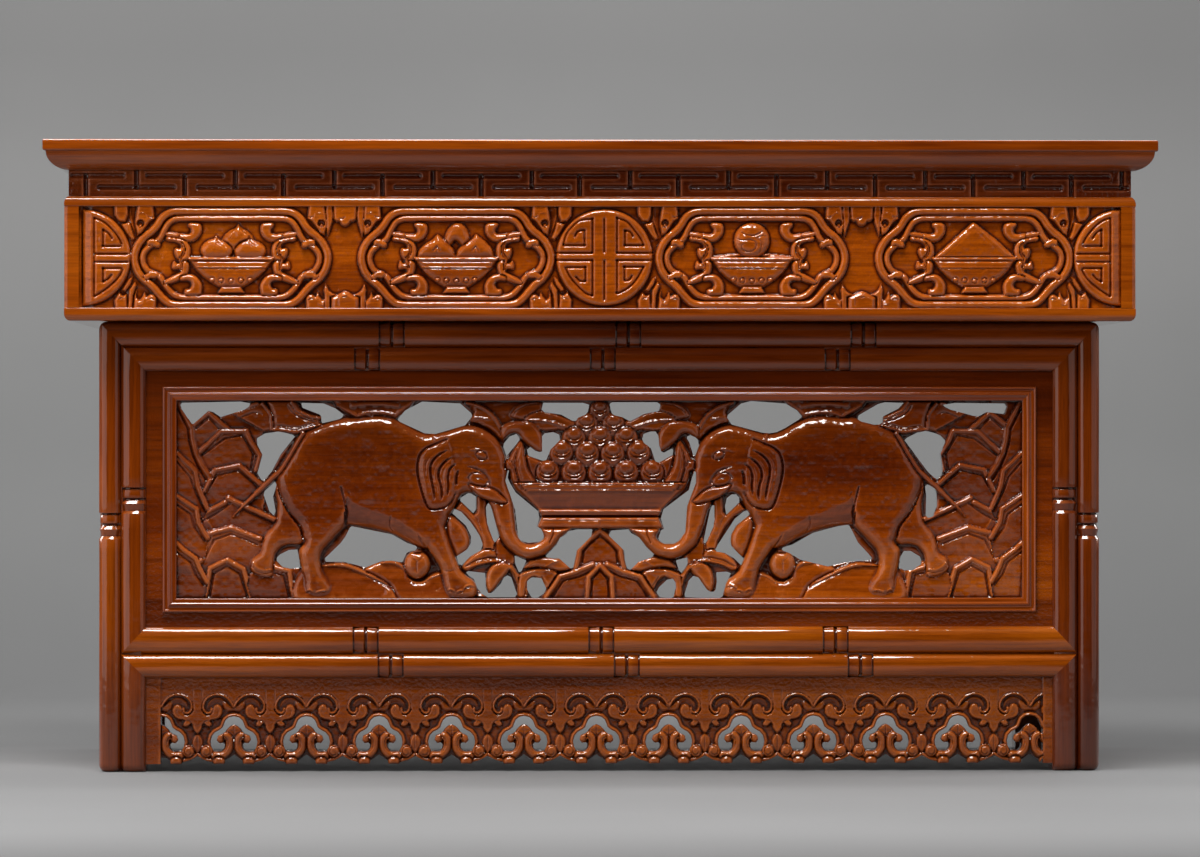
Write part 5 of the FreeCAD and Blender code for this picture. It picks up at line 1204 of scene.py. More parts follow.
    # cheek, lip and tusk
    R.ridge(px(466, 466.5, 475, 468.5, 483, 472.5, 488.5, 479, 490.5, 487), 2.4, -1.5, taper=(0.3, 0.1))
    R.fill(px(468, 478, 472, 473, 479, 472.5, 485, 476, 488, 483, 483, 487.5, 474, 486), 1.8, 2.0, 2.6)
    R.ridge(px(473, 479.5, 480, 479, 486, 482.5), 0.9, -0.8, taper=(0.2, 0.2))
    R.fill(px(468.5, 483.8, 474, 485, 481, 486.5, 489, 487.3, 496, 490.2, 502, 495.5, 507.6, 501.5, 503, 504, 495, 502.5, 486, 499.7, 477, 495, 471.5, 489.5), 0.6, 4.4, 2.8, gap=1.8, gw=1.4)
    # eye
    R.ridge(px(467.5, 450.5, 474, 449.4, 480, 449.6, 486, 452.4), 1.6, 0.8, taper=(0.3, 0.3))
    R.fill(px(476.0, 454.0, 480, 451.0, 485.2, 453.6, 486.8, 458.4, 482, 459.2, 478.0, 457.2), 3.4, 1.6, 1.7, gap=1.2, gw=1.2)
    straight(R, px(480.6, 455.4, 483, 456.6), 1.3, 0.35)
    R.ridge(px(476, 456.5, 480, 459.8, 485.5, 460.2), 0.9, -0.6, taper=(0.2, 0.3))
    # ear
    ear = (450, 440.5, 444, 441, 437, 444, 428, 448, 422, 453, 419, 460, 418, 470, 420, 482, 423.5, 495, 427, 504.5, 431, 508.5, 438, 508.5, 446, 506, 452, 500, 456, 490, 458.5, 478, 458.8, 466, 457.5, 452)
    R.fill(px(*ear), 3.2, 2.2, 5.0, gap=2.2, gw=2.0)
    # the ear's root runs level into the cheek
    R.fall_to(px(446, 436, 456, 436, 466, 446, 469, 466, 465, 486, 458, 494, 452, 492, 453, 480, 451, 462, 449, 448), 4.3, 2.6)
    for q in ((449, 450, 441, 453.5, 434, 459.5, 430.5, 467, 431, 477, 433, 487, 434.5, 497, 433, 502), (453.5, 457, 446, 461, 440, 468.5, 438.5, 477, 441, 486, 442, 495, 440.5, 501.5),
              (456.5, 463.5, 450.5, 468.5, 448, 477, 448.5, 487, 447, 496.5), (458.5, 470, 456.5, 478, 456.5, 486)):
        R.ridge(px(*q), 2.1, -1.9, taper=(0.15, 0.12))
        R.ridge(px(*[v - (3.0 if j % 2 == 0 else 0.4) for j, v in enumerate(q)]), 2.6, 0.6, taper=(0.25, 0.25))
    R.ridge(px(427, 456, 423.5, 464, 424.5, 478, 428, 494), 2.6, 0.7, taper=(0.3, 0.3))
    # tail over the rocks
    R.rope(px(303, 434, 297, 444, 290, 456, 281, 470, 272, 478.5, 262, 488, 251, 498.5, 241, 508, 233.5, 516.5), 4.6, -2.4, 2.6, taper=(0.0, 0.35), gap=0.9, gw=1.0)
    # toes
    for q in ((305, 592, 309.5, 589.5, 314, 592.5), (315, 592.8, 320.5, 590.5, 327, 590), (447, 590.5, 451, 588.8, 455.5, 591.5), (456.5, 592, 460.5, 590, 464, 590.5), (463, 590, 466, 586, 472, 585, 476, 588)):
        R.ridge(px(*q), 1.7, 0.8, taper=(0.2, 0.2))
        R.ridge(px(*[v + (0 if k % 2 == 0 else 2.2) for k, v in enumerate(q)]), 1.0, -0.9, taper=(0.2, 0.2))
    R.ridge(px(437, 566, 447, 571, 458, 569), 1.6, -0.4, taper=(0.3, 0.3))


def egg(R, x, y, z, r=12.0, last=False):
    a = np.radians(np.arange(0, 360, 15))
    P = np.column_stack([x + r * 0.98 * np.cos(a), y + r * 1.06 * np.sin(a) + 1.0])
    R.fill(px(*P.ravel()), z - 3.4, 3.6, 5.4, tilt=(0, 0.05), gap=0.5, gw=0.8)
    # a round cap above, and below it ledges that bend round the fruit
    k = r / 12.5
    C_ = np.column_stack([x + 7.4 * k * np.cos(a), y - 4.2 * k + 5.9 * k * np.sin(a)])
    R.fill(px(*C_.ravel()), z - 0.3, 2.2, 4.2, mode="max", gap=0.9, gw=0.9)
    b = np.radians(np.arange(8, 173, 15))
    for rr, yy, w_, h_ in ((9.0, 7.6, 1.5, 0.8), (10.2, 9.4, 1.3, -1.2), (8.2, 11.4, 1.2, 0.4)):
        A = np.column_stack([x + rr * k * np.cos(b), y - 4.2 * k + yy * k * np.sin(b)])
        R.ridge(px(*A.ravel()), w_, h_, taper=(0.2, 0.2))


def tray(R):
    # the heap of fruit, the far ones first
    R.fill(px(600.4, 402, 580, 420, 556, 448, 545, 484, 602, 486, 602, 402), -6.0, 1.0, 1.5, smooth=False)
    R.fill(px(526, 455, 533, 457, 541, 461, 548, 467, 544, 480, 534, 484, 528, 470), -5.0, 3.4, 4.0)
    egg(R, 600.4, 409.5, -2.6, 11.0)
    egg(R, 586.5, 424.0, -2.4, 12.0)
    egg(R, 574.0, 438.0, -2.2, 12.5)
    egg(R, 600.4, 438.0, -1.8, 12.8)
    egg(R, 561.5, 452.0, -2.0, 12.5)
    egg(R, 587.5, 453.5, -1.4, 12.8)
    egg(R, 613.3, 453.5, -1.4, 12.8)
    egg(R, 547.5, 472.5, -1.4, 12.8)
    egg(R, 574.0, 472.5, -1.0, 13.0)
    egg(R, 600.4, 472.5, -0.8, 13.0)
    # handle: outer leaf and horn
    R.fill(px(521, 441, 513, 450, 508.5, 459, 505, 460, 505, 470, 509.5, 472, 511, 480, 516, 490, 526, 498, 528, 484, 519, 470), -5.0, 5.0, 3.2)
    straight(R, px(506, 461, 512, 461.5, 513.5, 466), 1.3, -1.2)
    R.fill(px(521.3, 441.5, 517.5, 450, 515.2, 460, 515.6, 470, 518.5, 480, 521, 486, 538, 486, 533, 477, 528, 468, 525.8, 458, 524.6, 448.5), -2.8, 5.0, 3.4, gap=1.0, gw=1.0)
    R.ridge(px(524, 452, 526, 463, 530.5, 473.5, 536, 483), 1.3, 0.6)
    R.ridge(px(519, 456, 519, 468, 522.5, 480), 1.2, -0.9, taper=(0.2, 0.0))
    # bowl
    R.fill(px(512, 482, 519, 492.5, 527, 499.5, 534, 505.5, 541, 512, 602, 512, 602, 482), -3.4, 3.6, 3.0, smooth=False)
    R.plane(px(519, 489.5, 528, 499, 541, 511.8, 602, 511.8, 602, 489.5), (489.8, 2.6), (511.5, -2.6))
    R.fill(px(519.5, 482.6, 602, 482.6, 602, 490.4, 524, 490.4), 1.4, 2.0, 2.2, smooth=False)
    R.rope(px(519.5, 483.8, 602, 483.8), 2.0, 2.3, 1.4, smooth=False)
    R.rope(px(528, 490.6, 602, 490.6), 1.5, 2.0, 1.4, smooth=False)
    # foot
    R.fill(px(539.5, 508.5, 602, 508.5, 602, 517, 541, 517), -2.6, 3.6, 2.4, smooth=False)
    R.rope(px(541, 511.3, 602, 511.3), 3.4, -0.6, 2.6, smooth=False)
    straight(R, px(540, 516.3, 602, 516.3), 1.7, -2.6)
    R.fill(px(541.5, 517.2, 602, 517.2, 602, 528.6, 537, 528.6, 538.3, 524), -2.6, 5.0, 2.6, smooth=False)
    R.rope(px(543, 519.5, 602, 519.5), 3.0, 0.9, 1.6, smooth=False)


def build_openwork():
    half = np.concatenate([[-IX, -351.0, -340.6], -span(0.0, 339.0, 0.72)[::-1]])
    us = np.concatenate([half, -half[::-1][1:]])
    vs = np.concatenate([[LOW_Z1, 127.0, 137.4], span(138.4, 296.9, 0.72), [298.2, 309.0, ZU]])
    R = Relief(us, vs, 0.0)
    nu = len(us)
    mid = nu // 2
    L = Relief(us[:mid + 30], vs, 0.0)
    m = (L.U > -339.2) & (L.V > 138.2) & (L.V < 297.1)
    L.H[m] = -8.0
    hold = L.H.copy()
    clouds_left(L)
    rocks_left(L)
    hills(L)
    plants(L)
    mount(L)
    elephant(L)
    tray(L)
    # between head and tray: branch end over the forehead joins
    L.H = np.where(m, L.H, hold)
    R.H[:, :mid + 1] = L.H[:, :mid + 1]
    R.H[:, mid:] = L.H[:, :mid + 1][:, ::-1]
    for h in OPENINGS:
        R.hole(np.array(h, float), smooth=False)
    R.H *= 1.0
    fld = (R.U > -339.2) & (R.U < 339.2) & (R.V > 138.2) & (R.V < 297.1)
    keep = R.H.copy()
    R.finish(wobble=0.20, edge=1.4, seed=5)
    R.H = np.where(fld, R.H, keep)
    R.C = np.where(fld, R.C, 0.0)
    return R


RO = build_openwork()
# painted light and shade: the elephants' flanks are darkened as painted shade, the lower rocks are lightened as painted
# light
for sx in (-1, 1):
    RO.C = RO.C + 0.34 * np.exp(-(((RO.U - sx * 302.0) / 44.0) ** 2 + ((RO.V - 188.0) / 40.0) ** 2) ** 1.5)
    RO.C = RO.C - 0.46 * np.exp(-(((RO.U - sx * 192.0) / 84.0) ** 2 + ((RO.V - 245.0) / 36.0) ** 2) ** 1.5)
relief_piece("openwork_front_visual", relief_arrays(RO, PANEL_T), face_front(-HY + PANEL_Y), O_X, replaces=("openwork_panel_front",))

# ------------------------------------------------------------------ box apron: offering bowls in cartouches, longevity medallions
def pb(*flat):
    return draw(-197.4, *flat)


def at(cx, s, flat):
    """Points given about a cartouche's centre (x, drawing height), scaled in width and mirrored by s."""
    a = np.array(flat, float).reshape(-1, 2).copy()
    a[:, 0] = cx + a[:, 0] * s
    return draw(-197.4, *a.ravel())


SC_U = (-63, 233, -54, 233.7, -43.6, 234.7, -39.8, 232.8, -39.8, 229, -42, 226, -41.7, 223.6, -36, 223.2, -31.2, 224.6, -29.8, 229, -31.2, 234.7, -37, 240.4, -45.6, 241.4, -54, 238.6, -63, 237)
SC_M = (-63.7, 237, -54.2, 238.4, -47.5, 240, -43.2, 243.3, -41.2, 249, -41.5, 255.8, -44.6, 260.6, -49.4, 261, -54.2, 257.7, -56.3, 252.4, -55.1, 248.6, -50.3, 249, -49.6, 245.4, -52.3, 242.6, -57, 241, -63.7, 240.2)
SC_L = (-46.5, 260.5, -42.3, 264.3, -43.2, 272, -46.2, 277, -54, 281, -65.7, 284.2, -65.7, 280.8, -56.1, 275.4, -50.6, 272.6, -50, 270.2, -52.3, 268.6, -58.4, 268.6, -57.2, 261.8, -54.2, 264, -49.5, 262.6)
SC_B = (-50.3, 276.7, -45.6, 275.2, -39.8, 274.9, -34, 278, -29.8, 284.4, -29.8, 291, -32, 295, -44.6, 295, -45.8, 290, -41.5, 289.2, -39.2, 285.6, -40, 282, -43.6, 280, -50.3, 280.2)
BLOCK_T = (77.5, 203.5, 93.5, 203.5, 95.3, 213.5, 96.2, 222, 95.6, 228, 93.8, 235.5, 89, 233.5, 84.8, 227, 80.8, 221.5, 76.4, 219)
BLOCK_B = (75.4, 314, 74.4, 298, 77, 294.4, 81, 294, 84.6, 296.6, 86.4, 291.2, 88.6, 296.4, 91.5, 300, 94.8, 297.4, 94.2, 288, 96.4, 294, 98.6, 314)


def spandrel(R, cx, s, k):
    """The leaf curls that fill the corners outside a cartouche."""
    a = np.radians(np.arange(0, 360, 24))
    c = lambda x, y, r: np.column_stack([x + r * np.cos(a), y + r * np.sin(a)]).ravel()
    R.fill(at(cx, s, BLOCK_T), -3.4, 4.8, 2.0, smooth=False, gap=0.5, gw=0.9, facet=1.4)
    R.fill(at(cx, s, BLOCK_B), -3.4, 4.6, 1.8, smooth=False, gap=0.5, gw=0.9, facet=1.7)
    R.fill(at(cx, s, c(90.4, 223.4, 3.9)), 0.2, -3.6, 1.8, n=2)
    R.fill(at(cx, s, c(90.6, 225.6, 2.0)), -3.0, 2.0, 1.4, n=2)
    R.ridge(at(cx, s, (77, 216.5, 80.6, 217.6, 83.6, 215.4)), 1.3, -1.1, taper=(0.1, 0.3))
    R.ridge(at(cx, s, (82.6, 221.5, 84.6, 214, 90.6, 212.6, 95, 217)), 1.0, 0.5, taper=(0.3, 0.3))
    R.ridge(at(cx, s, (76.6, 300.6, 80, 298.6, 83.4, 300.4)), 1.2, -1.1, taper=(0.1, 0.3))
    R.ridge(at(cx, s, (86.4, 300.4, 88.4, 304, 92.4, 304.4, 95.4, 301.4)), 1.1, 0.6, taper=(0.3, 0.3))


def wide_gap(R, g):
    """Pendant and petals between two cartouches."""
    for s in (-1, 1):
        R.fill(at(g, s, (12.6, 203.5, 19.4, 203.5, 19.6, 213, 18.6, 222, 18.8, 231, 17.4, 237.5, 15.2, 231, 12.6, 223, 11.4, 215.5)), -3.4, 3.9, 1.6, smooth=False, gap=0.5, gw=0.9)
        R.fill(at(g, s, (19.6, 283.6, 21.4, 290, 20.6, 297, 21, 314, 15.0, 314, 14.8, 297.2, 11, 296, 7.4, 294.6, 12, 293.4, 16, 290.4)), -3.4, 3.9, 1.5, smooth=False, gap=0.5, gw=0.9)
    R.fill(at(g, 1, (-12.4, 203.5, 12.4, 203.5, 11.4, 219.4, 8.6, 221.8, 6, 221.6, 3.6, 225.2, 0, 226.6, -3.6, 225.2, -6, 221.6, -8.6, 221.8, -11.4, 219.4)), -3.4, 4.9, 2.2, smooth=False, gap=0.5, gw=0.9, tilt=(0, -0.05))
    R.ridge(at(g, 1, (-6.5, 218.4, -2.6, 219, 0.4, 216.4)), 1.3, -1.2, taper=(0.2, 0.2))
    R.fill(at(g, 1, (-14.2, 314, -14.2, 297.4, -9.4, 295.2, -3.6, 292, 0.2, 290.8, 4, 292, 9.4, 295.2, 14.2, 297.4, 14.2, 314)), -3.4, 4.9, 2.6, smooth=False, gap=0.5, gw=0.9, facet=2.6)
    R.ridge(at(g, 1, (-6.6, 297.4, -6.4, 306)), 1.0, -0.8, smooth=False)
    R.ridge(at(g, 1, (-4, 296.6, 0, 297.4, 3.4, 296)), 1.0, -0.8, taper=(0.2, 0.2))


def side_gap(R, g, s):
    """Leaf and stem between a cartouche and a medallion that lies towards s."""
    R.fill(at(g, s, (2.4, 203.5, 17.2, 203.5, 16.6, 215.5, 12.4, 221.4, 5.6, 222.2, 2.8, 215.5)), -3.4, 4.6, 2.0, smooth=False, gap=0.5, gw=0.9)
    R.fill(at(g, s, (1.4, 222, 10.4, 224, 4.4, 234, -0.6, 240.5, -4.0, 238.4, -0.8, 230)), -3.4, 3.2, 1.6, smooth=False, gap=0.4, gw=0.8)
    R.ridge(at(g, s, (0.6, 206, 0.9, 214, -0.4, 222, -3.4, 231, -5, 236)), 1.6, 1.6, taper=(0.1, 0.3))
    R.fill(at(g, s, (4.4, 294, 8, 295.8, 12.3, 292, 17, 300.4, 15.6, 314, 3.0, 314)), -3.4, 4.4, 1.8, smooth=False, gap=0.5, gw=0.9)
    R.fill(at(g, s, (-3.6, 281.6, 2.2, 290, 3.9, 314, -0.9, 314, -2.2, 296, -5.6, 286)), -3.4, 3.8, 1.5, smooth=False, gap=0.4, gw=0.8)
    R.fill(at(g, s, (-2.0, 276.4, 2.4, 279, 9.4, 290, 5.6, 291.8, 0.4, 285)), -3.4, 2.8, 1.5, smooth=False, gap=0.4, gw=0.8)
    R.ridge(at(g, s, (6, 299, 9.4, 298, 12.4, 300)), 1.2, -1.0, taper=(0.2, 0.2))


RING_O = [(0, 211.2), (-30, 211.2), (-53, 211.2), (-62, 212.8), (-69, 218), (-74, 225.6), (-79.3, 231.3), (-86, 236.6), (-92, 243.6), (-95.8, 252), (-96.6, 260), (-94, 270), (-88.5, 278), (-81, 284.3),
          (-75.5, 290), (-69, 297.5), (-62, 303), (-53, 304.8), (-41, 304.8), (0, 304.8)]
RING_I = [(0, 218.2), (-45, 218.2), (-55, 218.8), (-61.6, 222.2), (-66.3, 229), (-70, 237), (-75, 242.2), (-81, 245.8), (-86.6, 251.6), (-88.6, 258), (-87.2, 265), (-83, 271), (-76.4, 274.2), (-71, 277.2),
          (-67, 283), (-62.6, 289.4), (-57, 294.6), (-50, 297.3), (-41, 297.6), (0, 297.6)]


def ring(half):
    h = [tuple(q) for q in half]
    return np.array(h + [(-x, y) for x, y in h[-2:0:-1]], float).ravel()


def cartouche(R, cx, wide, fruit):
    k = wide / 202.0
    a = np.radians(np.arange(0, 360, 10))
    for s in (-k, k):
        spandrel(R, cx, s, k)
    # a broad band that runs round the cartouche, and a thin one inside it
    O, I = at(cx, k, ring(RING_O)), at(cx, k, ring(RING_I))
    R.rope(O, 6.4, -2.8, 4.4, closed=True, gap=0.5, gw=0.9, facet=1.7)
    R.rope(I, 5.0, -2.8, 3.6, closed=True, gap=0.5, gw=0.8, facet=1.5)
    for s in (-k, k):
        # little hooks where the band turns
        R.fill(at(cx, s, (-84, 240.5, -79, 238.6, -74.6, 240.4, -70.8, 243.6, -71.2, 247, -75, 247.8, -79.4, 245.6, -84, 246)), -1.4, 3.0, 2.2, gap=0.5, gw=0.7)
        R.fill(at(cx, s, (-88, 276.5, -83.5, 273, -78, 270.6, -73.4, 272, -72, 275.6, -75.4, 278.4, -80.5, 278.4, -84.6, 280.6)), -1.4, 3.0, 2.2, gap=0.5, gw=0.7)
        for P in (SC_U, SC_M, SC_L, SC_B):
            R.fill(at(cx, s, P), -3.4, 4.9, 2.2, gap=0.5, gw=0.8, n=4, grow=0.65, facet=1.8)
        R.rope(at(cx, s, (-66, 234, -60, 234.6, -54, 235.6)), 4.4, -3.0, 2.6, taper=(0.2, 0))
        R.rope(at(cx, s, (-50, 241.5, -47, 247, -47.5, 254, -51, 259, -49.5, 265, -48.5, 271)), 2.4, -2.6, 2.4, taper=(0.2, 0.2))
    fruit(R, cx, k)
    # bowl
    R.fill(at(cx, k, (-42.5, 258, -40, 263, -35, 270, -28.5, 276.8, -20.5, 282.6, -12, 287.6, 12, 287.6, 20.5, 282.6, 28.5, 276.8, 35, 270, 40, 263, 42.5, 258)), -3.2, 5.0, 5.5, smooth=False, tilt=(0, 0.06), gap=0.6, gw=0.9)
    R.fill(at(cx, k, (-43.8, 256.8, -42, 261, 42, 261, 43.8, 256.8)), -0.4, 3.2, 1.1, smooth=False, facet=1.4)
    R.ridge(at(cx, k, (-39.5, 261.6, 39.5, 261.6)), 1.1, -0.9, smooth=False)
    R.ridge(at(cx, k, (-36.5, 267.4, 36.5, 267.4)), 1.5, 0.7, smooth=False)
    R.ridge(at(cx, k, (-36, 268.6, 36, 268.6)), 2.0, -0.9, smooth=False, vee=True)
    for x in (-19, -10, 0, 10, 19):
        c = np.column_stack([x + 2.9 * np.cos(a), 281 + 2.6 * np.sin(a) - abs(x) * 0.06]).ravel()
        R.fill(at(cx, k, c), -1.6, 3.4, 1.8, gap=0.9, gw=0.8, n=1)
    R.fill(at(cx, k, (-9.6, 286.4, 9.6, 286.4, 13.6, 293.2, -13.6, 293.2)), -2.2, 3.6, 1.6, smooth=False, gap=0.4, gw=0.8, tilt=(0, -0.12))


def peaches(R, cx, k):
    def peach(P, z, marks):
        R.fill(at(cx, k, P), z, 5.2, 6.5, gap=0.8, gw=0.9, power=0.6)
        for q in marks:
            R.ridge(at(cx, k, q), 1.3, -1.2, taper=(0.1, 0.5))
    peach((7.4, 223.6, 10.5, 227.5, 17, 231.5, 22, 237, 23.5, 243, 21, 250, -7, 250, -9.5, 243, -8, 237, -3, 231.5, 4, 227.6), -3.2, ((7.2, 225, 2, 230, -4, 234.5), (8, 226, 13, 231.5, 19, 235)))
    peach((-14.5, 234.4, -12.6, 238.6, -5, 241.5, 0.5, 246, 2, 251, -0.5, 256, -5, 258.6, -25, 258.6, -29.5, 254.5, -30.5, 249, -27.5, 243.5, -22, 239.6, -16.6, 238), -2.6, ((-14.2, 236, -12.4, 242.5, -6, 248.5), (-14.6, 238, -14.4, 244, -11.4, 248)))
    peach((18.4, 235.6, 20.2, 239, 28, 242, 33.5, 246.5, 35, 251.5, 33.5, 256, 29.5, 258.6, 8, 258.6, 3.6, 255, 3, 249.6, 6.4, 244, 12, 240.4, 16.6, 239), -2.6, ((18.2, 237, 21.5, 243, 28, 247.5), (17.6, 239, 18.8, 245, 22.5, 249)))


def buds(R, cx, k):
    R.fill(at(cx, k, (1.5, 222.4, 6.6, 224, 11.4, 229.5, 13.6, 237, 12.5, 244, 8, 248, 2.6, 243, -1.2, 241, -5, 245, -9, 248, -12, 243, -11.6, 236, -8.6, 229, -3.4, 224)), -3.2, 5.2, 5.5, gap=0.7, gw=0.9, power=0.6)
    R.ridge(at(cx, k, (-5, 247, -1, 240.4, 3.4, 246)), 1.1, -1.0, smooth=False)
    for x in (0.0, 39.6):
        m = lambda *f: [v if q % 2 else v + x for q, v in enumerate(f)]
        R.fill(at(cx, k, m(-19.4, 234.4, -14, 238, -8, 243, -3.4, 248, -1.6, 253.6, -3.2, 257.8, -36.6, 257.8, -39.4, 253.4, -36.4, 247.6, -30, 242.4, -24, 239)), -2.6, 5.4, 6.0, gap=0.8, gw=0.9, power=0.6)
        R.ridge(at(cx, k, m(-24.6, 252, -20, 246.4, -15.6, 252.4)), 1.4, -1.3, smooth=False, taper=(0.2, 0.2))
        R.ridge(at(cx, k, m(-19.8, 247, -19.6, 253)), 1.0, -0.6, smooth=False)


def pearl(R, cx, k):
    a = np.radians(np.arange(0, 360, 12))
    c = lambda x, y, r, rr=None: np.column_stack([x + r * np.cos(a), y + (rr or r) * np.sin(a)]).ravel()
    R.rope(at(cx, k, (-40, 257.5, -20, 255.5, 0, 254.5, 20, 255.5, 40, 257.5)), 2.6, -2.8, 2.0)
    R.fill(at(cx, 1.0, c(0, 240.5, 18.0)), -2.8, 6.4, 9.0, gap=0.9, gw=1.2, n=1)
    R.ridge(at(cx, 1.0, (-12, 231.5, -6, 235, 2, 235.5, 9, 232.5, 13, 229.5)), 1.4, -1.3, taper=(0.1, 0.2))
    R.ridge(at(cx, 1.0, (-17, 238, -10, 240.5, -2, 240, 4, 243, 3, 249, -4, 252, -10, 249, -9.5, 244.5, -5, 243.5)), 1.3, -1.2, taper=(0.1, 0.2))
    R.ridge(at(cx, 1.0, (5, 255, 9, 249, 9, 242, 5, 238.5, 10, 236, 16, 237)), 1.3, -1.1, taper=(0.1, 0.2))


def heap(R, cx, k):
    R.fill(at(cx, k, (-42, 258, -22, 240, -4, 224, -1.5, 222, 2, 223.5, 22, 239, 42, 257, 42, 259)), -2.8, 5.0, 4.0, smooth=False, gap=0.9, gw=1.0)
    R.fill(at(cx, k, (-33, 258, -3, 229, 1, 229, 33, 258)), 1.6, 0.7, 2.5, smooth=False, tilt=(0, 0.02))


def medallion(R, cx, half=0, y=257.5):
    """A longevity medallion: raised disc with cut bars. half -1 or +1 shows only the half on that side of cx."""
    a = np.radians(np.arange(0, 360, 6))
    c = np.column_stack([cx + 48.5 * np.cos(a), y + 48.5 * np.sin(a)])
    if half:
        c[:, 0] = np.maximum(c[:, 0], cx) if half > 0 else np.minimum(c[:, 0], cx)
    R.fill(pb(*c.ravel()), -3.2, 5.2, 3.0, n=1, gap=0.8, gw=1.2, smooth=False, facet=2.0)
    g = []
    if half:
        m = lambda *f: [v if q % 2 else cx + half * (v - 82.4) for q, v in enumerate(f)]
        g += [m(94, 218.5, 94, 296), m(95, 218, 104, 222, 112, 229.5, 118, 237, 121.5, 244), m(121, 246.2, 103, 246.2), m(103, 246, 103, 229.5), m(103.5, 230, 108, 233, 112, 238.5),
              m(95, 254, 127.5, 254), m(95, 262, 127.5, 262), m(103, 268.3, 121.5, 268.3), m(103, 268.5, 103, 281.5), m(103.5, 281.5, 108, 279, 111.5, 275), m(122.5, 270, 118, 278, 108, 287.5, 95, 296.3)]
        if half:
            R.fall(pb(*m(82.4, 208, 92, 208, 92, 308, 82.4, 308)), pb(*m(91.5, 208, 91.5, 308)), 7.2, 2.6)
    else:
        o = cx - 604.5
        m = lambda *f: [v if q % 2 else v + o for q, v in enumerate(f)]
        g += [m(592.5, 218.5, 592.5, 252.5), m(592.5, 260.5, 592.5, 295.5), m(617, 218, 617, 252.5), m(617, 260.5, 617, 293), m(604.3, 219, 604.3, 252), m(604.3, 261, 604.3, 300),
              m(556.5, 253, 592, 253), m(556.5, 260.3, 592, 260.3), m(617, 253, 652, 253), m(617, 260.3, 652, 260.3),
              m(592, 219, 580, 220.5, 572, 227, 566, 235, 563.5, 245), m(564, 245.3, 585, 245.3), m(584.5, 245, 584.5, 231), m(584, 230, 578, 231.5, 575, 236.5),
              m(617, 218, 627, 222, 634, 230, 640, 238, 643.5, 245), m(643, 245.3, 624.5, 245.3), m(625, 245, 625, 231), m(625, 230.5, 630, 232, 633, 236.5),
              m(567, 267.3, 585, 267.3), m(585.5, 267, 585.5, 281), m(585, 281.3, 580, 281, 576, 277), m(565.5, 268, 570, 277, 578, 286.5, 586, 293.5, 592, 295.5),
              m(624, 266.8, 643.5, 266.8), m(624.5, 266.5, 624.5, 280), m(625, 280.5, 629, 280, 632, 276), m(643.5, 267, 637.5, 278, 630, 286.5, 620, 292.5, 616.5, 293)]
    for q in g:
        q = list(q)
        R.ridge(pb(*q), 3.2, -1.25, smooth=len(q) > 4, vee=True)
        R.ridge(pb(*q), 1.5, -1.3, smooth=len(q) > 4, sharp=0.7)


def build_box(half_len, cards, meds, step, gaps, sides):
    n = half_len
    us = span(-n, n, step)
    vs = span(BOX_Z0 + BOX_RAIL_B, BOX_Z1 - BOX_RAIL_T, step)
    R = Relief(us, vs, -4.4)
    for cx, wd, fr in cards:
        cartouche(R, cx, wd, fr)
    for g in gaps:
        wide_gap(R, g)
    for g, d in sides:
        side_gap(R, g, d)
    for cx, hf in meds:
        medallion(R, cx, hf)
    R.H = R.H * 0.86
    R.finish(wobble=0.17, edge=0, seed=21)
    return R


bw, bd = BOX_W / 2, BOX_D / 2
RB = build_box(bw - BOX_STILE, ((231.0, 202.0, peaches), (456.3, 198.0, buds), (752.0, 194.0, pearl), (974.5, 199.5, heap)), ((82.4, 1), (604.5, 0), (1122.0, -1)), 0.6,
               (345.0, 862.0), ((131.0, -1), (555.3, 1), (654.4, -1), (1073.3, 1)))
relief_piece("box_panel_front_visual", relief_arrays(RB, BOX_REC + 10.0), face_front(-bd + BOX_REC), C_X, replaces=("box_panel_front",))
sx0 = 600.35 - 88.0 / 0.7955
sx1 = 600.35 + 88.0 / 0.7955
RS = build_box(bd - BOX_STILE, ((sx0, 186.0, peaches), (sx1, 186.0, buds)), ((600.35 - 187.7 / 0.7955, 1), (600.35 + 187.7 / 0.7955, -1)), 0.62, (600.35,), ())
AS = relief_arrays(RS, BOX_REC + 4.0)
relief_piece("box_panel_left_visual", AS, face_left(-bw + BOX_REC), C_Y, replaces=("box_panel_left",))
relief_piece("box_panel_right_visual", AS, face_right(bw - BOX_REC), C_Y, flip=True, replaces=("box_panel_right",))


# ------------------------------------------------------------------ waist with its fret
def build_waist(n, t0, i0, cutends=3.0):
    P = 78.5
    us = span(-n, n, 0.58)
    vs = span(BOX_Z1, TOP_Z0, 0.56)
    R = Relief(us, vs, 0.0)
    for k in range(-7, 8):
        for x, z, stem in ((t0 + P * k, 475.3, -1), (i0 + P * k, 466.2, 1)):
            a, b = max(x - 29.4, -n + cutends), min(x + 29.4, n - cutends)
            if b - a > 2:
                q = np.array([(a, z), (b, z)])
                R.ridge(q, 4.6, -2.3, smooth=False, sharp=0.75)
            if abs(x) < n - 4:
                e = BOX_Z1 if stem < 0 else TOP_Z0
                R.ridge(np.array([(x, z), (x, e)]), 3.8, -2.9, smooth=False, sharp=0.35)
    R.H = np.maximum(R.H, -3.6)
    R.finish(wobble=0.06, edge=0, seed=31)
    return R


RW = build_waist(WAIST_W / 2, -17.0, 23.3)
relief_piece("waist_front_visual", relief_arrays(RW, WAIST_T), face_front(-WAIST_D / 2), WD_X, replaces=("waist_front",))
RWs = build_waist(WAIST_D / 2 - WAIST_T - 0.1, 0.0, 39.25)
AWs = relief_arrays(RWs, WAIST_T)
relief_piece("waist_left_visual", AWs, face_left(-WAIST_W / 2), WD_Y, replaces=("waist_left",))
relief_piece("waist_right_visual", AWs, face_right(WAIST_W / 2), WD_Y, flip=True, replaces=("waist_right",))

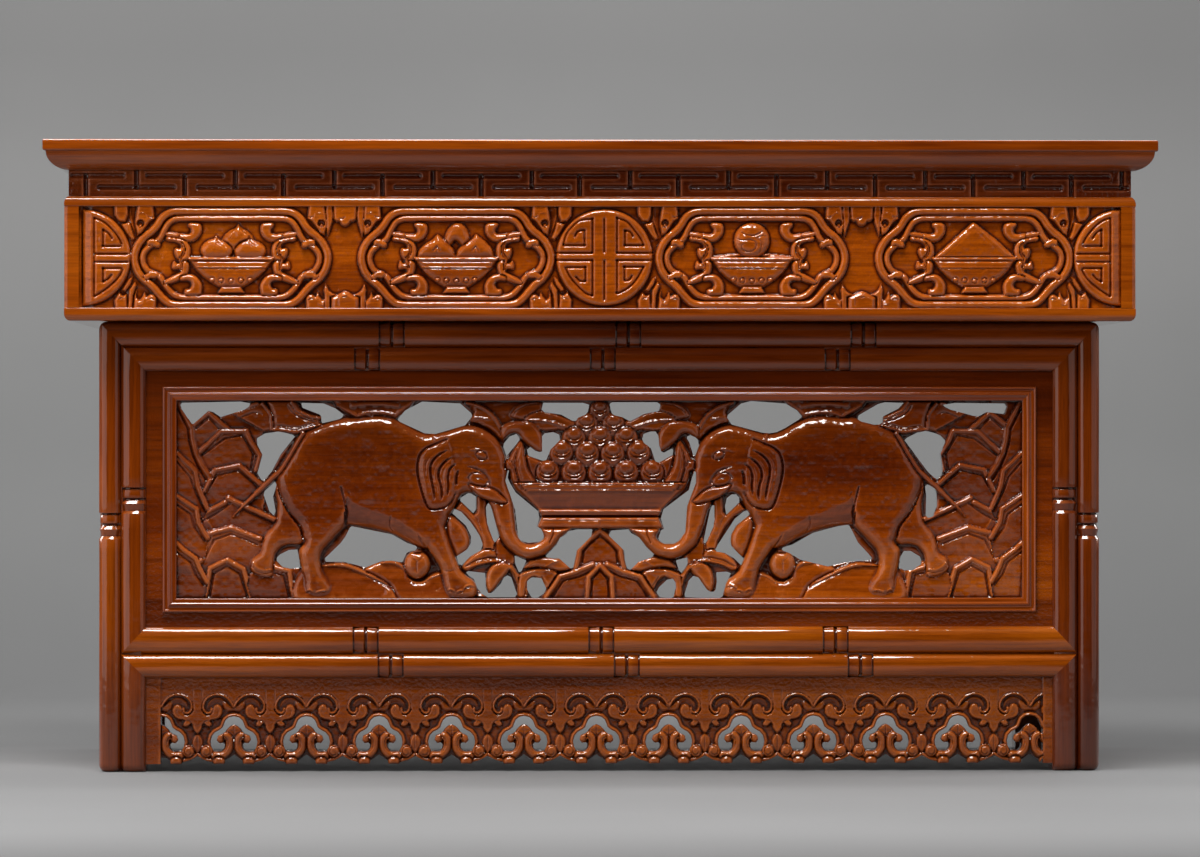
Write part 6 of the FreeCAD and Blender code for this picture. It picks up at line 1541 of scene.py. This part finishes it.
# ------------------------------------------------------------------ lace apron
LP, LC0, LACE_Z0 = 58.05, -2.9, 6.0
ARCH = [(0, 44.2), (4.0, 43.3), (6.7, 41.0), (8.1, 37.8), (9.0, 35.2), (11.3, 33.3), (15.0, 31.4), (17.7, 28.2), (18.8, 23.7), (18.0, 19.5), (16.2, 16.6),
        (9.6, 16.4), (7.6, 18.6), (7.2, 21.6), (8.6, 23.0), (11.6, 22.6), (13.6, 25.0), (12.6, 28.4), (9.2, 29.9), (7.2, 31.2), (5.6, 33.6), (2.8, 36.2), (0, 37.4)]
SCALLOP = [(0, 13.4), (3.4, 10.9), (6.9, 8.6), (7.6, 6.2), (16, 6.0), (16.9, 7.3), (22.5, 8.8), (26.4, 10.8), (29.03, 12.2)]
KL = 0.8013


ORN = [(0, 690), (4.3, 690), (4.3, 703), (4.5, 709.6), (6.6, 713.0), (9.6, 714.6), (12.7, 713.9), (14.6, 711.2), (15.2, 707.6), (17, 704.7), (20, 703.7), (23.2, 705.2), (25.2, 709), (25, 713.5),
       (22.6, 717.2), (18.5, 719.2), (14.6, 719.7), (12.8, 720.6), (14.4, 722.8), (14.5, 725.4), (12, 726.8), (8.8, 725.9), (6.4, 723.4), (5.2, 724.6), (4.6, 728.4), (2.6, 731.6), (0, 733.8)]


def build_lace(length, inner, c0, step=0.6, more=0.0):
    hi = inner + more
    R = Relief(span(-length, length, step), span(LACE_Z0, LOW_Z0, step), -0.8)
    R.H[(R.U < -inner) | (R.U > hi)] = 0.0
    k0 = -int(length / LP) - 2
    cs = [c0 + LP * k for k in range(k0, -k0 + 1)]

    def L(c, s, *f):
        a = np.array(f, float).reshape(-1, 2)
        return np.column_stack([c + s * a[:, 0] * KL, 274.4 + (428.5 - a[:, 1]) * KL])

    # sunk field below the scrolls
    for c in cs:
        for s in (-1, 1):
            R.fill(L(c, s, -0.4, 706.4, 1.0, 705, 3.2, 701.2, 7, 697.2, 11.5, 694.8, 16.3, 693.9, 21, 694.4, 25.4, 696.6, 28.8, 700.2, 30.7, 704.4, 31.2, 708, 36.8, 709, 36.8, 775, -0.4, 775), -3.9, 0, 1, smooth=False)
    for c in cs:
        if c + 36 < -inner or c - 36 > hi:
            continue
        for s in (-1, 1):
            # dished ground under each scroll
            R.fill(L(c, s, -0.3, 705.6, 3.6, 704.6, 7.6, 701.4, 10.6, 700.6, 11.6, 703.4, 10.0, 708.6, 6, 711.4, -0.3, 710.6), -3.9, 1.7, 2.6, smooth=False, mode="max")
            R.rope(L(c, s, 0.5, 706.0, 3.4, 701.2, 7.2, 697.2, 11.6, 694.9, 16.3, 694.0, 21, 694.6, 25.4, 696.8, 28.7, 700.3, 30.4, 704.6, 30.2, 708.8, 28.2, 711.9, 25.2, 712.8, 22.8, 711.4, 22.3, 708.6), 2.3, -2.9, 2.5, gap=0.5, gw=0.6)
            R.rope(L(c, s, 9.4, 701.2, 12.6, 699.2, 16.4, 698.4, 20.6, 699.4, 24.4, 702.8, 25.8, 706.6), 1.7, -4.1, 1.1, taper=(0.3, 0.2))
        o = c + LP / 2
        P = np.array(ORN)
        P = np.vstack([P, np.column_stack([-P[-2:0:-1, 0], P[-2:0:-1, 1]])])
        R.fill(L(o, 1, *P.ravel()), -3.9, 3.2, 1.2, smooth=False, mode="max", power=0.6, gap=0.5, gw=0.8)
        for s in (-1, 1):
            R.ridge(L(o, s, 18.6, 707.4, 21.0, 710.6, 20.2, 714.4, 16.2, 716.6), 0.9, -0.45, taper=(0.3, 0.3))
            R.ridge(L(o, s, 5.6, 723.2, 8.4, 720.6, 12.4, 720.4), 0.9, -0.9, taper=(0.1, 0.3))
        # bud under it
        R.fill(L(o, 1, 0, 733.6, 3.6, 736.6, 5.4, 741, 4.8, 747.6, 0, 753, -4.8, 747.6, -5.4, 741, -3.6, 736.6), -3.7, 2.3, 1.8)
        R.ridge(L(o, 1, 0, 735.4, 0, 751), 0.8, -0.7, smooth=False)
    # moulding round each arch
    up = ARCH[:11]
    for c in cs:
        if c + 20 < -inner or c - 20 > hi:
            continue
        P = np.array([(c + x, z) for x, z in up] + [(c - x, z) for x, z in reversed(up)])
        w = R.win(P, 9.0)
        if R.U[w].size:
            d = -inside_dist(P, R.U[w], R.V[w])
            z = R.V[w]
            H = R.H[w]
            on = (z > 19.5) & (R.U[w] > -inner) & (R.U[w] < hi)
            m1 = on & (d > -0.5) & (d < 2.7)
            H = np.where(m1, -3.7 + 3.0 * np.sqrt(np.clip(1 - ((d - 1.1) / 1.6) ** 2, 0, 1)), H)
            H = np.where(on & (d >= 2.7) & (d < 3.6), np.minimum(H, -4.3), H)
            R.H[w] = H
    for c in cs:
        if c + 20 < -inner - 8 or c - 20 > hi + 8:
            continue
        # leaf in the arch, curls, festoon and small spirals
        R.fill(L(c, 1, 0, 722.6, 3.8, 725, 7.6, 729, 9.4, 734, 7, 750, -7, 750, -9.4, 734, -7.6, 729, -3.8, 725), -4.6, 2.6, 2.6)
        R.ridge(L(c, 1, 0, 724.4, 0, 741), 0.9, -0.8, smooth=False)
        for q in ((1.0, 731, 5.4, 729.5), (1.0, 735, 6.4, 733.2)):
            for s in (-1, 1):
                R.ridge(L(c, s, *q), 0.8, -0.5, smooth=False)
        for s in (-1, 1):
            R.fill(L(c, s, 17, 757, 22, 757.6, 28, 756.6, 33, 753.6, 36.6, 751.6, 36.6, 758, 32, 760.6, 27, 763, 20, 765.4, 14, 764), -3.4, 2.4, 1.8, smooth=False)
            R.rope(L(c, s, 13.6, 739.4, 11.8, 736.2, 8.0, 735.4, 5.0, 738, 4.1, 742.8, 4.9, 748.6, 8.4, 753.2, 13.6, 755.4, 19, 755.0), 6.6, -2.9, 3.7, gap=0.6, gw=0.8, facet=1.5)
            R.fill(L(c, s, 9.8, 733.8, 13.6, 733.2, 16.8, 735.4, 17.8, 738.8, 16.2, 742.0, 12.8, 742.6, 10.6, 740.6), -2.6, 3.7, 2.4)
            R.ridge(L(c, s, 12.6, 736.6, 9.4, 736.2, 6.4, 739.2, 5.9, 744.6, 8.6, 750.2, 14, 753.2), 0.9, -1.2, taper=(0.12, 0.1))
            R.fill(L(c, s, 8.6, 765, 8.4, 759.5, 10.2, 756.4, 14.6, 755.2, 19, 756.2, 21.2, 759.5, 21, 765), -3.0, 4.0, 2.4, smooth=False, gap=0.6, gw=0.8, facet=2.0)
            a = np.radians(np.arange(0, 360, 20))
            R.fill(L(c, s, *np.column_stack([27.0 + 6.6 * np.cos(a), 750.8 + 6.4 * np.sin(a)]).ravel()), -3.0, 3.8, 3.0, gap=0.6, gw=0.8, n=2)
            R.ridge(L(c, s, 33.4, 752, 31.6, 747.6, 27.6, 746.2, 24.0, 748.2, 23.4, 752.4, 26.6, 755, 29.6, 753, 28.4, 750.6), 1.0, -1.5, taper=(0.05, 0.15))
    for c in cs:
        if c + 20 < -inner or c - 20 > hi:
            continue
        P = np.array([(c + x, z) for x, z in ARCH] + [(c - x, z) for x, z in reversed(ARCH[1:-1])])
        if P[:, 0].min() < -inner or P[:, 0].max() > hi:
            P[:, 0] = np.clip(P[:, 0], -inner, hi)
        R.hole(P, n=3, smooth=False)
    low = []
    for c in cs:
        low += [(c - x, z) for x, z in reversed(SCALLOP)] + [(c + x, z) for x, z in SCALLOP[1:]]
    low = sorted(set((round(x, 2), z) for x, z in low))
    low = [p for p in low if -inner + 1 < p[0] < hi - 1]
    big = [(-length - 9, 90.0), (-length - 9, LACE_Z0 - 9), (-inner, LACE_Z0 - 9), (-inner, 11.0)] + low + [(hi, 11.0), (hi, LACE_Z0 - 9), (length + 9, LACE_Z0 - 9), (length + 9, 90.0)]
    R.outside(big)
    R.H[(R.U < -inner) | (R.U > hi)] = 0.0
    flat = (R.U < -inner) | (R.U > hi)
    keep = R.H.copy()
    R.finish(wobble=0.05, edge=0.8, seed=41, soften=1)
    R.H = np.where(flat, np.maximum(R.H, keep - 0.4), R.H)
    return R


RL = build_lace(IX, IX - 12.0, LC0, more=4.5)
# painted shade: the lace's hollows are darkened more
RL.C = np.where(RL.C < 0, RL.C * 1.6, RL.C)
# painted shadow of the lower rail across the top strip of the lace
RL.C = RL.C - 0.34 * np.clip((RL.V - 63.0) / 4.0, 0, 1)
relief_piece("lace_front_visual", relief_arrays(RL, 10.0), face_front(-HY + 6.7), L_X, replaces=("lace_apron_front",))
RLs = build_lace(IY, IY - 8.0, 0.0)
ALs = relief_arrays(RLs, 10.0)
relief_piece("lace_left_visual", ALs, face_left(-HX + 6.7), L_Y, replaces=("lace_apron_left",))
relief_piece("lace_right_visual", ALs, face_right(HX - 6.7), L_Y, flip=True, replaces=("lace_apron_right",))

# ------------------------------------------------------------------ side openwork: one elephant walking to the front
SIDE_C, SIDE_K = 193.2, 0.84


def build_side():
    ub = np.concatenate([[-IY, -124.0, -112.6], span(-111.9, 111.9, 0.62), [112.6, 124.0, IY]])
    vs = np.concatenate([[LOW_Z1, 127.0, 137.4], span(138.4, 296.9, 0.72), [298.2, 309.0, ZU]])
    R = Relief(ub / SIDE_K - SIDE_C, vs, 0.0)
    W = 112.0 / SIDE_K
    m = (np.abs(R.U + SIDE_C) < W) & (R.V > 138.2) & (R.V < 297.1)
    R.H[m] = -8.0
    clouds_left(R)
    rocks_left(R)
    hills(R)
    plants(R)
    elephant(R, side=True)
    R.H = np.where(m, R.H, 0.0)
    for h in OPENINGS_SIDE:
        P = np.array(h, float)
        R.hole(np.column_stack([-P[:, 0] / SIDE_K - SIDE_C, P[:, 1]]), smooth=False)
    keep = R.H.copy()
    R.finish(wobble=0.16, edge=1.3, seed=6)
    R.H = np.where(m, R.H, keep)
    R.C = np.where(m, R.C, 0.0)
    R.us = ub
    R.U = np.tile(ub, (len(vs), 1))
    return R


RSd = build_side()
ASd = relief_arrays(RSd, PANEL_T)
relief_piece("openwork_left_visual", ASd, face_left(-HX + PANEL_Y), O_Y, replaces=("openwork_panel_left",))
relief_piece("openwork_right_visual", ASd, face_right(HX - PANEL_Y), O_Y, flip=True, replaces=("openwork_panel_right",))

# ------------------------------------------------------------------ beading round the openwork
BEAD_W, BEAD_IN = 11.3, 13.1
bead_prof = [(0.0, 0.0), (0.0, 2.5), (0.15, 3.1), (0.6, 3.5), (1.2, 3.6), (1.8, 3.3), (2.1, 2.7), (2.5, 2.3), (3.4, 2.15), (4.4, 2.25), (4.9, 2.6), (5.1, 3.4), (5.4, 4.0), (6.0, 4.35), (6.7, 4.3), (7.2, 3.95), (7.5, 3.7),
             (8.6, 3.5), (10.0, 3.4), (10.6, 3.25), (10.9, 3.0), (11.1, 2.65), (11.25, 2.0), (BEAD_W, 0.5), (BEAD_W, 0.0)]


def beading(prefix, half_u, face, mats, nodes, flip=False):
    z0, z1 = LOW_Z1 + 11.7, ZU - 12.5
    cz, hz = (z0 + z1) / 2, (z1 - z0) / 2
    allV, allF, off = [], [], 0
    for side in range(4):
        n = len(bead_prof)
        rows = []
        sub = 10
        for k in range(sub + 1):
            t = k / sub
            for a, h in bead_prof:
                uo, zo = half_u - a, hz - a
                c = [((-uo, zo), (uo, zo)), ((uo, -zo), (-uo, -zo)), ((-uo, -zo), (-uo, zo)), ((uo, zo), (uo, -zo))][side]
                wv = 0.10 * math.sin(k * 2.1 + side) if 0 < k < sub and h > 0.5 else 0.0
                rows.append((c[0][0] + (c[1][0] - c[0][0]) * t, cz + c[0][1] + (c[1][1] - c[0][1]) * t, h + wv))
        A = np.array(rows)
        V = face(A[:, 0], A[:, 1], A[:, 2])
        F = grid_faces(sub + 1, n)
        F.append(tuple(range(n)))
        F.append(tuple(range(sub * n, sub * n + n))[::-1])
        F = F[:-2] + [F[-2][::-1], F[-1][::-1]]
        F = orient(V, F)
        if nodes[side] is not None and mats[side] is not None:
            make_object("%s_%s_visual" % (prefix, ("top", "bottom", "left", "right")[side]), V * MM, F, mats[side], replaces=(nodes[side],), sharp=35)
        else:
            allV.append(V)
            allF += [tuple(i + off for i in f) for f in F]
            off += len(V)
    return allV, allF


beading("bead_front", IX - BEAD_IN, face_front(-HY + PANEL_Y), (B_X, B_X, B_Z, B_Z), ("bead_front_top", "bead_front_bottom", "bead_front_left", "bead_front_right"))
for nm, fc in (("beads_left", face_left(-HX + PANEL_Y)), ("beads_right", face_right(HX - PANEL_Y))):
    vv, ff = beading(nm, IY - BEAD_IN, fc, (None,) * 4, (None,) * 4)
    make_object(nm + "_visual", np.vstack(vv) * MM, ff, B_Y, replaces=(nm,), sharp=35)

# ------------------------------------------------------------------ studio
def card(name, size, loc, aim, power, color=(1, 1, 1), spread=180.0):
    d = bpy.data.lights.new(name, "AREA")
    d.shape = "RECTANGLE"
    d.size, d.size_y = size
    d.energy = power
    d.color = color
    d.spread = math.radians(spread)
    o = bpy.data.objects.new(name, d)
    o.location = loc
    o.rotation_euler = (Vector(aim) - Vector(loc)).to_track_quat("-Z", "Y").to_euler()
    o.visible_camera = False
    bpy.context.scene.collection.objects.link(o)
    return o


card("key", (2.2, 0.6), (-0.56, -0.88, 2.3), (0, -0.17, 0.25), 114.0)
card("top", (2.0, 1.0), (0.0, 0.1, 2.3), (0, -0.1, 0.4), 8.0)
card("side_left", (1.9, 1.5), (-1.65, -1.05, 0.62), (-0.55, 0.45, 0.4), 7.6)
card("side_right", (1.9, 1.5), (1.65, -1.05, 0.62), (0.55, 0.45, 0.4), 3.4)
card("end_left", (1.2, 1.0), (-2.1, 0.45, 1.1), (-0.3, 0.05, 0.25), 15.0, spread=100.0)
card("end_right", (1.2, 1.0), (2.1, 0.45, 1.1), (0.3, 0.05, 0.25), 15.0, spread=100.0)
card("back", (1.8, 0.8), (0.5, 1.05, 2.0), (0, 0.1, 0.2), 20.0)
card("backdrop_light", (5.0, 0.6), (0.0, 0.75, 3.4), (0, 1.9, 1.2), 95.0)
fill = card("fill", (2.0, 1.4), (-1.1, -2.9, 1.2), (0, -0.2, 0.25), 40.0)
fill.visible_glossy = False

w = bpy.data.worlds.new("studio")
bpy.context.scene.world = w
w.use_nodes = True
w.node_tree.nodes["Background"].inputs[0].default_value = (1.0, 1.0, 1.0, 1)
w.node_tree.nodes["Background"].inputs[1].default_value = 0.035
bpy.context.scene.view_settings.view_transform = "Standard"
bpy.context.scene.view_settings.look = "None"


def one_way(m, edge=None):
    """Seen from behind, a studio wall does not hide the table. edge: (x0, x1, y0, y1) lets the sheet fade out over |x| and -y."""
    nt = m.node_tree
    ge = nt.nodes.new("ShaderNodeNewGeometry")
    fac = ge.outputs["Backfacing"]
    if edge:
        t = nt.nodes.new("ShaderNodeTexCoord")
        sp = nt.nodes.new("ShaderNodeSeparateXYZ")
        nt.links.new(t.outputs["Object"], sp.inputs[0])
        for axis, op, lo, hi in (("X", "ABSOLUTE", edge[0], edge[1]), ("Y", "MULTIPLY", edge[2], edge[3])):
            q = nt.nodes.new("ShaderNodeMath")
            q.operation = op
            nt.links.new(sp.outputs[axis], q.inputs[0])
            q.inputs[1].default_value = -1.0
            mr = nt.nodes.new("ShaderNodeMapRange")
            mr.interpolation_type = "SMOOTHSTEP"
            mr.inputs["From Min"].default_value = lo
            mr.inputs["From Max"].default_value = hi
            nt.links.new(q.outputs[0], mr.inputs["Value"])
            mx_ = nt.nodes.new("ShaderNodeMath")
            mx_.operation = "MAXIMUM"
            nt.links.new(fac, mx_.inputs[0])
            nt.links.new(mr.outputs[0], mx_.inputs[1])
            fac = mx_.outputs[0]
    tr = nt.nodes.new("ShaderNodeBsdfTransparent")
    mx = nt.nodes.new("ShaderNodeMixShader")
    nt.links.new(fac, mx.inputs[0])
    nt.links.new(nt.nodes["Principled BSDF"].outputs[0], mx.inputs[1])
    nt.links.new(tr.outputs[0], mx.inputs[2])
    nt.links.new(mx.outputs[0], nt.nodes["Material Output"].inputs["Surface"])
    return m


def paper(name):
    """Grey studio paper with painted light and shade: pale in front and under the table, darker behind it as a painted
    shadow, darker far out in front as painted shade of the unlit room, lighter again up the background as painted
    light.
    """
    m = bpy.data.materials.new(name)
    m.use_nodes = True
    nt = m.node_tree
    b = nt.nodes["Principled BSDF"]
    t = nt.nodes.new("ShaderNodeTexCoord")
    n = nt.nodes.new("ShaderNodeTexNoise")
    n.inputs["Scale"].default_value = 2.5
    n.inputs["Detail"].default_value = 3.0
    nt.links.new(t.outputs["Object"], n.inputs["Vector"])
    sp = nt.nodes.new("ShaderNodeSeparateXYZ")
    nt.links.new(t.outputs["Object"], sp.inputs[0])

    def ramp(src, lo, hi, stops):
        mr = nt.nodes.new("ShaderNodeMapRange")
        mr.inputs["From Min"].default_value = lo
        mr.inputs["From Max"].default_value = hi
        nt.links.new(src, mr.inputs["Value"])
        r = nt.nodes.new("ShaderNodeValToRGB")
        r.color_ramp.interpolation = "EASE"
        e = r.color_ramp.elements
        while len(e) < len(stops):
            e.new(0.5)
        for k, (p, c) in enumerate(stops):
            e[k].position, e[k].color = p, (*c, 1)
        nt.links.new(mr.outputs[0], r.inputs[0])
        return r.outputs[0]

    def mix(kind, fac, a, c):
        x = nt.nodes.new("ShaderNodeMix")
        x.data_type = "RGBA"
        x.blend_type = kind
        x.inputs[0].default_value = fac
        nt.links.new(a, x.inputs[6])
        nt.links.new(c, x.inputs[7])
        return x.outputs[2]

    g = lambda v, w_=0.0: (v, v * (1 - w_), v * (1 - w_ * 0.4))
    # depth: a painted shadow behind the table and painted shade far out in front, pale in between
    depth = ramp(sp.outputs["Y"], -2.0, 1.0, [(0.0, g(0.04)), (0.22, g(0.05)), (0.40, g(0.118)), (0.62, g(0.118)), (0.68, g(0.086)), (0.74, g(0.056)), (1.0, g(0.074))])
    # rise: painted light, lighter up the background
    rise = ramp(sp.outputs["Z"], 0.0, 2.4, [(0.0, (1.0, 1.0, 1.0)), (0.10, (1.25, 1.25, 1.24)), (0.25, (1.9, 1.89, 1.87)), (0.7, (2.1, 2.1, 2.08))])
    c = mix("MULTIPLY", 1.0, depth, rise)
    v = ramp(n.outputs["Fac"], 0.3, 0.7, [(0.0, g(0.97)), (1.0, g(1.03))])
    c = mix("MULTIPLY", 1.0, c, v)
    nt.links.new(c, b.inputs["Base Color"])
    b.inputs["Roughness"].default_value = 0.75
    b.inputs["Specular IOR Level"].default_value = 0.3
    return one_way(m, (1.3, 2.1, 1.2, 1.9))


# floor that sweeps up into a grey background
pts = [(-13.0, 0.0), (-3.5, 0.0), (-1.5, 0.0), (-0.5, 0.0), (0.1, 0.0), (0.5, 0.0)] + [(1.05, 0.0)] + [(1.05 + 0.7 * math.sin(math.radians(a)), 0.7 - 0.7 * math.cos(math.radians(a))) for a in range(6, 91, 6)] + [(1.75, 1.5), (1.75, 4.2)]
V = [(x, y, z) for y, z in pts for x in (-13.0, 13.0)]
F = [(2 * k, 2 * k + 1, 2 * k + 3, 2 * k + 2) for k in range(len(pts) - 1)]
me = bpy.data.meshes.new("floor")
me.from_pydata(V, [], F)
me.polygons.foreach_set("use_smooth", [True] * len(me.polygons))
fl = bpy.data.objects.new("floor", me)
bpy.context.scene.collection.objects.link(fl)
me.materials.append(paper("floor_paper"))

# round studio wall and outer floor, for the other sides: a dark one that the varnish mirrors, standing in as painted
# shade for the unlit room, and a pale one that glows as painted light and that the camera sees
def surround(name, z0, base, glow):
    V, F = [], []
    n = 72
    for k in range(n):
        a = 2 * math.pi * k / n
        for r, z in ((0.0, z0), (3.0, z0), (12.0, z0), (13.0, z0 + 0.45), (13.4, z0 + 1.4), (13.5, 6.0)):
            V.append((r * math.cos(a), r * math.sin(a), z))
    for k in range(n):
        q = (k + 1) % n
        for j in range(1, 5):
            F.append((6 * k + j, 6 * k + j + 1, 6 * q + j + 1, 6 * q + j))
        F.append((6 * k, 6 * k + 1, 6 * q + 1))
    me = bpy.data.meshes.new(name)
    me.from_pydata(V, [], F)
    me.polygons.foreach_set("use_smooth", [True] * len(me.polygons))
    o = bpy.data.objects.new(name, me)
    bpy.context.scene.collection.objects.link(o)
    m = bpy.data.materials.new(name + "_paper")
    m.use_nodes = True
    p = m.node_tree.nodes["Principled BSDF"]
    p.inputs["Base Color"].default_value = (base, base, base * 0.99, 1)
    p.inputs["Roughness"].default_value = 0.8
    if glow:
        p.inputs["Specular IOR Level"].default_value = 0.0
        p.inputs["Emission Color"].default_value = (1.0, 1.0, 0.99, 1)
        p.inputs["Emission Strength"].default_value = glow
    me.materials.append(one_way(m))
    return o


surround("surround", -0.004, 0.045, 0.0).visible_camera = False
pale = surround("surround_pale", -0.008, 0.0, 0.25)
pale.visible_diffuse = pale.visible_glossy = pale.visible_transmission = pale.visible_volume_scatter = pale.visible_shadow = False

# ------------------------------------------------------------------ camera at the photograph's angle
PHI = math.radians(1.5)
CDIST = 4.6
cam = bpy.data.cameras.new("camera")
cam.lens = 172.5
cam.sensor_width = 36.0
cam.clip_end = 50
co = bpy.data.objects.new("camera", cam)
dx, dy = math.sin(PHI), math.cos(PHI)
co.location = (-0.0003 - CDIST * dx, -0.1735 - CDIST * dy, 0.2744)
co.rotation_euler = (math.pi / 2, 0, -PHI)
bpy.context.scene.collection.objects.link(co)
bpy.context.scene.camera = co
